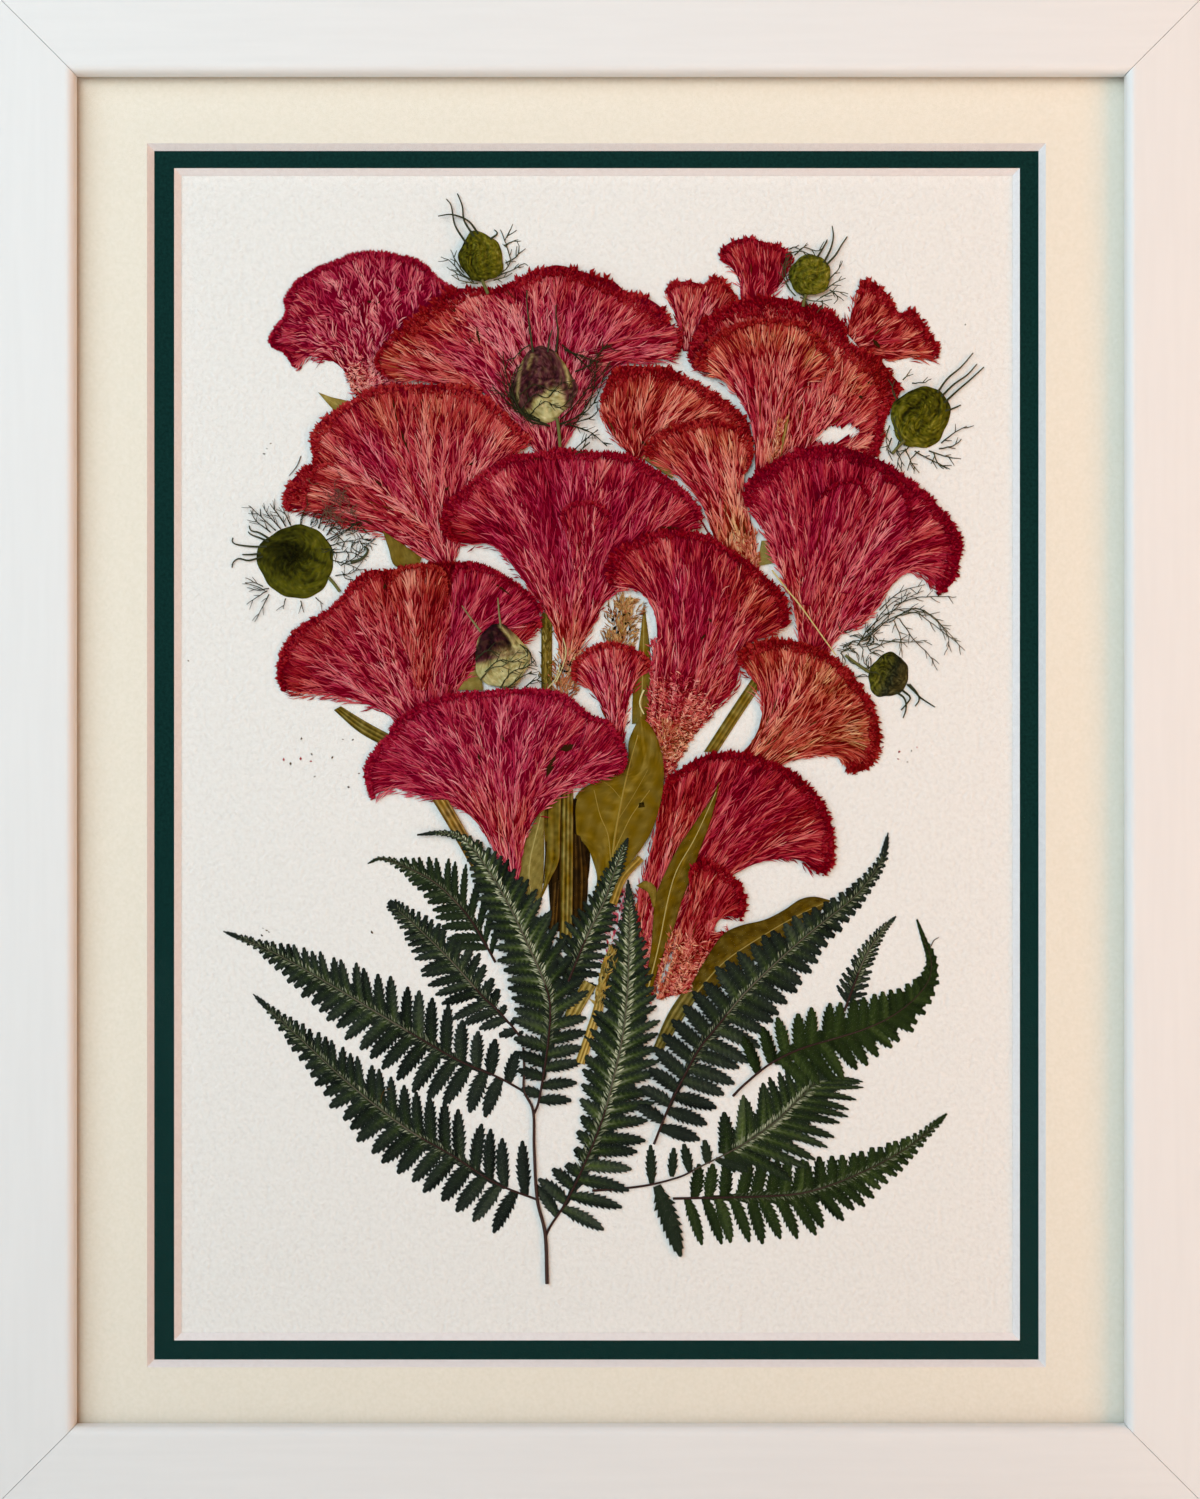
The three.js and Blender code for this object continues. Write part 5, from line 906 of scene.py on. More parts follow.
def tuft(b, line, wide, n, plane, h, tone, hue, seed, size=(1.0, 2.3), splay=0.9):
    """Dry bracts that stand off both sides of a stalk."""
    rng = np.random.default_rng(seed)
    q = arc(mm(line), 24)
    tv = unit(np.gradient(q, axis=0))
    k = rng.integers(0, 24, n)
    off = np.clip(rng.normal(0, 0.55, n), -1, 1)
    nv = np.stack([-tv[k][:, 1], tv[k][:, 0]], -1)
    along = rng.uniform(-0.5, 0.5, n) * length(line) * UNIT / 23
    at = q[k] + tv[k] * along[:, None] + nv * (off * wide * UNIT / 2)[:, None] + rng.normal(0, 0.15, (n, 2))
    way = turn(tv[k], off * splay + rng.normal(0, 0.35, n))
    blades(b, at, way, rng.uniform(*size, n), rng.uniform(0.24, 0.46, n), plane(at) + h + rng.uniform(0, 0.2, n), rng.uniform(0.03, 0.15, n), np.full(n, 0.08),
           np.clip(tone + rng.normal(0, 0.15, n) - 0.12 * np.abs(off), 0, 0.95), hue + rng.normal(0, 0.07, n), rng.normal(0, 0.1, n))


def pod(name, node, centre, radii, axis, seed, tone, hue, styles, lines, stalk, high=0.95, bract_tone=0.30, bract_hue=0.33, r=0.20, twig=9.0, reach=9.0,
        style_r=0.30, style_hue=0.33, style_tone=0.30, mottle=0.13, crown=0.10, pinch=0.04, net=0.14, over=0, taper=0.0):
    """A flattened ribbed capsule. axis points to its style end, in grid units."""
    rng = np.random.default_rng(seed)
    plane = Plane(node)
    c = mm(centre)
    ax = unit(np.array([axis[0], -axis[1]], float))
    sx = np.array([ax[1], -ax[0]])
    na, nr = 64, 24
    a = np.linspace(0, 2 * np.pi, na, endpoint=False)
    rr = np.linspace(0, 1, nr + 1)[1:]
    lobed = 1 + pinch * np.cos(5 * a + 6 * rng.random()) + 0.02 * np.cos(3 * a + 6 * rng.random()) + 0.012 * np.cos(11 * a + 6 * rng.random()) + crown * np.exp(-((a - np.pi / 2) / 0.42) ** 2)
    X = rr[:, None] * np.cos(a)[None] * lobed
    Y = rr[:, None] * np.sin(a)[None] * lobed
    X = X * (1 - taper * np.clip(Y + 0.1, 0, 1.1))
    xz = c + X[..., None] * sx * radii[0] * UNIT + Y[..., None] * ax * radii[1] * UNIT
    lon = np.arcsin(np.clip(X / np.sqrt(np.maximum(0.05, 1 - np.clip(Y, -0.97, 0.97) ** 2)), -1, 1))
    groove = np.zeros_like(lon)
    for g0 in (-1.05, -0.42, 0.30, 0.98):
        groove += np.exp(-((lon - g0 - 0.10 * np.sin(3 * Y + g0)) / 0.08) ** 2)
    rib = np.zeros_like(lon)
    for g0 in (-0.75, -0.06, 0.62):
        rib += np.exp(-((lon - g0) / 0.07) ** 2)
    dome = np.maximum(0.0, 1 - rr[:, None] ** 2.4) ** 0.6 + 0 * X
    crease = np.exp(-(patchy(xz, seed + 21, 3.4) / 0.15) ** 2)          # wrinkles of the dried wall
    h = plane(xz) + 0.08 + high * dome * (0.86 - 0.20 * groove + 0.07 * rib - 0.14 * crease)
    h += 0.07 * cloud(xz, seed + 5, 1.8) * dome
    base = float(h[0].mean())
    vein = np.exp(-(patchy(xz, seed + 3, 2.2) / 0.14) ** 2)
    # painted shade and highlight: besides the mottling and veins, darker in the grooves and creases and lighter on the
    # ribs, following the relief they give the height
    u = tone(X, Y, groove) + 0.7 * mottle * patchy(xz, seed + 1, 1.3) + mottle * patchy(xz, seed + 2, 3.6) - net * vein - 0.10 * groove + 0.07 * rib - 0.06 * crease
    # painted shade: a darker band at the rim, where the wall turns down to the paper
    u = u - 0.10 * np.exp(-(1 - rr[:, None]) / 0.05)
    v = hue(X, Y, groove) + 0.03 * cloud(xz, seed + 6, 2.0)
    b = Build()
    m = nr * na
    verts = np.concatenate([world(xz, h).reshape(-1, 3), world(c[None], np.array([base])), world(xz[-1], plane(xz[-1]) + 0.02), world(c[None], plane(c[None]) + 0.02)])
    idx = np.arange(m).reshape(nr, na)
    nx = np.roll(idx, -1, 1)
    quads = np.concatenate([np.stack([idx[:-1], idx[1:], nx[1:]], -1).reshape(-1, 3), np.stack([idx[:-1], nx[1:], nx[:-1]], -1).reshape(-1, 3)])
    cap = np.stack([np.full(na, m), idx[0], nx[0]], -1)
    rim0, rim1 = idx[-1], nx[-1]
    low0 = m + 1 + np.arange(na)
    low1 = np.roll(low0, -1)
    wall = np.concatenate([np.stack([rim0, low0, low1], -1), np.stack([rim0, low1, rim1], -1)])
    floor = np.stack([np.full(na, m + 1 + na), low1, low0], -1)
    faces = np.concatenate([quads, cap, wall, floor])
    if sx[0] * ax[1] - sx[1] * ax[0] < 0:
        faces = faces[:, ::-1]
    jit = np.linspace(-0.004, 0.004, m)
    # painted shade: the walls down to the paper and the floor are darker than the top
    uv = np.concatenate([np.stack([u.ravel(), v.ravel() + jit], -1), [[float(u[0].mean()), float(v[0].mean())]],
                         np.stack([u[-1] - 0.1, v[-1]], -1), [[0.2, float(v[-1].mean())]]])
    b.add(verts, faces, uv)
    for st in styles:
        w = style_r
        if isinstance(st, tuple):
            w, st = st
        q = arc(mm(st), max(8, int(length(st) / 2.5)))
        hh = np.linspace(0.55 * high, 0.30, len(q)) + plane(q)
        tube(b, q, hh, w, w * 0.5, style_tone + rng.normal(0, 0.03), style_hue, sides=7)
    q = arc(mm(stalk), 8)
    tube(b, q, plane(q) + 0.40, 0.46, 0.40, 0.55, 0.20, sides=7)
    threads(b, lines, plane, 0.30, seed + 7, bract_tone, bract_hue, r, twig, reach)
    if over:
        threads(b, lines[:over], plane, 0.30 + 0.8 * high, seed + 17, bract_tone, bract_hue, r * 0.9, twig, reach)
    ob = b.object(name, NIGELLA)
    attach(ob, "root")
    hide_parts(node)
    return ob


# ---------------------------------------------------------------------------
# Leaves and stems
# ---------------------------------------------------------------------------
def veined(tone, depth=0.06, mid=0.5, n=9, seed=1):
    def f(s, t, xz):
        rib = np.exp(-((s - mid) / 0.035) ** 2)
        slant = np.abs(s - mid)
        vein = np.exp(-(((t - 0.55 * slant) * n) % 1.0 - 0.5) ** 2 / 0.012)
        # painted shade: darker towards both margins, where the blade turns down to the bed
        return tone + 0.16 * rib + depth * vein + 0.045 * cloud(xz, seed, 3.0) + 0.035 * cloud(xz, seed + 1, 0.9) - 0.08 * (np.abs(2 * s - 1) ** 8)
    return f


# painted light and shade: the tone follows the flutes, lighter on their ridges and darker in their hollows, and darker
# towards both sides of the round stem, with a random tone along it
def fluted(tone, ribs=4, depth=0.16, seed=1):
    def f(s, t, xz):
        return tone + depth * np.cos(2 * np.pi * ribs * s + 1.0) + 0.06 * cloud(xz, seed, 2.2) + 0.05 * wave(s + 0.05 * t, seed, 5, 3, 11) - 0.10 * (np.abs(2 * s - 1) ** 6)
    return f


def even(hue, amp=0.03, seed=3):
    return lambda s, t, xz: hue + amp * cloud(xz, seed, 4.0)


def leaf(name, node, left, right, tone, hue, thick=0.15, ns=22, nt=60, dome=0.12, ribs=None, veins=(), height=0.0, more=()):
    plane = Plane(node) if node else Flat(height)
    b = Build()
    panel(b, left, right, plane, thick, tone, hue, ns=ns, nt=nt, dome=dome, ribs=ribs)
    for l2, r2, t2, h2 in more:
        panel(b, l2, r2, plane, thick + 0.1, t2, h2, ns=ns, nt=nt, dome=dome, ribs=ribs)
    for line, r0, tn, hu in veins:
        q = arc(mm(line), max(8, int(length(line) / 3)))
        tube(b, q, plane(q) + 0.02 + thick + dome * 0.9, r0, r0 * 0.5, tn, hu, sides=5, flat=0.5)
    ob = b.object(name, LEAF)
    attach(ob, "root")
    if node:
        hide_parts(node)
    return ob


def flutes(n, depth):
    return lambda s, t: depth * np.cos(2 * np.pi * n * s + 1.0) * np.minimum(1, np.minimum(s, 1 - s) * 8)


# ---------------------------------------------------------------------------
# The cockscomb heads, back to front
# ---------------------------------------------------------------------------
HEADS = [
    ("florets_01", "celosia_01", [
        dict(left=[(354, 394), (346, 376), (338, 362), (324, 361), (308, 357), (297, 369)],
             crest=[(290, 364), (282, 350), (269, 347), (266, 338), (272, 325), (284, 312), (281, 299), (290, 283), (305, 270), (322, 262), (338, 256), (352, 250), (368, 248), (385, 249), (400, 252), (414, 255), (425, 261), (434, 271), (443, 279), (455, 285), (463, 293)],
             right=[(398, 392), (425, 345), (452, 312)],
             hue=0.00, tone=0.56, rim=1.8, rim_hue=0.14, rim_tone=0.30, warm=0.08, seed=100, spiky=0.28, swirl=1.20, long=0.60, teeth=0.25,
             spots=[(355, 375, 26, 0.12, 0.16), (370, 310, 18, 0.12, 0.12), (330, 340, 26, 0.08, 0.02), (290, 355, 18, -0.12, 0), (275, 340, 16, -0.12, 0)],
             shadow_slits=[(395, 285, 401, 290, 2), (430, 283, 436, 286, 2), (366, 300, 372, 301, 2.5), (375, 303, 380, 300, 2)])]),
    ("florets_02", "celosia_02", [
        dict(left=[(537, 452), (506, 420), (474, 386), (445, 380), (415, 378)],
             crest=[(384, 378), (375, 362), (383, 343), (401, 322), (424, 302), (445, 286), (470, 284), (500, 285), (520, 272), (540, 264), (558, 260), (577, 265), (605, 273), (620, 279), (629, 291), (640, 289), (655, 297), (667, 306), (676, 325), (684, 344)],
             right=[(562, 452), (588, 402), (618, 367), (650, 361), (676, 356)],
             hue=0.10, tone=0.54, rim=3.6, rim_hue=0.34, rim_tone=0.22, warm=0.14, seed=111, teeth=1.30,
             spots=[(400, 355, 35, -0.03, 0.2), (430, 318, 30, -0.03, 0.2), (500, 340, 60, 0.08, -0.06), (600, 290, 40, -0.06, 0.05), (645, 342, 40, 0, -0.1)],
             crease_shades=[(503, 289, 517, 298, 6, -0.28)],
             shadow_slits=[(424, 352, 438, 364, 4), (470, 337, 472, 342, 3), (476, 325, 480, 345, 2.5), (503, 289, 516, 298, 5), (450, 302, 455, 312, 4)]),
        dict(left=[(480, 395), (440, 384), (404, 378)],
             crest=[(388, 378), (376, 370), (373, 360), (378, 349), (390, 338), (402, 330)],
             right=[(484, 388), (448, 364), (420, 345)],
             hue=0.30, tone=0.60, rim=1.6, rim_hue=0.34, rim_tone=0.22, warm=0.30, seed=115),
        dict(left=[(588, 350), (630, 337), (660, 330)],
             crest=[(680, 326), (684, 335), (682, 346), (676, 355)],
             right=[(590, 364), (630, 361), (658, 360)],
             hue=0.20, tone=0.52, rim=1.3, rim_hue=0.34, rim_tone=0.22, warm=0.10, seed=116)]),
    ("florets_03", "celosia_03", [
        dict(left=[(436, 566), (421, 556), (404, 545), (386, 536), (368, 531), (345, 527), (322, 517), (300, 511)],
             crest=[(282, 511), (279, 495), (287, 480), (297, 470), (305, 463), (314, 461), (309, 450), (307, 438), (311, 428), (318, 418), (331, 409), (346, 400), (360, 390), (375, 384), (395, 382), (420, 381), (445, 382), (468, 383), (482, 390), (495, 401), (508, 412), (520, 424), (533, 437)],
             right=[(454, 562), (474, 512), (508, 464)],
             hue=0.17, tone=0.56, rim=2.4, rim_hue=0.38, rim_tone=0.32, warm=0.22, seed=122, teeth=0.70,
             spots=[(440, 470, 60, 0.05, -0.02), (345, 505, 20, -0.16, 0.15), (425, 415, 30, 0, 0.12)],
             crease_shades=[(395, 402, 425, 520, 3, -0.15), (450, 395, 452, 500, 3, -0.1), (350, 430, 410, 525, 3, -0.1)],
             shadow_slits=[(392, 396, 398, 425, 2.5), (398, 425, 410, 455, 2.5), (413, 410, 427, 396, 2.5), (372, 478, 385, 488, 2), (468, 465, 474, 462, 2), (445, 490, 449, 486, 2.5)]),
        dict(left=[(428, 542), (385, 530), (340, 516)],
             crest=[(302, 510), (299, 497), (303, 482), (312, 467), (328, 461)],
             right=[(432, 530), (395, 498), (360, 474)],
             hue=0.24, tone=0.55, rim=1.7, rim_hue=0.38, rim_tone=0.32, warm=0.15, seed=126)]),
    ("florets_04", "celosia_04", [
        dict(left=[(630, 455), (611, 436), (601, 416)],
             crest=[(601, 394), (607, 375), (616, 365), (630, 362), (648, 364), (668, 364), (690, 376), (705, 383), (720, 393), (735, 404), (748, 416), (754, 430), (756, 446)],
             right=[(646, 459), (690, 446), (725, 446)],
             hue=0.42, tone=0.58, rim=3.0, rim_hue=0.42, rim_tone=0.24, warm=0.15, seed=133, teeth=0.80,
             shadow_slits=[(640, 440, 648, 446, 3)])]),
    ("florets_05", "celosia_05", [
        dict(left=[(722, 582), (713, 535), (697, 497), (670, 471)],
             crest=[(642, 456), (645, 442), (655, 433), (666, 427), (682, 421), (701, 418), (720, 419), (738, 424), (750, 434), (755, 448), (753, 460), (748, 470)],
             right=[(762, 582), (752, 522), (737, 494), (738, 479)],
             hue=0.32, tone=0.60, rim=2.6, rim_hue=0.44, rim_tone=0.26, warm=0.30, seed=144, teeth=0.70,
             spots=[(737, 535, 36, 0.06, 0.44)])]),
    ("florets_06", "celosia_06", [
        dict(left=[(563, 664), (560, 642), (553, 622), (537, 601), (515, 572), (494, 547), (470, 546)],
             crest=[(450, 541), (440, 533), (438, 521), (442, 505), (455, 492), (475, 475), (495, 462), (515, 452), (540, 450), (560, 446), (585, 449), (610, 450), (632, 453), (648, 462), (665, 472), (682, 485), (697, 500), (706, 516)],
             right=[(572, 666), (580, 652), (588, 635), (596, 618), (606, 602), (640, 574), (680, 540)],
             hue=0.12, tone=0.47, rim=2.6, rim_hue=0.22, rim_tone=0.25, warm=0.06, seed=155, teeth=0.55,
             spots=[(562, 645, 40, 0.08, 0.46), (590, 520, 40, 0.04, -0.05), (460, 530, 16, 0, 0.3)],
             crease_shades=[(478, 522, 505, 527, 6, -0.2), (505, 527, 528, 542, 6, -0.2), (640, 530, 690, 535, 6, -0.15)],
             shadow_slits=[(460, 533, 470, 530, 2.5), (532, 459, 540, 459, 2.5), (660, 527, 680, 528, 2.5)]),
        dict(left=[(576, 572), (568, 542), (562, 522)],
             crest=[(560, 513), (566, 504), (580, 500), (597, 501), (608, 508), (612, 516)],
             right=[(592, 572), (598, 545), (606, 526)],
             hue=0.14, tone=0.48, rim=1.4, rim_hue=0.22, rim_tone=0.25, warm=0.05, seed=159)]),
    ("florets_07", "celosia_07", [
        dict(left=[(741, 303), (741, 288), (736, 273), (727, 263)],
             crest=[(719, 258), (718, 248), (726, 240), (737, 235), (752, 233), (762, 238), (778, 240), (788, 246), (796, 255)],
             right=[(766, 303), (774, 292), (786, 279)],
             hue=0.22, tone=0.45, rim=2.0, rim_hue=0.27, rim_tone=0.22, warm=0.10, seed=166, teeth=0.80)]),
    ("florets_08", "celosia_08", [
        dict(left=[(683, 350), (678, 325), (670, 304)],
             crest=[(663, 288), (669, 280), (680, 277), (695, 278), (706, 284), (709, 275), (714, 272), (723, 275), (733, 285), (741, 297)],
             right=[(695, 350), (706, 330), (722, 314)],
             hue=0.20, tone=0.62, rim=1.7, rim_hue=0.34, rim_tone=0.29, warm=0.12, seed=177, teeth=0.90,
             spots=[(725, 290, 16, -0.05, 0.2)])]),
    ("florets_09", "celosia_09", [
        dict(left=[(757, 472), (753, 430), (744, 408), (731, 390), (714, 377), (697, 371), (690, 364)],
             crest=[(686, 354), (691, 335), (701, 318), (716, 306), (735, 297), (760, 292), (785, 295), (808, 300), (830, 307), (842, 316), (848, 330), (851, 343), (868, 346), (884, 357), (893, 370), (906, 386), (900, 397), (888, 416), (886, 440), (880, 456)],
             right=[(802, 474), (836, 466), (866, 463)],
             hue=0.30, tone=0.59, rim=4.2, rim_hue=0.34, rim_tone=0.22, warm=0.18, seed=188, teeth=0.90,
             spots=[(872, 378, 30, -0.06, 0.26), (860, 440, 30, 0.05, -0.1), (835, 395, 30, 0.08, 0.05), (775, 432, 14, 0.06, 0.4)],
             gaps=[(833, 434, 17, 8, 12), (852, 429, 8, 6, 0)],
             shadow_slits=[(873, 339, 881, 348, 4), (858, 394, 864, 398, 3), (866, 380, 874, 384, 3)])]),
    ("florets_10", "celosia_10", [
        dict(left=[(753, 480), (757, 452), (752, 426), (742, 403), (728, 386), (712, 374)],
             crest=[(697, 371), (693, 363), (698, 350), (708, 338), (722, 328), (745, 320), (770, 316), (795, 318), (815, 328), (828, 342), (835, 357), (835, 368)],
             right=[(778, 480), (783, 432), (792, 402), (812, 380)],
             hue=0.30, tone=0.57, rim=2.2, rim_hue=0.44, rim_tone=0.25, warm=0.34, seed=199, teeth=0.70,
             spots=[(760, 430, 45, 0, -0.12), (775, 448, 20, 0.1, 0.3), (770, 350, 30, 0.03, 0.06)])]),
    ("florets_11", "celosia_11", [
        dict(left=[(846, 330), (853, 306)],
             crest=[(860, 283), (861, 276), (869, 275), (878, 279), (888, 288), (895, 297), (898, 306), (898, 314), (902, 313), (908, 308), (914, 304), (922, 312), (932, 327), (940, 340), (943, 351)],
             right=[(866, 353), (894, 361), (918, 357), (936, 358)],
             hue=0.40, tone=0.52, rim=2.8, rim_hue=0.38, rim_tone=0.23, warm=0.15, seed=210, teeth=0.90)]),
    ("florets_12", "celosia_12", [
        dict(left=[(803, 660), (794, 612), (780, 576), (768, 546), (757, 521)],
             crest=[(743, 502), (742, 490), (748, 477), (760, 467), (778, 456), (795, 448), (815, 444), (835, 443), (860, 449), (880, 457), (895, 465), (912, 478), (930, 492), (945, 508), (957, 522), (965, 538), (966, 550), (962, 566), (959, 580), (951, 589), (942, 595)],
             right=[(826, 660), (836, 634), (856, 630), (876, 612), (889, 590), (905, 571), (921, 575), (932, 583)],
             hue=0.14, tone=0.50, rim=3.2, rim_hue=0.20, rim_tone=0.19, warm=0.05, seed=221, teeth=0.70,
             spots=[(800, 600, 40, 0.06, 0.24), (930, 540, 30, -0.03, 0.08)],
             shadow_slits=[(860, 515, 856, 524, 2.5), (795, 545, 798, 560, 2)]),
        dict(left=[(800, 604), (806, 560), (811, 525)],
             crest=[(816, 503), (825, 490), (838, 481), (852, 477), (864, 482), (870, 492)],
             right=[(812, 606), (832, 566), (852, 530), (864, 508)],
             hue=0.13, tone=0.48, rim=1.3, rim_hue=0.20, rim_tone=0.16, warm=0.04, seed=225),
        dict(left=[(838, 592), (850, 555), (868, 515), (878, 490)],
             crest=[(884, 474), (895, 478), (905, 487), (911, 500), (914, 515), (912, 530)],
             right=[(848, 594), (866, 566), (885, 547), (900, 539)],
             hue=0.15, tone=0.50, rim=1.7, rim_hue=0.20, rim_tone=0.16, warm=0.06, seed=226)]),
    ("florets_13", "celosia_13", [
        dict(left=[(655, 779), (647, 732), (650, 690), (655, 650), (662, 622), (655, 603), (640, 592), (622, 589)],
             crest=[(606, 582), (604, 566), (610, 553), (625, 541), (650, 531), (675, 527), (700, 530), (715, 536), (730, 548), (750, 558), (765, 572), (780, 585), (788, 598), (792, 612), (791, 624)],
             right=[(670, 779), (690, 741), (713, 714), (736, 690), (741, 666), (747, 648), (766, 636)],
             hue=0.12, tone=0.47, rim=2.8, rim_hue=0.28, rim_tone=0.19, warm=0.20, seed=232, spiky=0.42, teeth=0.80,
             spots=[(762, 602, 34, -0.02, 0.22), (700, 690, 50, 0.1, 0.12), (676, 742, 26, 0.08, 0.42)],
             shadow_slits=[(708, 618, 712, 622, 3), (700, 640, 706, 634, 2.5)])]),
    ("florets_14", "celosia_14", [
        dict(left=[(420, 748), (401, 726), (380, 712), (355, 702), (325, 697), (300, 695)],
             crest=[(279, 690), (274, 680), (274, 668), (277, 653), (286, 636), (301, 621), (320, 612), (338, 597), (352, 578), (370, 567), (388, 569), (402, 564), (425, 561), (450, 560), (475, 561), (495, 568), (515, 580), (530, 595), (541, 612), (543, 626)],
             right=[(450, 748), (453, 702), (463, 681), (480, 668), (514, 651)],
             hue=0.18, tone=0.49, rim=2.2, rim_hue=0.32, rim_tone=0.29, warm=0.14, seed=243, teeth=0.50,
             spots=[(410, 585, 50, 0, 0.24), (482, 605, 40, -0.06, -0.1), (460, 640, 18, 0.12, 0.06), (400, 690, 40, 0.02, -0.05), (285, 672, 20, -0.12, 0)],
             crease_shades=[(386, 570, 383, 602, 4, -0.22), (444, 582, 450, 604, 5, -0.22)],
             shadow_slits=[(385, 583, 383, 590, 2.5)]),
        dict(left=[(415, 690), (405, 650), (395, 610)],
             crest=[(388, 592), (389, 576), (400, 567), (420, 563), (438, 565), (447, 575), (448, 592)],
             right=[(427, 690), (434, 650), (442, 615)],
             hue=0.40, tone=0.48, rim=1.3, rim_hue=0.50, rim_tone=0.30, warm=0.10, seed=247, teeth=0.15),
        dict(left=[(440, 682), (449, 640), (453, 605)],
             crest=[(453, 575), (458, 563), (475, 561), (497, 570), (515, 580), (533, 594), (545, 610)],
             right=[(452, 686), (472, 652), (500, 632), (532, 622)],
             hue=0.12, tone=0.43, rim=1.8, rim_hue=0.20, rim_tone=0.20, warm=0.05, seed=248, teeth=0.25,
             shadow_slits=[(490, 580, 513, 597, 2)])]),
    ("florets_15", "celosia_15", [
        dict(left=[(506, 884), (496, 850), (475, 821), (450, 804), (420, 797), (396, 790), (381, 793)],
             crest=[(370, 801), (363, 786), (361, 770), (366, 757), (378, 742), (388, 731), (391, 721), (405, 711), (425, 700), (450, 692), (480, 689), (510, 687), (545, 687), (565, 692), (580, 702), (592, 714), (609, 720), (622, 735), (628, 752), (627, 764)],
             right=[(517, 888), (526, 836), (546, 808), (571, 790), (591, 780), (612, 771)],
             hue=0.00, tone=0.53, rim=2.3, rim_hue=0.14, rim_tone=0.27, warm=0.04, seed=254, teeth=0.50,
             spots=[(508, 822, 30, 0.05, 0.34), (470, 800, 20, 0.08, 0.2)],
             crease_shades=[(440, 712, 446, 724, 4, -0.2)],
             shadow_slits=[(546, 778, 556, 752, 6), (560, 750, 576, 745, 7), (479, 722, 481, 733, 3), (440, 761, 450, 769, 2.5), (500, 735, 506, 742, 2.5), (478, 752, 480, 766, 2)]),
        dict(left=[(534, 798), (560, 772), (580, 748)],
             crest=[(589, 716), (604, 717), (616, 728), (625, 745), (629, 760), (623, 773)],
             right=[(540, 800), (570, 788), (600, 779)],
             hue=0.05, tone=0.48, rim=1.6, rim_hue=0.14, rim_tone=0.27, warm=0.04, seed=258)]),
    ("florets_16", "celosia_16", [
        dict(left=[(611, 742), (604, 713), (592, 693)],
             crest=[(571, 679), (569, 670), (573, 660), (583, 650), (598, 642), (615, 640), (632, 645), (647, 654), (654, 663)],
             right=[(624, 742), (628, 706), (637, 682)],
             hue=0.20, tone=0.59, rim=1.7, rim_hue=0.40, rim_tone=0.31, warm=0.12, seed=265, teeth=0.50)]),
    ("florets_17", "celosia_17", [
        dict(left=[(721, 781), (741, 754), (757, 736), (763, 713), (757, 690), (746, 673)],
             crest=[(736, 660), (737, 650), (749, 641), (770, 636), (795, 638), (815, 643), (835, 655), (850, 668), (862, 682), (873, 698), (880, 715), (884, 735), (883, 750), (878, 764), (868, 772), (855, 776), (844, 773)],
             right=[(746, 795), (778, 764), (800, 760), (820, 756), (838, 757), (848, 765)],
             hue=0.62, tone=0.58, rim=3.0, rim_hue=0.46, rim_tone=0.21, warm=0.10, seed=276, teeth=0.85,
             spots=[(776, 692, 30, 0.08, -0.3)],
             crease_shades=[(790, 726, 842, 712, 5, -0.1), (800, 745, 850, 742, 4, -0.08)])]),
    ("florets_18", "celosia_18", [
        dict(left=[(622, 1004), (635, 950), (638, 900), (648, 855), (657, 822)],
             crest=[(662, 792), (667, 775), (681, 766), (700, 755), (720, 750), (745, 750), (770, 758), (790, 766), (805, 778), (820, 793), (830, 810), (836, 830), (838, 850), (835, 867), (827, 877)],
             right=[(650, 1004), (676, 936), (708, 893), (733, 874), (752, 864), (777, 858), (800, 862), (814, 873)],
             hue=0.21, tone=0.38, rim=3.0, rim_hue=0.30, rim_tone=0.17, warm=0.06, seed=287, spiky=0.30, teeth=0.85,
             spots=[(678, 822, 40, 0.05, 0.22), (648, 905, 62, 0.24, 0.1)],
             crease_shades=[(742, 750, 744, 790, 5, -0.12)])]),
    ("florets_19", "celosia_19", [
        dict(left=[(656, 1000), (671, 962), (681, 924), (690, 896)],
             crest=[(689, 874), (690, 864), (698, 859), (706, 857), (718, 862), (730, 870), (742, 883), (749, 898), (749, 911), (744, 921)],
             right=[(690, 993), (704, 966), (728, 935), (722, 930), (701, 938), (707, 921), (727, 917)],
             hue=0.36, tone=0.36, rim=2.8, rim_hue=0.34, rim_tone=0.21, warm=0.08, seed=298, spiky=0.45, teeth=0.80,
             spots=[(676, 965, 50, 0.2, 0.16)])]),
]
RINGS = [mm(list(p[0]['left']) + list(p[0]['crest']) + list(p[0]['right'])[::-1]) for _, _, p in HEADS]
PLANES = [Plane(node) for _, node, _ in HEADS]
for i, (name, node, lobes) in enumerate(HEADS):
    celosia(name, node, lobes, cover=[(RINGS[j], PLANES[j]) for j in range(len(HEADS)) if j != i])


# ---------------------------------------------------------------------------
# The fern: each leaf branch from its tip to its base. Each profile row is the
# place along the branch and the leaflets' reach to its left and its right.
# ---------------------------------------------------------------------------
fern("frond_01", "fern_pinna_01",
     [(252, 995), (302, 1042), (352, 1088), (406, 1130), (452, 1157), (494, 1184), (534, 1200), (538, 1202)],
     [(0, 1, 1), (.1, 6, 6), (.25, 17, 17), (.4, 28, 30), (.55, 36, 40), (.7, 42, 44), (.85, 44, 46), (.97, 50, 46)],
     27, seed=301, tone=0.40, silver=0.50, lean=((36, 45, 66), (50, 74, 82)))
fern("frond_02", "fern_pinna_02",
     [(222, 932), (255, 945), (291, 963), (344, 994), (367, 1008), (417, 1038), (459, 1062), (497, 1078), (521, 1091)],
     [(0, 1, 1), (.12, 6, 6), (.3, 20, 22), (.45, 32, 34), (.6, 40, 44), (.72, 44, 48), (.8, 40, 48), (.88, 34, 46), (.97, 34, 40)],
     27, seed=302, tone=0.40, silver=0.50, lean=((35, 47, 74), (48, 70, 86)))
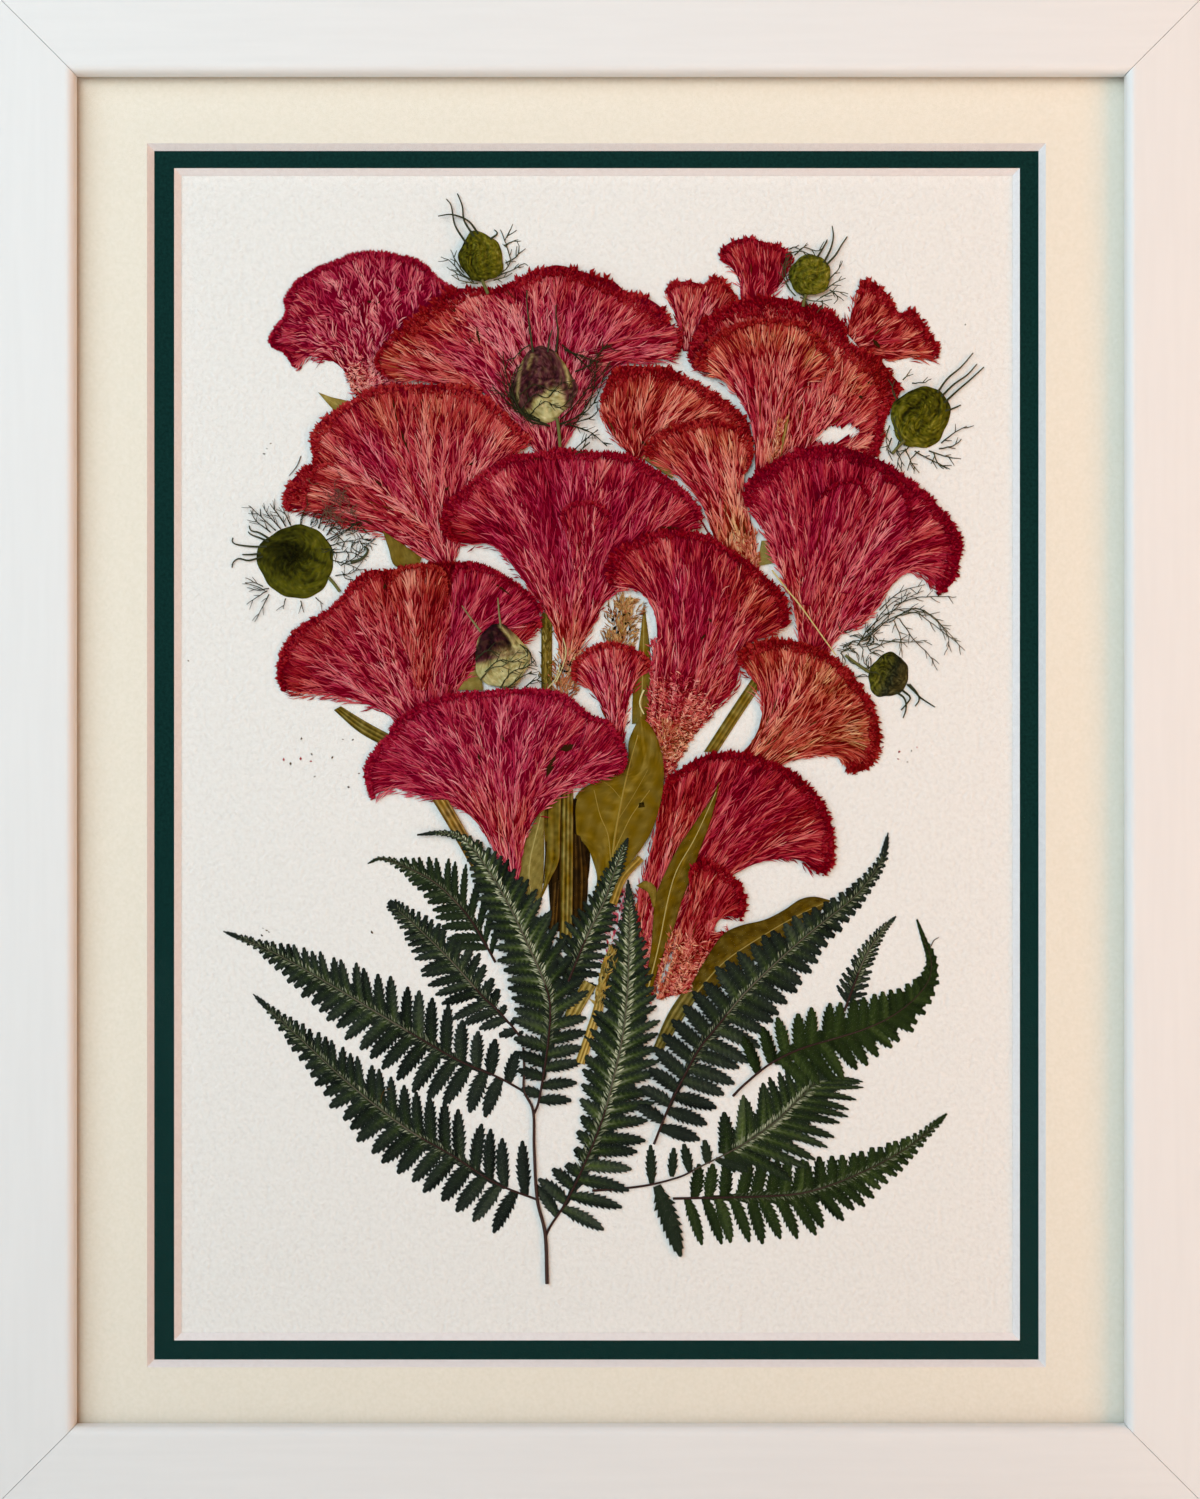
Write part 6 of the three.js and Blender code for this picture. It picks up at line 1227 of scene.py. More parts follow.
fern("frond_03", "fern_pinna_03",
     [(388, 902), (421, 932), (452, 963), (482, 997), (497, 1011), (517, 1034), (522, 1046)],
     [(0, 5, 5), (.15, 11, 11), (.35, 20, 24), (.55, 26, 34), (.7, 20, 38), (.8, 10, 34), (.88, 7, 22), (1, 5, 8)],
     20, seed=303, tone=0.42, silver=0.42, lean=((44, 60, 70), (46, 58, 64)))
fern("frond_04", "fern_pinna_04",
     [(367, 864), (380, 859), (402, 866), (430, 880), (450, 897), (470, 920), (485, 945), (495, 963)],
     [(0, 1, 1), (.18, 4, 4), (.3, 11, 10), (.4, 18, 15), (.6, 32, 24), (.8, 38, 32), (.95, 34, 32)],
     18, seed=304, tone=0.44, hue=0.14, silver=0.25, lean=((35, 40, 40), (44, 50, 55)))
fern("frond_05", "fern_pinna_05",
     [(417, 835), (440, 833), (463, 839), (486, 867), (509, 906), (530, 950), (545, 985), (550, 1010), (547, 1050), (539, 1100), (534, 1114)],
     [(0, 1, 1), (.14, 5, 5), (.2, 11, 11), (.3, 23, 22), (.4, 30, 28), (.5, 36, 33), (.65, 38, 36), (.78, 38, 36), (.88, 34, 26), (.95, 32, 20), (1, 26, 12)],
     32, seed=305, tone=0.43, silver=0.95, lean=((38, 50, 76), (42, 58, 80)), web=(0.85, 0.75, 0.62, 0.34, 0.08), skip=[(0.965, 1.0, 0)])
fern("frond_06", "fern_pinna_06",
     [(628, 838), (615, 870), (605, 900), (590, 930), (577, 960), (565, 990), (560, 1002)],
     [(0, 1, 1), (.12, 6, 6), (.33, 13, 13), (.55, 21, 21), (.75, 28, 28), (1, 28, 28)],
     24, seed=306, tone=0.42, silver=0.80, lean=((38, 52, 70), (38, 52, 66)), web=(0.85, 0.75, 0.65, 0.50, 0.25))
fern("frond_07", "fern_pinna_07",
     [(628, 880), (629, 900), (629, 940), (627, 997), (622, 1040), (612, 1085), (604, 1115), (595, 1140), (580, 1175), (565, 1205), (550, 1228), (545.5, 1238)],
     [(0, 1, 1), (.09, 7, 7), (.14, 11, 11), (.24, 21, 21), (.35, 29, 28), (.45, 36, 34), (.55, 42, 38), (.62, 44, 30), (.7, 46, 20), (.8, 48, 14), (.88, 50, 34), (.95, 46, 34)],
     32, seed=307, tone=0.43, silver=1.0, lean=((36, 52, 80), (36, 54, 74)), web=(0.85, 0.75, 0.62, 0.30, 0.06), skip=[(0.955, 1.0, 0)])
fern("frond_08", "fern_pinna_08",
     [(889, 833), (885, 855), (879, 867), (862, 890), (845, 906), (807, 936), (768, 971), (742, 997), (715, 1030), (699, 1050), (680, 1085), (668, 1110), (654, 1145)],
     [(0, 1, 1), (.09, 6, 6), (.25, 15, 14), (.4, 28, 26), (.5, 36, 34), (.6, 42, 40), (.7, 46, 42), (.8, 48, 40), (.9, 44, 32), (1, 40, 24)],
     32, seed=308, tone=0.41, silver=0.50, lean=((48, 70, 80), (50, 74, 80)))
fern("frond_09", "fern_pinna_09",
     [(897, 917), (880, 935), (865, 960), (855, 985), (845, 1012)],
     [(0, 1, 1), (.27, 6, 6), (.6, 12, 12), (1, 18, 18)],
     18, seed=309, tone=0.45, silver=0.55, lean=((38, 46, 54), (38, 46, 54)), web=(0.85, 0.7, 0.5, 0.4, 0.3))
fern("frond_10", "fern_pinna_10",
     [(918, 920), (925, 940), (932, 960), (930, 980), (915, 1000), (891, 1018), (865, 1030), (840, 1038), (800, 1050), (770, 1065), (745, 1085), (733, 1097)],
     [(0, 1, 1), (.08, 3, 3), (.15, 6, 5), (.2, 8, 8), (.27, 14, 13), (.35, 20, 20), (.5, 30, 32), (.62, 38, 36), (.72, 44, 36), (.8, 36, 36), (.9, 14, 40), (1, 8, 20)],
     26, seed=310, tone=0.42, hue=0.30, silver=0.12, skip=[(0.82, 1.0, 1.0), (0.92, 1.0, -1.0)], lean=((42, 64, 70), (42, 64, 72)), web=(1.0, 0.85, 0.50, 0.24, 0.08))
fern("frond_11", "fern_pinna_11",
     [(830, 1070), (810, 1090), (780, 1119), (755, 1138), (730, 1153), (700, 1168), (680, 1178), (650, 1186), (620, 1190), (592, 1192)],
     [(0, 30, 20), (.15, 42, 30), (.3, 52, 38), (.45, 56, 42), (.55, 50, 30), (.62, 26, 22), (1, 10, 10)],
     20, seed=311, tone=0.43, hue=0.12, silver=0.65, skip=[(0.5, 1.0, 0)], lean=((44, 54, 62), (52, 60, 68)),
     extra=[((690, 1173), (684, 1145), 11), ((672, 1178), (674, 1149), 10), ((652, 1186), (650, 1146), 11), ((708, 1165), (706, 1141), 11),
            ((657, 1187), (684, 1257), 20), ((716, 1160), (748, 1174), 10), ((664, 1132), (692, 1141), 9)])
fern("frond_12", "fern_pinna_12",
     [(948, 1115), (918, 1142), (890, 1160), (860, 1175), (830, 1187), (800, 1195), (760, 1198), (720, 1199), (673, 1200)],
     [(0, 2, 2), (.13, 7, 7), (.3, 20, 17), (.45, 32, 27), (.6, 42, 34), (.75, 46, 38), (.9, 48, 36), (1, 44, 30)],
     26, seed=312, tone=0.43, hue=0.26, silver=0.30, lean=((46, 62, 70), (50, 70, 78)))

b = Build()
plane = Plane("fern_rachis")
for line, r0, r1 in (([(523, 1048), (524, 1070), (524, 1092), (533, 1112), (534, 1150), (537, 1200), (545, 1235), (547, 1285)], 0.30, 0.50),):
    q = arc(mm(line), 60)
    tube(b, q, plane(q) + 0.42, r0, r1, 0.30, 0.98, sides=9, shade=0.2)
ob = b.object("frond_stalk", FERN, smooth=True)
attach(ob, "root")
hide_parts("fern_rachis")


# ---------------------------------------------------------------------------
# Nigella pods
# ---------------------------------------------------------------------------
green = lambda base, up=0.10: (lambda X, Y, g: base + up * X + 0.05 * Y)
flat_hue = lambda v: (lambda X, Y, g: v + 0.0 * X)


def streaks(X, Y, places, top=0.7, low=-0.5):
    """Pale ribs that run down the wall of a ripening pod."""
    f = sum(np.exp(-((X - p * np.sqrt(np.maximum(0.1, 1 - np.clip(Y, -0.95, 0.95) ** 2)) - 0.03 * np.sin(5 * Y + 9 * p)) / 0.05) ** 2) for p in places)
    return np.clip(f, 0, 1) / (1 + np.exp(-(Y - low) * 8)) / (1 + np.exp((Y - top) * 8))


split = lambda X, Y, low, high, at, soft=0.25: low + (high - low) / (1 + np.exp(-(Y - at) / soft * 4))


pod("pod_1", "nigella_pod_1", (481, 257), (22, 25), (-0.25, -1), 401, green(0.50, 0.14), flat_hue(0.02),
    styles=[[(466, 243), (455, 225), (451, 205), (446, 198)], [(474, 236), (464, 220), (462, 205), (457, 192)],
            [(478, 233), (468, 220), (452, 214), (438, 216)], [(490, 238), (497, 232), (494, 228)]],
    lines=[[(500, 274), (510, 262), (507, 248), (504, 238), (500, 228)], [(505, 262), (516, 256), (519, 246), (517, 240)],
           [(498, 276), (514, 268), (524, 262), (528, 264)], [(494, 280), (506, 276), (512, 272)], [(504, 244), (512, 240), (518, 238)],
           [(506, 236), (510, 228), (512, 222)], [(474, 282), (462, 274), (450, 262), (441, 258)], [(470, 280), (456, 274), (447, 268)],
           [(464, 274), (456, 262), (451, 250)], [(478, 284), (462, 282), (452, 276)]],
    stalk=[(482, 280), (485, 287), (488, 294)], bract_tone=0.34)
def near_line(X, Y, line, wide):
    """How close a place on a pod wall is to a drawn rib, 1 on it."""
    q = arc(np.array(line, float), 20)
    d = np.full(X.shape, 1e9)
    for x, y in q:
        d = np.minimum(d, (X - x) ** 2 + (Y - y) ** 2)
    return np.exp(-d / wide ** 2)


def pale_box(X, Y):
    """The pale lower wall of the torn pod, soft at its edges."""
    k = 0.06 * np.sin(9 * X + 4 * Y) + 0.04 * np.sin(13 * Y - 7 * X)
    soft = lambda d: 1 / (1 + np.exp(-(d + k) * 22))
    return soft(-0.24 + 0.28 * X - Y - 0.10 * np.abs(X)) * soft(0.66 - X + 0.15 * Y) * soft(X + 0.42 - 0.45 * (Y + 0.9))


RIBS2 = lambda X, Y: np.clip(near_line(X, Y, [(-0.42, 0.98), (-0.66, 0.45), (-0.78, -0.40)], 0.045) + near_line(X, Y, [(0.36, 1.02), (0.62, 0.60), (0.80, -0.05)], 0.06)
                             + 0.7 * near_line(X, Y, [(-0.27, 0.80), (-0.42, 0.44)], 0.05), 0, 1)
pod("pod_2", "nigella_pod_2", (543, 384), (34, 37), (-0.05, -1), 402,
    lambda X, Y, g: 0.32 + 0.07 * X + 0.14 * RIBS2(X, Y) + 0.32 * pale_box(X, Y) + 0.06 * np.clip(-Y, 0, 1) * (1 - pale_box(X, Y)),
    lambda X, Y, g: 0.99 - 0.30 * RIBS2(X, Y) - 0.40 * pale_box(X, Y) - 0.55 * (1 - pale_box(X, Y)) * np.clip((-Y - 0.62) / 0.15, 0, 1),
    styles=[[(533, 352), (530, 330), (527, 305), (527, 290)], [(556, 352), (558, 332), (556, 316), (556, 305)], [(548, 352), (549, 340), (552, 330)]],
    lines=[[(548, 425), (525, 415), (512, 395), (505, 370), (503, 352)], [(545, 424), (520, 412), (506, 390), (500, 372)],
           [(540, 420), (515, 408), (498, 392), (492, 385)], [(550, 426), (528, 420), (515, 400), (512, 380), (518, 365)],
           [(560, 424), (580, 415), (592, 395), (596, 370), (600, 352), (612, 345)], [(562, 424), (588, 410), (600, 390), (604, 372), (610, 362)],
           [(560, 420), (575, 405), (590, 385), (598, 365)], [(565, 425), (590, 418), (600, 408)], [(570, 425), (590, 432), (600, 440), (607, 446)],
           [(522, 410), (535, 395), (548, 398), (560, 385), (575, 380)], [(530, 415), (545, 402), (560, 408), (575, 395)],
           [(520, 395), (535, 385), (555, 392), (572, 388)], [(530, 345), (520, 352), (510, 365)], [(562, 345), (580, 360), (592, 372)],
           [(565, 350), (585, 358), (598, 362)], [(575, 372), (590, 365), (602, 350), (608, 344)], [(572, 452), (585, 440), (598, 430)],
           [(575, 455), (590, 442)]],
    stalk=[(557, 418), (559, 432), (560, 447)], bract_tone=0.18, r=0.17, high=1.1, mottle=0.13, net=0.12, over=18, taper=0.34)
pod("pod_3", "nigella_pod_3", (810, 275), (21, 21), (0.55, -0.8), 403, green(0.57, 0.06), flat_hue(0.03),
    styles=[[(824, 262), (831, 248), (834, 235), (833, 224)], [(827, 264), (836, 254), (842, 244), (848, 235)], [(818, 256), (824, 246), (828, 238)]],
    lines=[[(790, 290), (783, 275), (786, 260), (792, 254)], [(788, 282), (785, 268), (790, 256)], [(795, 296), (788, 288), (784, 278)],
           [(800, 298), (815, 302), (832, 300)], [(820, 298), (834, 292), (848, 294)], [(826, 290), (836, 282), (846, 278)],
           [(828, 280), (838, 270), (843, 260)], [(830, 290), (838, 298), (834, 304)], [(795, 254), (805, 246), (815, 250), (822, 248), (828, 240)],
           [(786, 254), (800, 250), (812, 255)], [(790, 248), (800, 244)], [(798, 292), (806, 300), (806, 306)], [(822, 300), (822, 310)]],
    stalk=[(806, 295), (804, 301), (803, 307)], bract_tone=0.34)
pod("pod_4", "nigella_pod_4", (921, 417), (29, 31), (0.6, -0.8), 404, lambda X, Y, g: 0.42 + 0.20 * np.clip(X, 0, 1) ** 2 + 0.16 / (1 + np.exp((Y + 0.45 + 0.25 * X) * 14)) + 0.25 * near_line(X, Y, [(0.35, -0.15), (0.42, 0.10)], 0.09) - 0.08 * near_line(X, Y, [(-0.8, -0.4), (0.1, -0.6), (0.8, -0.3)], 0.06), flat_hue(0.02),
    styles=[[(938, 392), (948, 378), (962, 366), (974, 352)], [(942, 396), (954, 384), (968, 374), (978, 363)], [(945, 402), (958, 390), (972, 378), (985, 366)],
            [(946, 410), (953, 408), (962, 404)]],
    lines=[[(905, 445), (898, 430), (892, 415)], [(900, 440), (897, 452), (905, 465)], [(906, 448), (912, 462), (920, 472)],
           [(915, 450), (925, 456), (938, 462), (951, 468)], [(930, 450), (945, 455), (962, 458)], [(940, 448), (955, 445), (963, 438)],
           [(942, 442), (955, 432), (968, 425)], [(910, 446), (900, 456), (898, 466)], [(920, 450), (912, 458), (908, 470)],
           [(935, 452), (938, 462), (945, 468)], [(890, 425), (886, 440), (892, 452)], [(892, 438), (888, 450), (893, 460)],
           [(903, 380), (908, 374), (912, 369)], [(912, 383), (925, 382), (932, 378)], [(897, 400), (892, 390), (895, 380)]],
    stalk=[(905, 440), (899, 446), (893, 453)], bract_tone=0.34)
tangle = []
r5 = np.random.default_rng(55)
for _ in range(44):
    x, y = r5.normal(346, 12), r5.normal(524, 22)
    a = r5.uniform(0, 2 * np.pi)
    tangle.append([(x, y), (x + 8 * math.cos(a), y + 8 * math.sin(a)), (x + 14 * math.cos(a + 0.5), y + 14 * math.sin(a + 0.5))])
pod("pod_5", "nigella_pod_5", (296, 561), (37, 37), (-1, -0.25), 405, lambda X, Y, g: 0.52 - 0.42 * np.exp(-((X - 0.14) / 0.60) ** 2 - ((Y - 0.30) / 0.68) ** 2) - 0.10 * near_line(X, Y, [(0.1, -0.9), (0.15, -0.2), (0.0, 0.4)], 0.06) - 0.10 * near_line(X, Y, [(-0.6, -0.6), (-0.2, -0.3), (0.0, 0.3)], 0.05), flat_hue(0.03),
    styles=[[(266, 546), (252, 546), (236, 544), (231, 541), (232, 537)], [(262, 556), (248, 560), (238, 558), (232, 562), (231, 567)],
            [(260, 553), (250, 554), (241, 554)], [(268, 541), (258, 537), (250, 534), (247, 531)], [(268, 538), (258, 532), (250, 530), (248, 525)],
            (0.5, [(350, 562), (360, 559), (366, 553), (367, 548), (363, 546)])],
    lines=[[(275, 530), (262, 518), (248, 505)], [(280, 528), (268, 515), (262, 505)], [(285, 526), (278, 515), (269, 503)],
           [(270, 532), (255, 520), (250, 510)], [(290, 525), (284, 512), (281, 505)], [(300, 524), (303, 512), (310, 502)],
           [(310, 525), (315, 512)], [(318, 528), (322, 515), (332, 505)], [(325, 540), (345, 530), (362, 520), (373, 523)],
           [(328, 545), (350, 540), (368, 538)], [(330, 552), (352, 552), (366, 560)], [(332, 560), (350, 565), (360, 570)],
           [(326, 535), (340, 515), (345, 500)], [(322, 530), (332, 512), (330, 498)], [(330, 540), (352, 525), (350, 505)],
           [(335, 575), (352, 572), (362, 560)], [(340, 565), (356, 556), (360, 545)], [(345, 535), (357, 530), (362, 520)],
           [(268, 588), (258, 590), (246, 587)], [(266, 590), (252, 600), (245, 604)], [(268, 594), (262, 606), (254, 621)],
           [(262, 586), (250, 580), (244, 577)], [(264, 590), (255, 586), (244, 582)], [(285, 598), (282, 608)], [(300, 600), (303, 612)],
           [(315, 597), (322, 604)]] + tangle,
    stalk=[(328, 577), (334, 584), (339, 591)], bract_tone=0.20, style_tone=0.32, r=0.15, pinch=0.012, mottle=0.07, net=0.05, over=9)
DARK6 = lambda X, Y: 1 / (1 + np.exp(-(Y - 0.08 - 0.10 * np.sin(4 * X + 1)) * 12)) / (1 + np.exp((X - 0.58) * 12))
RIBS6 = lambda X, Y: np.clip(near_line(X, Y, [(-0.62, 0.95), (-0.80, 0.55)], 0.07) + 0.7 * near_line(X, Y, [(0.20, 0.95), (0.45, 0.55), (0.60, 0.05)], 0.07), 0, 1)
pod("pod_6", "nigella_pod_6", (501, 657), (28, 31), (-0.2, -1), 406,
    lambda X, Y, g: 0.62 + 0.08 * np.clip(-Y, 0, 1) - 0.48 * DARK6(X, Y) * (1 - RIBS6(X, Y)) + 0.05 * RIBS6(X, Y),
    lambda X, Y, g: 0.62 + 0.37 * DARK6(X, Y) * (1 - RIBS6(X, Y)) + 0.16 * np.exp(-((Y - 0.02) / 0.10) ** 2),
    styles=[[(481, 632), (472, 620), (465, 610), (462, 606)], [(501, 628), (499, 612), (498, 598)]],
    lines=[[(480, 680), (492, 668), (505, 665), (520, 650)], [(485, 672), (500, 660), (515, 662), (528, 655)],
           [(500, 688), (512, 672), (525, 668), (535, 660)], [(505, 690), (520, 678), (532, 672)], [(475, 660), (488, 650), (500, 655)],
           [(520, 645), (530, 652), (532, 665)], [(522, 690), (535, 680), (545, 684)]],
    stalk=[(505, 686), (507, 692), (508, 699)], bract_tone=0.30, mottle=0.09, net=0.12, over=7, style_tone=0.5, style_hue=0.45, taper=0.14)
dense = []
r7 = np.random.default_rng(77)
for _ in range(34):
    x, y = r7.uniform(838, 880), r7.uniform(630, 680)
    a = r7.uniform(0, 2 * np.pi)
    dense.append([(x, y), (x + 8 * math.cos(a), y + 8 * math.sin(a)), (x + 15 * math.cos(a + 0.4), y + 15 * math.sin(a + 0.4))])
pod("pod_7", "nigella_pod_7", (889, 675), (23, 19), (1, 0.45), 407, lambda X, Y, g: 0.46 - 0.32 / (1 + np.exp(-(Y - 0.10) * 7)) + 0.06 * X, lambda X, Y, g: 0.05 + 0.40 / (1 + np.exp(-(Y - 0.1) * 6)),
    styles=[[(908, 684), (916, 692), (922, 698), (936, 707)], [(897, 692), (905, 698), (907, 708), (904, 718)],
            [(903, 690), (911, 697), (908, 703), (902, 710)], [(910, 684), (918, 693), (920, 700), (916, 706)]],
    lines=[[(858, 645), (870, 628), (890, 612), (910, 608), (926, 610)], [(862, 640), (885, 620), (905, 600), (925, 590)],
           [(868, 632), (890, 605), (912, 592)], [(866, 640), (892, 618), (915, 612), (935, 625), (955, 640), (966, 650)],
           [(890, 622), (915, 608), (938, 620), (950, 640), (945, 655)], [(900, 615), (925, 612), (945, 628), (960, 645)],
           [(895, 620), (902, 640), (900, 655)], [(900, 618), (915, 640), (930, 655), (938, 670)], [(880, 640), (905, 642), (928, 640)],
           [(870, 650), (895, 640), (910, 640)], [(895, 605), (915, 598), (940, 596), (957, 597)], [(880, 610), (900, 592), (926, 584)]] + dense,
    stalk=[(870, 672), (858, 664), (846, 655)], bract_tone=0.28, style_tone=0.26, r=0.16)


# ---------------------------------------------------------------------------
# Leaves and stems
# ---------------------------------------------------------------------------
leaf("broad_leaf", "leaf_broad",
     [(586, 918), (592, 900), (597, 880), (593, 862), (586, 846), (571, 833), (571, 815), (574, 800), (582, 789), (600, 780), (622, 772), (628, 760), (629, 740), (640, 716)],
     [(586, 918), (602, 912), (614, 888), (628, 866), (642, 848), (653, 828), (661, 800), (664, 775), (662, 755), (657, 738), (650, 725), (640, 716)],
     veined(0.46, seed=21), even(0.04, 0.05), ns=22, nt=60,
     veins=[([(598, 905), (608, 880), (612, 860), (616, 830), (627, 775), (638, 735)], 0.34, 0.60, 0.08), ([(611, 862), (608, 835), (600, 815), (594, 790)], 0.16, 0.62, 0.08),
            ([(614, 852), (622, 835), (632, 815), (650, 790)], 0.16, 0.62, 0.08), ([(618, 820), (632, 798), (648, 770)], 0.10, 0.56, 0.08), ([(622, 800), (612, 788), (604, 782)], 0.10, 0.56, 0.08)],
     more=[([(638, 808), (639, 803)], [(645, 807), (644, 802)], veined(0.06, seed=22), even(0.0))])
leaf("grey_leaf", "leaf_grey",
     [(534, 908), (524, 893), (516, 880), (513, 872), (518, 855), (530, 830), (543, 803)],
     [(534, 908), (540, 900), (543, 880), (544, 850), (544, 820), (545, 800)], veined(0.44, seed=23, depth=0.08), even(0.28, 0.04),
     veins=[([(534, 905), (529, 880), (531, 855), (541, 815)], 0.16, 0.66, 0.30)])
leaf("olive_leaf", "leaf_olive",
     [(540, 900), (544, 880), (545, 860), (544, 830), (543, 797)], [(541, 900), (550, 880), (559, 860), (560, 830), (561, 797)],
     fluted(0.45, 2, 0.10, 25), even(0.06, 0.05), ribs=flutes(2, 0.06), veins=[([(546, 842), (545, 862), (543, 884)], 0.22, 0.06, 0.9)])
leaf("blade_leaf", "leaf_blade",
     [(644, 1000), (646, 980), (651, 950), (653, 925), (655, 900), (662, 880), (677, 850), (690, 830), (701, 814), (712, 798), (719, 782)],
     [(650, 1000), (655, 980), (665, 950), (675, 925), (682, 900), (690, 880), (700, 850), (709, 826), (716, 800), (719, 782)],
     veined(0.38, seed=27, depth=0.05), even(0.03, 0.06), veins=[([(648, 990), (659, 945), (668, 900), (677, 870), (695, 838), (716, 792)], 0.18, 0.70, 0.2)])
leaf("right_leaf", "leaf_right",
     [(692, 984), (704, 963), (722, 936), (740, 926), (765, 920), (785, 910), (800, 900), (815, 897), (832, 901)],
     [(698, 1003), (715, 992), (740, 972), (770, 950), (800, 930), (818, 915), (832, 901)],
     veined(0.29, seed=29, depth=0.05), even(0.06, 0.06), veins=[([(696, 994), (725, 962), (765, 935), (800, 915), (828, 902)], 0.18, 0.56, 0.2)])
leaf("tip_leaf", "leaf_tip", [(366, 428), (345, 420), (330, 406), (317, 391)], [(372, 414), (350, 401), (331, 396), (317, 391)],
     veined(0.60, seed=31), even(0.14, 0.05))
leaf("spear_leaf", "leaf_spear",
     [(632, 724), (633, 690), (637, 660), (641, 630), (644, 601)], [(649, 722), (651, 690), (651, 660), (648, 630), (644, 601)],
     veined(0.46, seed=33), even(0.06, 0.05), veins=[([(641, 720), (643, 670), (644, 615)], 0.16, 0.62, 0.2)])
leaf("left_stem", "stem_left", [(390, 750), (358, 732), (333, 710)], [(396, 738), (366, 722), (340, 706)],
     fluted(0.38, 3, 0.14, 35), even(0.16, 0.08), dome=0.3, ribs=flutes(3, 0.07))
leaf("right_stem", "stem_right", [(704, 752), (730, 712), (754, 676)], [(718, 752), (744, 712), (764, 682)],
     fluted(0.48, 3, 0.14, 37), even(0.10, 0.08), dome=0.3, ribs=flutes(3, 0.08))
leaf("brown_stem", "stem_brown", [(486, 894), (470, 866), (450, 830), (432, 800)], [(498, 892), (480, 858), (464, 828), (448, 800)],
     fluted(0.62, 3, 0.18, 39), even(0.92, 0.06), dome=0.3, ribs=flutes(3, 0.08))
leaf("yellow_stem", "stem_yellow", [(559, 940), (560, 860), (561, 790)], [(572, 940), (573, 860), (573, 790)],
     fluted(0.42, 3, 0.18, 41), even(0.14, 0.10), dome=0.3, ribs=flutes(3, 0.08), veins=[([(561, 795), (560, 860), (560, 930)], 0.22, 0.08, 0.9)])

# short lengths that show between the heads
def band(line, wide):
    """The two sides of a stalk of even width along a line."""
    p = np.array(line, float)
    d = np.gradient(p, axis=0)
    d /= np.hypot(d[:, 0], d[:, 1])[:, None]
    n = np.stack([d[:, 1], -d[:, 0]], -1) * wide / 2
    return (p + n).tolist(), (p - n).tolist()


SHORT = [
    ("bract_leaf", [(418, 566), (395, 566), (388, 548), (382, 530)], [(421, 557), (404, 545), (382, 530)], veined(0.42, seed=51), even(0.12), 0.5, "leaf"),
    ("low_leaf", [(456, 690), (472, 666)], [(483, 690), (480, 664)], veined(0.48, seed=53), even(0.25), 0.5, "leaf"),
    ("olive_stem", [(541, 690), (541, 612)], [(552, 690), (552, 614)], fluted(0.42, 2, 0.12, 55), even(0.10), 0.1, "stem"),
    ("green_bit", [(672, 478), (640, 456)], [(676, 470), (650, 450)], veined(0.46, seed=57), even(0.20), 0.6, "leaf"),
    ("straw_strip", [(768, 464), (781, 418)], [(780, 464), (790, 414)], fluted(0.60, 2, 0.10, 59), even(0.40), 0.6, "stem"),
    ("grey_bit", [(757, 566), (762, 540)], [(776, 562), (768, 540)], veined(0.50, seed=61), even(0.33), 0.1, "leaf"),
    ("under_stem", [(552, 932), (548, 880), (547, 796)], [(560, 932), (588, 880), (588, 800)], fluted(0.10, 5, 0.10, 62), even(0.95), 0.03, "stem"),
    ("dark_stem", [(572, 928), (572, 880), (572, 833)], [(585, 926), (588, 880), (584, 838)], fluted(0.20, 3, 0.14, 63), even(0.95), 0.1, "stem"),
    ("thin_stem", [(548, 930), (552, 885)], [(557, 930), (560, 880)], fluted(0.30, 2, 0.14, 65), even(0.95), 0.1, "stem"),
    ("curl_leaf", [(653, 908), (648, 893), (636, 886)], [(657, 904), (656, 888), (646, 881), (636, 886)], veined(0.46, seed=64), even(0.10), 0.9, "leaf"),
    ("cross_stem", *band([(613, 904), (623, 878), (641, 858)], 8), fluted(0.46, 2, 0.16, 66), even(0.52), 0.9, "stem"),
    ("gold_stem", *band([(580, 1064), (590, 1035), (598, 1010), (603, 985), (607, 965), (615, 948)], 10), fluted(0.60, 3, 0.26, 67), even(0.48), 0.35, "stem"),
    ("tan_stem", *band([(569, 1022), (576, 1008), (590, 984)], 14), fluted(0.50, 3, 0.24, 69), even(0.40), 0.3, "stem"),
    ("grey_stem", [(652, 1052), (668, 1015), (688, 985)], [(660, 1056), (682, 1022), (702, 992)], fluted(0.34, 3, 0.14, 71), even(0.30), 0.1, "stem"),
    ("seed_stalk", [(614, 645), (621, 618), (626, 597)], [(622, 645), (629, 618), (633, 597)], fluted(0.50, 2, 0.14, 73), even(0.58), 0.05, "stem"),
]
for name, lt, rt, tn, hu, height, sl in SHORT:
    leaf(name, None, lt, rt, tn, hu, ns=12, nt=24, dome=0.15, height=height)


# dry bracts at the seed stalk and at the feet of the heads
b = Build()
tuft(b, [(618, 644), (622, 620), (630, 598)], 34, 340, Flat(0.30), 0.0, 0.50, 0.98, 951, size=(1.3, 2.8), splay=0.9)
tuft(b, [(561, 694), (566, 672), (574, 650)], 30, 280, Plane("celosia_06"), 0.25, 0.54, 0.86, 952, size=(1.2, 2.8))
tuft(b, [(750, 572), (750, 552), (744, 530)], 22, 120, Plane("celosia_05"), 0.50, 0.62, 0.72, 953)
tuft(b, [(659, 758), (664, 740), (669, 722)], 18, 110, Plane("celosia_13"), 0.45, 0.60, 0.76, 954)
tuft(b, [(773, 462), (776, 440), (784, 418)], 9, 60, Plane("celosia_10"), 0.62, 0.66, 0.74, 955, splay=0.3)
tuft(b, [(640, 1002), (641, 960), (643, 920)], 20, 190, Flat(0.35), 0.0, 0.70, 0.66, 956, size=(1.2, 2.6))
tuft(b, [(631, 926), (639, 906), (645, 890)], 22, 150, Flat(0.45), 0.0, 0.44, 0.70, 957, size=(1.2, 2.4))
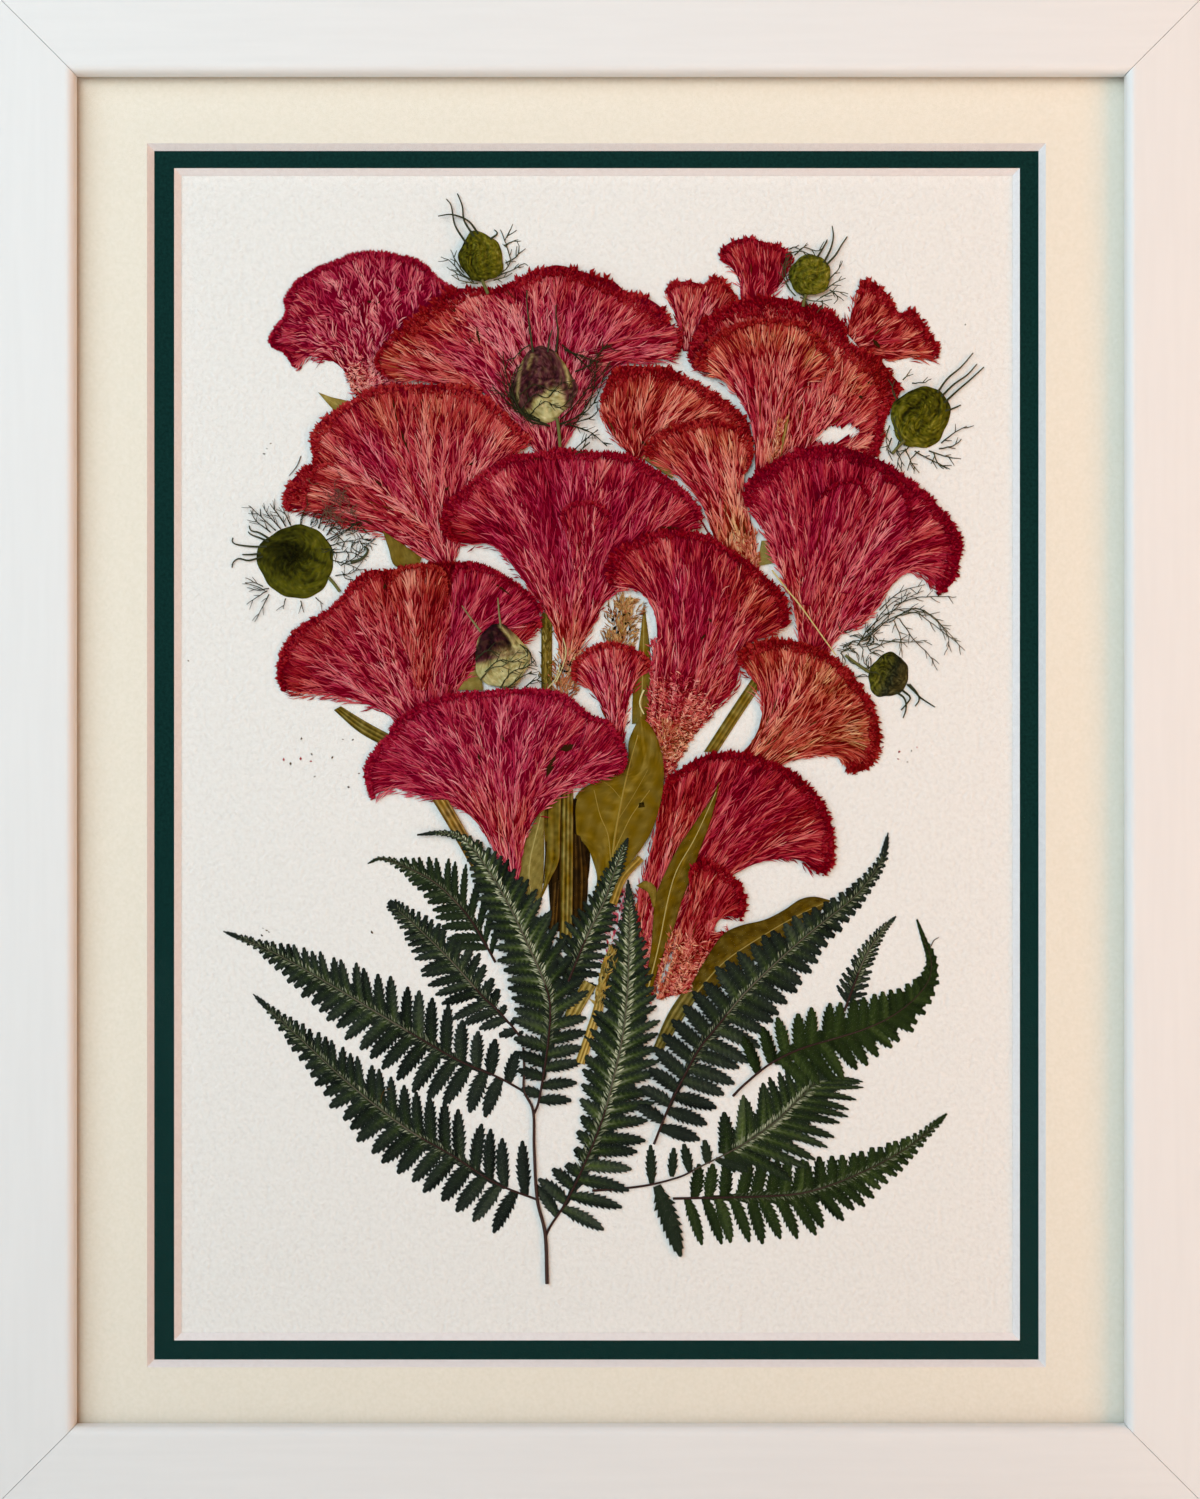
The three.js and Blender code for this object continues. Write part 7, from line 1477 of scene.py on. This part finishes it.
tuft(b, [(609, 972), (615, 935), (623, 893)], 18, 150, Flat(0.20), 0.0, 0.62, 0.10, 958, size=(1.2, 2.6))
tuft(b, [(657, 1000), (664, 966), (674, 930)], 8, 70, Plane("celosia_19"), 0.70, 0.68, 0.72, 959, size=(1.2, 2.4), splay=0.4)
tuft(b, [(652, 700), (653, 670), (654, 640)], 9, 110, Plane("celosia_13"), 0.10, 0.56, 0.22, 960, size=(1.2, 2.4), splay=1.2)
ob = b.object("dry_bracts", CELOSIA)
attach(ob, "root")
b = Build()
tuft(b, [(546, 690), (546, 650), (547, 616)], 13, 110, Flat(0.30), 0.0, 0.44, 0.12, 961, size=(1.2, 2.6), splay=0.5)
tuft(b, [(598, 1004), (604, 980), (613, 950)], 10, 70, Plane("stem_yellow"), 0.25, 0.60, 0.45, 962, size=(1.6, 3.4), splay=0.25)
ob = b.object("stem_fibres", LEAF)
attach(ob, "root")


# the smoky tangle of hairs over the head beside the largest pod
b = Build()
smoke = []
for _ in range(46):
    x, y = r5.normal(338, 9), r5.normal(506, 13)
    a = r5.uniform(0, 2 * np.pi)
    smoke.append([(x, y), (x + 7 * math.cos(a), y + 7 * math.sin(a)), (x + 13 * math.cos(a + 0.5), y + 13 * math.sin(a + 0.5))])
threads(b, smoke, Plane("celosia_03"), 1.10, 971, 0.34, 0.95, 0.11, 9.0, 6.0)
ob = b.object("tangle_hairs", NIGELLA)
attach(ob, "root")


# ---------------------------------------------------------------------------
# Loose hairs and the crumbs that fell on the paper
# ---------------------------------------------------------------------------
b = Build()
for line, r, tone, hue, h in (([(772, 570), (786, 588), (800, 605), (818, 630), (836, 655)], 0.22, 0.80, 0.45, 1.45),
                              ([(556, 682), (562, 668), (566, 652), (563, 638)], 0.20, 0.82, 0.33, 1.0), ([(546, 690), (556, 678), (560, 664)], 0.18, 0.80, 0.33, 1.0),
                              ([(644, 690), (641, 697), (640, 705), (644, 714)], 0.24, 0.92, 0.30, 1.1),
                              ([(300, 455), (296, 465), (288, 475)], 0.12, 0.16, 0.9, 0.15), ([(932, 947), (935, 941), (940, 938)], 0.13, 0.20, 0.9, 0.15),
                              ([(380, 1105), (381, 1097), (384, 1091), (390, 1090)], 0.13, 0.20, 0.9, 0.15)):
    q = arc(mm(line), max(8, int(length(line) / 3)))
    tube(b, q, np.full(len(q), h), r, 0.7 * r, tone, hue, sides=5)
ob = b.object("loose_hairs", LEAF)
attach(ob, "root")


def crumbs(name, material, seed, patches, tone, hue, h):
    """Flakes scattered in round patches: place, reach, how many, longest, in grid units."""
    rng = np.random.default_rng(seed)
    b = Build()
    for x, y, rx, ry, n, big in patches:
        at = mm(np.stack([x + rx * rng.uniform(-1, 1, n), y + ry * rng.uniform(-1, 1, n)], -1))
        a = rng.uniform(0, 2 * np.pi, n)
        ln = big * UNIT * rng.uniform(0.45, 1.0, n)
        blades(b, at, np.stack([np.cos(a), np.sin(a)], -1), ln, ln * rng.uniform(0.3, 0.7, n), np.full(n, h), np.full(n, 0.03), np.full(n, 0.08),
               tone + rng.normal(0, 0.08, n), hue + rng.normal(0, 0.04, n), rng.normal(0, 0.1, n))
    ob = b.object(name, material)
    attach(ob, "root")


crumbs("dark_crumbs", LEAF, 901,
       [(325, 760, 38, 28, 9, 4), (264, 932, 10, 5, 4, 4), (186, 661, 1, 1, 1, 4), (370, 932, 2, 2, 1, 5), (725, 965, 34, 30, 7, 4), (878, 765, 46, 24, 8, 4),
        (266, 448, 4, 7, 3, 4), (967, 323, 1, 1, 1, 4)], 0.30, 0.92, 0.06)
crumbs("red_crumbs", CELOSIA, 903, [(849, 312, 4, 6, 4, 5), (300, 770, 20, 14, 3, 5), (900, 752, 22, 10, 4, 5)], 0.40, 0.36, 0.06)
crumbs("seed_dots", LEAF, 905, [(621, 624, 9, 14, 14, 6)], 0.05, 0.97, 0.62)
crumbs("base_seeds", LEAF, 907, [(570, 676, 9, 15, 11, 6)], 0.05, 0.97, 1.05)


# ---------------------------------------------------------------------------
# Frame, glass, mats, paper and back
# ---------------------------------------------------------------------------
def coords(nt, scale=(1, 1, 1), kind="Object"):
    tc = nt.nodes.new("ShaderNodeTexCoord")
    mp = nt.nodes.new("ShaderNodeMapping")
    mp.inputs["Scale"].default_value = scale
    nt.links.new(tc.outputs[kind], mp.inputs["Vector"])
    return mp.outputs["Vector"]


def noise(nt, vec, scale, detail=4.0, rough=0.55, distortion=0.0):
    n = nt.nodes.new("ShaderNodeTexNoise")
    n.inputs["Scale"].default_value = scale
    n.inputs["Detail"].default_value = detail
    n.inputs["Roughness"].default_value = rough
    n.inputs["Distortion"].default_value = distortion
    nt.links.new(vec, n.inputs["Vector"])
    return n.outputs["Fac"]


def ramp(nt, fac, stops):
    r = nt.nodes.new("ShaderNodeValToRGB")
    el = r.color_ramp.elements
    while len(el) < len(stops):
        el.new(0.5)
    for e, (p, c) in zip(el, stops):
        e.position = p
        e.color = srgb(c) + (1.0,)
    nt.links.new(fac, r.inputs["Fac"])
    return r.outputs["Color"]


def bump(nt, bsdf, parts, dist):
    """parts: (height socket, strength) from coarse to fine."""
    last = None
    for h, s in parts:
        bm = nt.nodes.new("ShaderNodeBump")
        bm.inputs["Strength"].default_value = s
        bm.inputs["Distance"].default_value = dist
        nt.links.new(h, bm.inputs["Height"])
        if last is not None:
            nt.links.new(last, bm.inputs["Normal"])
        last = bm.outputs["Normal"]
    nt.links.new(last, bsdf.inputs["Normal"])


def rough_from(nt, bsdf, fac, lo, hi):
    mr = nt.nodes.new("ShaderNodeMapRange")
    mr.inputs["To Min"].default_value = lo
    mr.inputs["To Max"].default_value = hi
    nt.links.new(fac, mr.inputs["Value"])
    nt.links.new(mr.outputs["Result"], bsdf.inputs["Roughness"])


# satin white paint, brushed along the wood: faint streaks and orange peel
def white_paint(name, along):
    m, nt, bsdf = nodes_of(name)
    v = coords(nt, (10, 170, 170) if along == "x" else (170, 170, 10))
    streak = noise(nt, v, 3.0, 2.0)
    nt.links.new(ramp(nt, streak, [(0.25, (229, 232, 234)), (0.75, (232, 235, 237))]), bsdf.inputs["Base Color"])
    rough_from(nt, bsdf, streak, 0.36, 0.48)
    bump(nt, bsdf, [(noise(nt, coords(nt), 700.0, 0.0), 0.06)], 0.0003)
    bsdf.inputs["Specular IOR Level"].default_value = 0.3
    return m


def board(name, stops, scale, strength, rough=0.9, dist=0.0003, spec=0.08):
    m, nt, bsdf = nodes_of(name)
    f = noise(nt, coords(nt), scale, 2.0, 0.6)
    nt.links.new(ramp(nt, f, stops), bsdf.inputs["Base Color"])
    bump(nt, bsdf, [(f, strength)], dist)
    bsdf.inputs["Roughness"].default_value = rough
    bsdf.inputs["Specular IOR Level"].default_value = spec
    return m


def watercolour(name):
    """Cold-pressed paper: soft dimples about a millimetre apart with a finer tooth."""
    m, nt, bsdf = nodes_of(name)
    dim = noise(nt, coords(nt), 950.0, 2.0, 0.6, 0.3)
    # painted shade: the paper is a little darker where the same noise sinks the bump into dimples
    nt.links.new(ramp(nt, dim, [(0.28, (226, 226, 225)), (0.50, (233, 234, 233)), (0.72, (237, 238, 238))]), bsdf.inputs["Base Color"])
    bump(nt, bsdf, [(dim, 0.5)], 0.0008)
    bsdf.inputs["Roughness"].default_value = 0.95
    bsdf.inputs["Specular IOR Level"].default_value = 0.05
    return m


def clear_glass(name):
    m = bpy.data.materials.new(name)
    m.use_nodes = True
    nt = m.node_tree
    nt.nodes.clear()
    out = nt.nodes.new("ShaderNodeOutputMaterial")
    mix = nt.nodes.new("ShaderNodeMixShader")
    clear = nt.nodes.new("ShaderNodeBsdfTransparent")
    clear.inputs["Color"].default_value = (0.992, 0.996, 0.994, 1.0)
    gloss = nt.nodes.new("ShaderNodeBsdfGlossy")
    gloss.inputs["Roughness"].default_value = 0.02
    edge = nt.nodes.new("ShaderNodeLayerWeight")
    edge.inputs["Blend"].default_value = 0.03
    nt.links.new(edge.outputs["Facing"], mix.inputs[0])
    nt.links.new(clear.outputs[0], mix.inputs[1])
    nt.links.new(gloss.outputs[0], mix.inputs[2])
    nt.links.new(mix.outputs[0], out.inputs["Surface"])
    return m


def steel(name):
    m, nt, bsdf = nodes_of(name)
    n = noise(nt, coords(nt, (1, 1, 14)), 260.0, 2.0)
    nt.links.new(ramp(nt, n, [(0.3, (150, 150, 148)), (0.7, (186, 186, 184))]), bsdf.inputs["Base Color"])
    bsdf.inputs["Metallic"].default_value = 1.0
    rough_from(nt, bsdf, n, 0.28, 0.42)
    return m


def wear(node, mats):
    ob = frame["nodes"][node]
    ob.data.materials.clear()
    for m in mats:
        ob.data.materials.append(m)
    return ob


def window_edge(node, face, core):
    """The face material everywhere but the slanted cut, which shows the white core."""
    ob = wear(node, [face, core])
    for p in ob.data.polygons:
        p.material_index = 1 if 0.2 < abs(p.normal.y) < 0.95 else 0


PAINT_X = white_paint("white_paint_across", "x")
PAINT_Z = white_paint("white_paint_upright", "z")
for node in ("rail_top", "rail_bottom"):
    wear(node, [PAINT_X])
for node in ("rail_left", "rail_right"):
    wear(node, [PAINT_Z])
pane = wear("glass", [clear_glass("picture_glass")])
pane.visible_shadow = False
pane.visible_diffuse = False
CORE = board("mat_core", [(0.3, (230, 226, 228)), (0.7, (237, 234, 236))], 900.0, 0.25)
window_edge("mat_cream", board("cream_mat", [(0.3, (230, 226, 213)), (0.7, (236, 232, 221))], 1100.0, 0.30), CORE)
window_edge("mat_green", board("green_mat", [(0.3, (8, 38, 37)), (0.7, (16, 52, 50))], 1300.0, 0.35, spec=0.04), CORE)
wear("mount_paper", [watercolour("watercolour_paper")])
wear("backing_board", [board("kraft_backing", [(0.3, (134, 106, 74)), (0.5, (150, 120, 86)), (0.7, (164, 136, 100))], 900.0, 0.3)])
wear("hanger", [steel("hanger_steel")])


# ---------------------------------------------------------------------------
# Floor, light and camera
# ---------------------------------------------------------------------------
def floor_material():
    m, nt, bsdf = nodes_of("pale_floor")
    n = noise(nt, coords(nt), 3.0, 3.0)
    nt.links.new(ramp(nt, n, [(0.3, (222, 220, 216)), (0.7, (228, 226, 222))]), bsdf.inputs["Base Color"])
    bsdf.inputs["Roughness"].default_value = 0.9
    return m


low_z = cad_box[0][2]
me = bpy.data.meshes.new("floor")
s = 4.0
me.from_pydata([(-s, -s, low_z - 0.0005), (s, -s, low_z - 0.0005), (s, s, low_z - 0.0005), (-s, s, low_z - 0.0005)], [], [(0, 1, 2, 3)])
me.materials.append(floor_material())
floor = bpy.data.objects.new("floor", me)
bpy.context.scene.collection.objects.link(floor)


def area_light(name, loc, aim, size, power, colour):
    from mathutils import Vector
    li = bpy.data.lights.new(name, "AREA")
    li.shape = "RECTANGLE"
    li.size, li.size_y = size
    li.energy = power
    li.color = colour
    ob = bpy.data.objects.new(name, li)
    ob.location = loc
    ob.rotation_euler = (Vector(aim) - Vector(loc)).to_track_quat("-Z", "Y").to_euler()
    bpy.context.scene.collection.objects.link(ob)
    return ob


MID = (0.0, -0.01, -0.186)
area_light("key", (-0.95, -0.95, 0.50), MID, (0.9, 0.9), 9.4, (0.765, 0.90, 1.0))
front = area_light("front", (-0.30, -1.30, 0.10), MID, (0.6, 0.6), 7.8, (0.865, 1.0, 1.0))
front.visible_glossy = False
area_light("side", (0.66, -0.50, -0.15), MID, (0.4, 0.8), 3.9, (1.0, 0.35, 0.05))
area_light("behind", (0.4, 1.5, 0.7), MID, (1.4, 1.2), 23.0, (1.0, 0.98, 0.95))
area_light("right", (1.15, 0.42, 0.25), MID, (0.7, 0.6), 7.0, (0.82, 0.94, 1.0))

w = bpy.data.worlds.new("studio")
w.use_nodes = True
bg = w.node_tree.nodes["Background"]
bg.inputs["Color"].default_value = (1.0, 0.985, 0.965, 1.0)
bg.inputs["Strength"].default_value = 0.05
bpy.context.scene.world = w

cam = bpy.data.cameras.new("view")
cam.sensor_fit = "VERTICAL"
cam.sensor_height = 24.0
cam.lens = 31.68
cam.clip_start = 0.01
cob = bpy.data.objects.new("view", cam)
cob.location = (-0.000127, -0.520, -0.185873)
cob.rotation_euler = (math.radians(90), 0, 0)
bpy.context.scene.collection.objects.link(cob)
bpy.context.scene.camera = cob
paths = bpy.context.scene.cycles
paths.max_bounces, paths.diffuse_bounces, paths.glossy_bounces = 4, 3, 2
bpy.context.scene.view_settings.view_transform = "Standard"
bpy.context.scene.view_settings.look = "None"
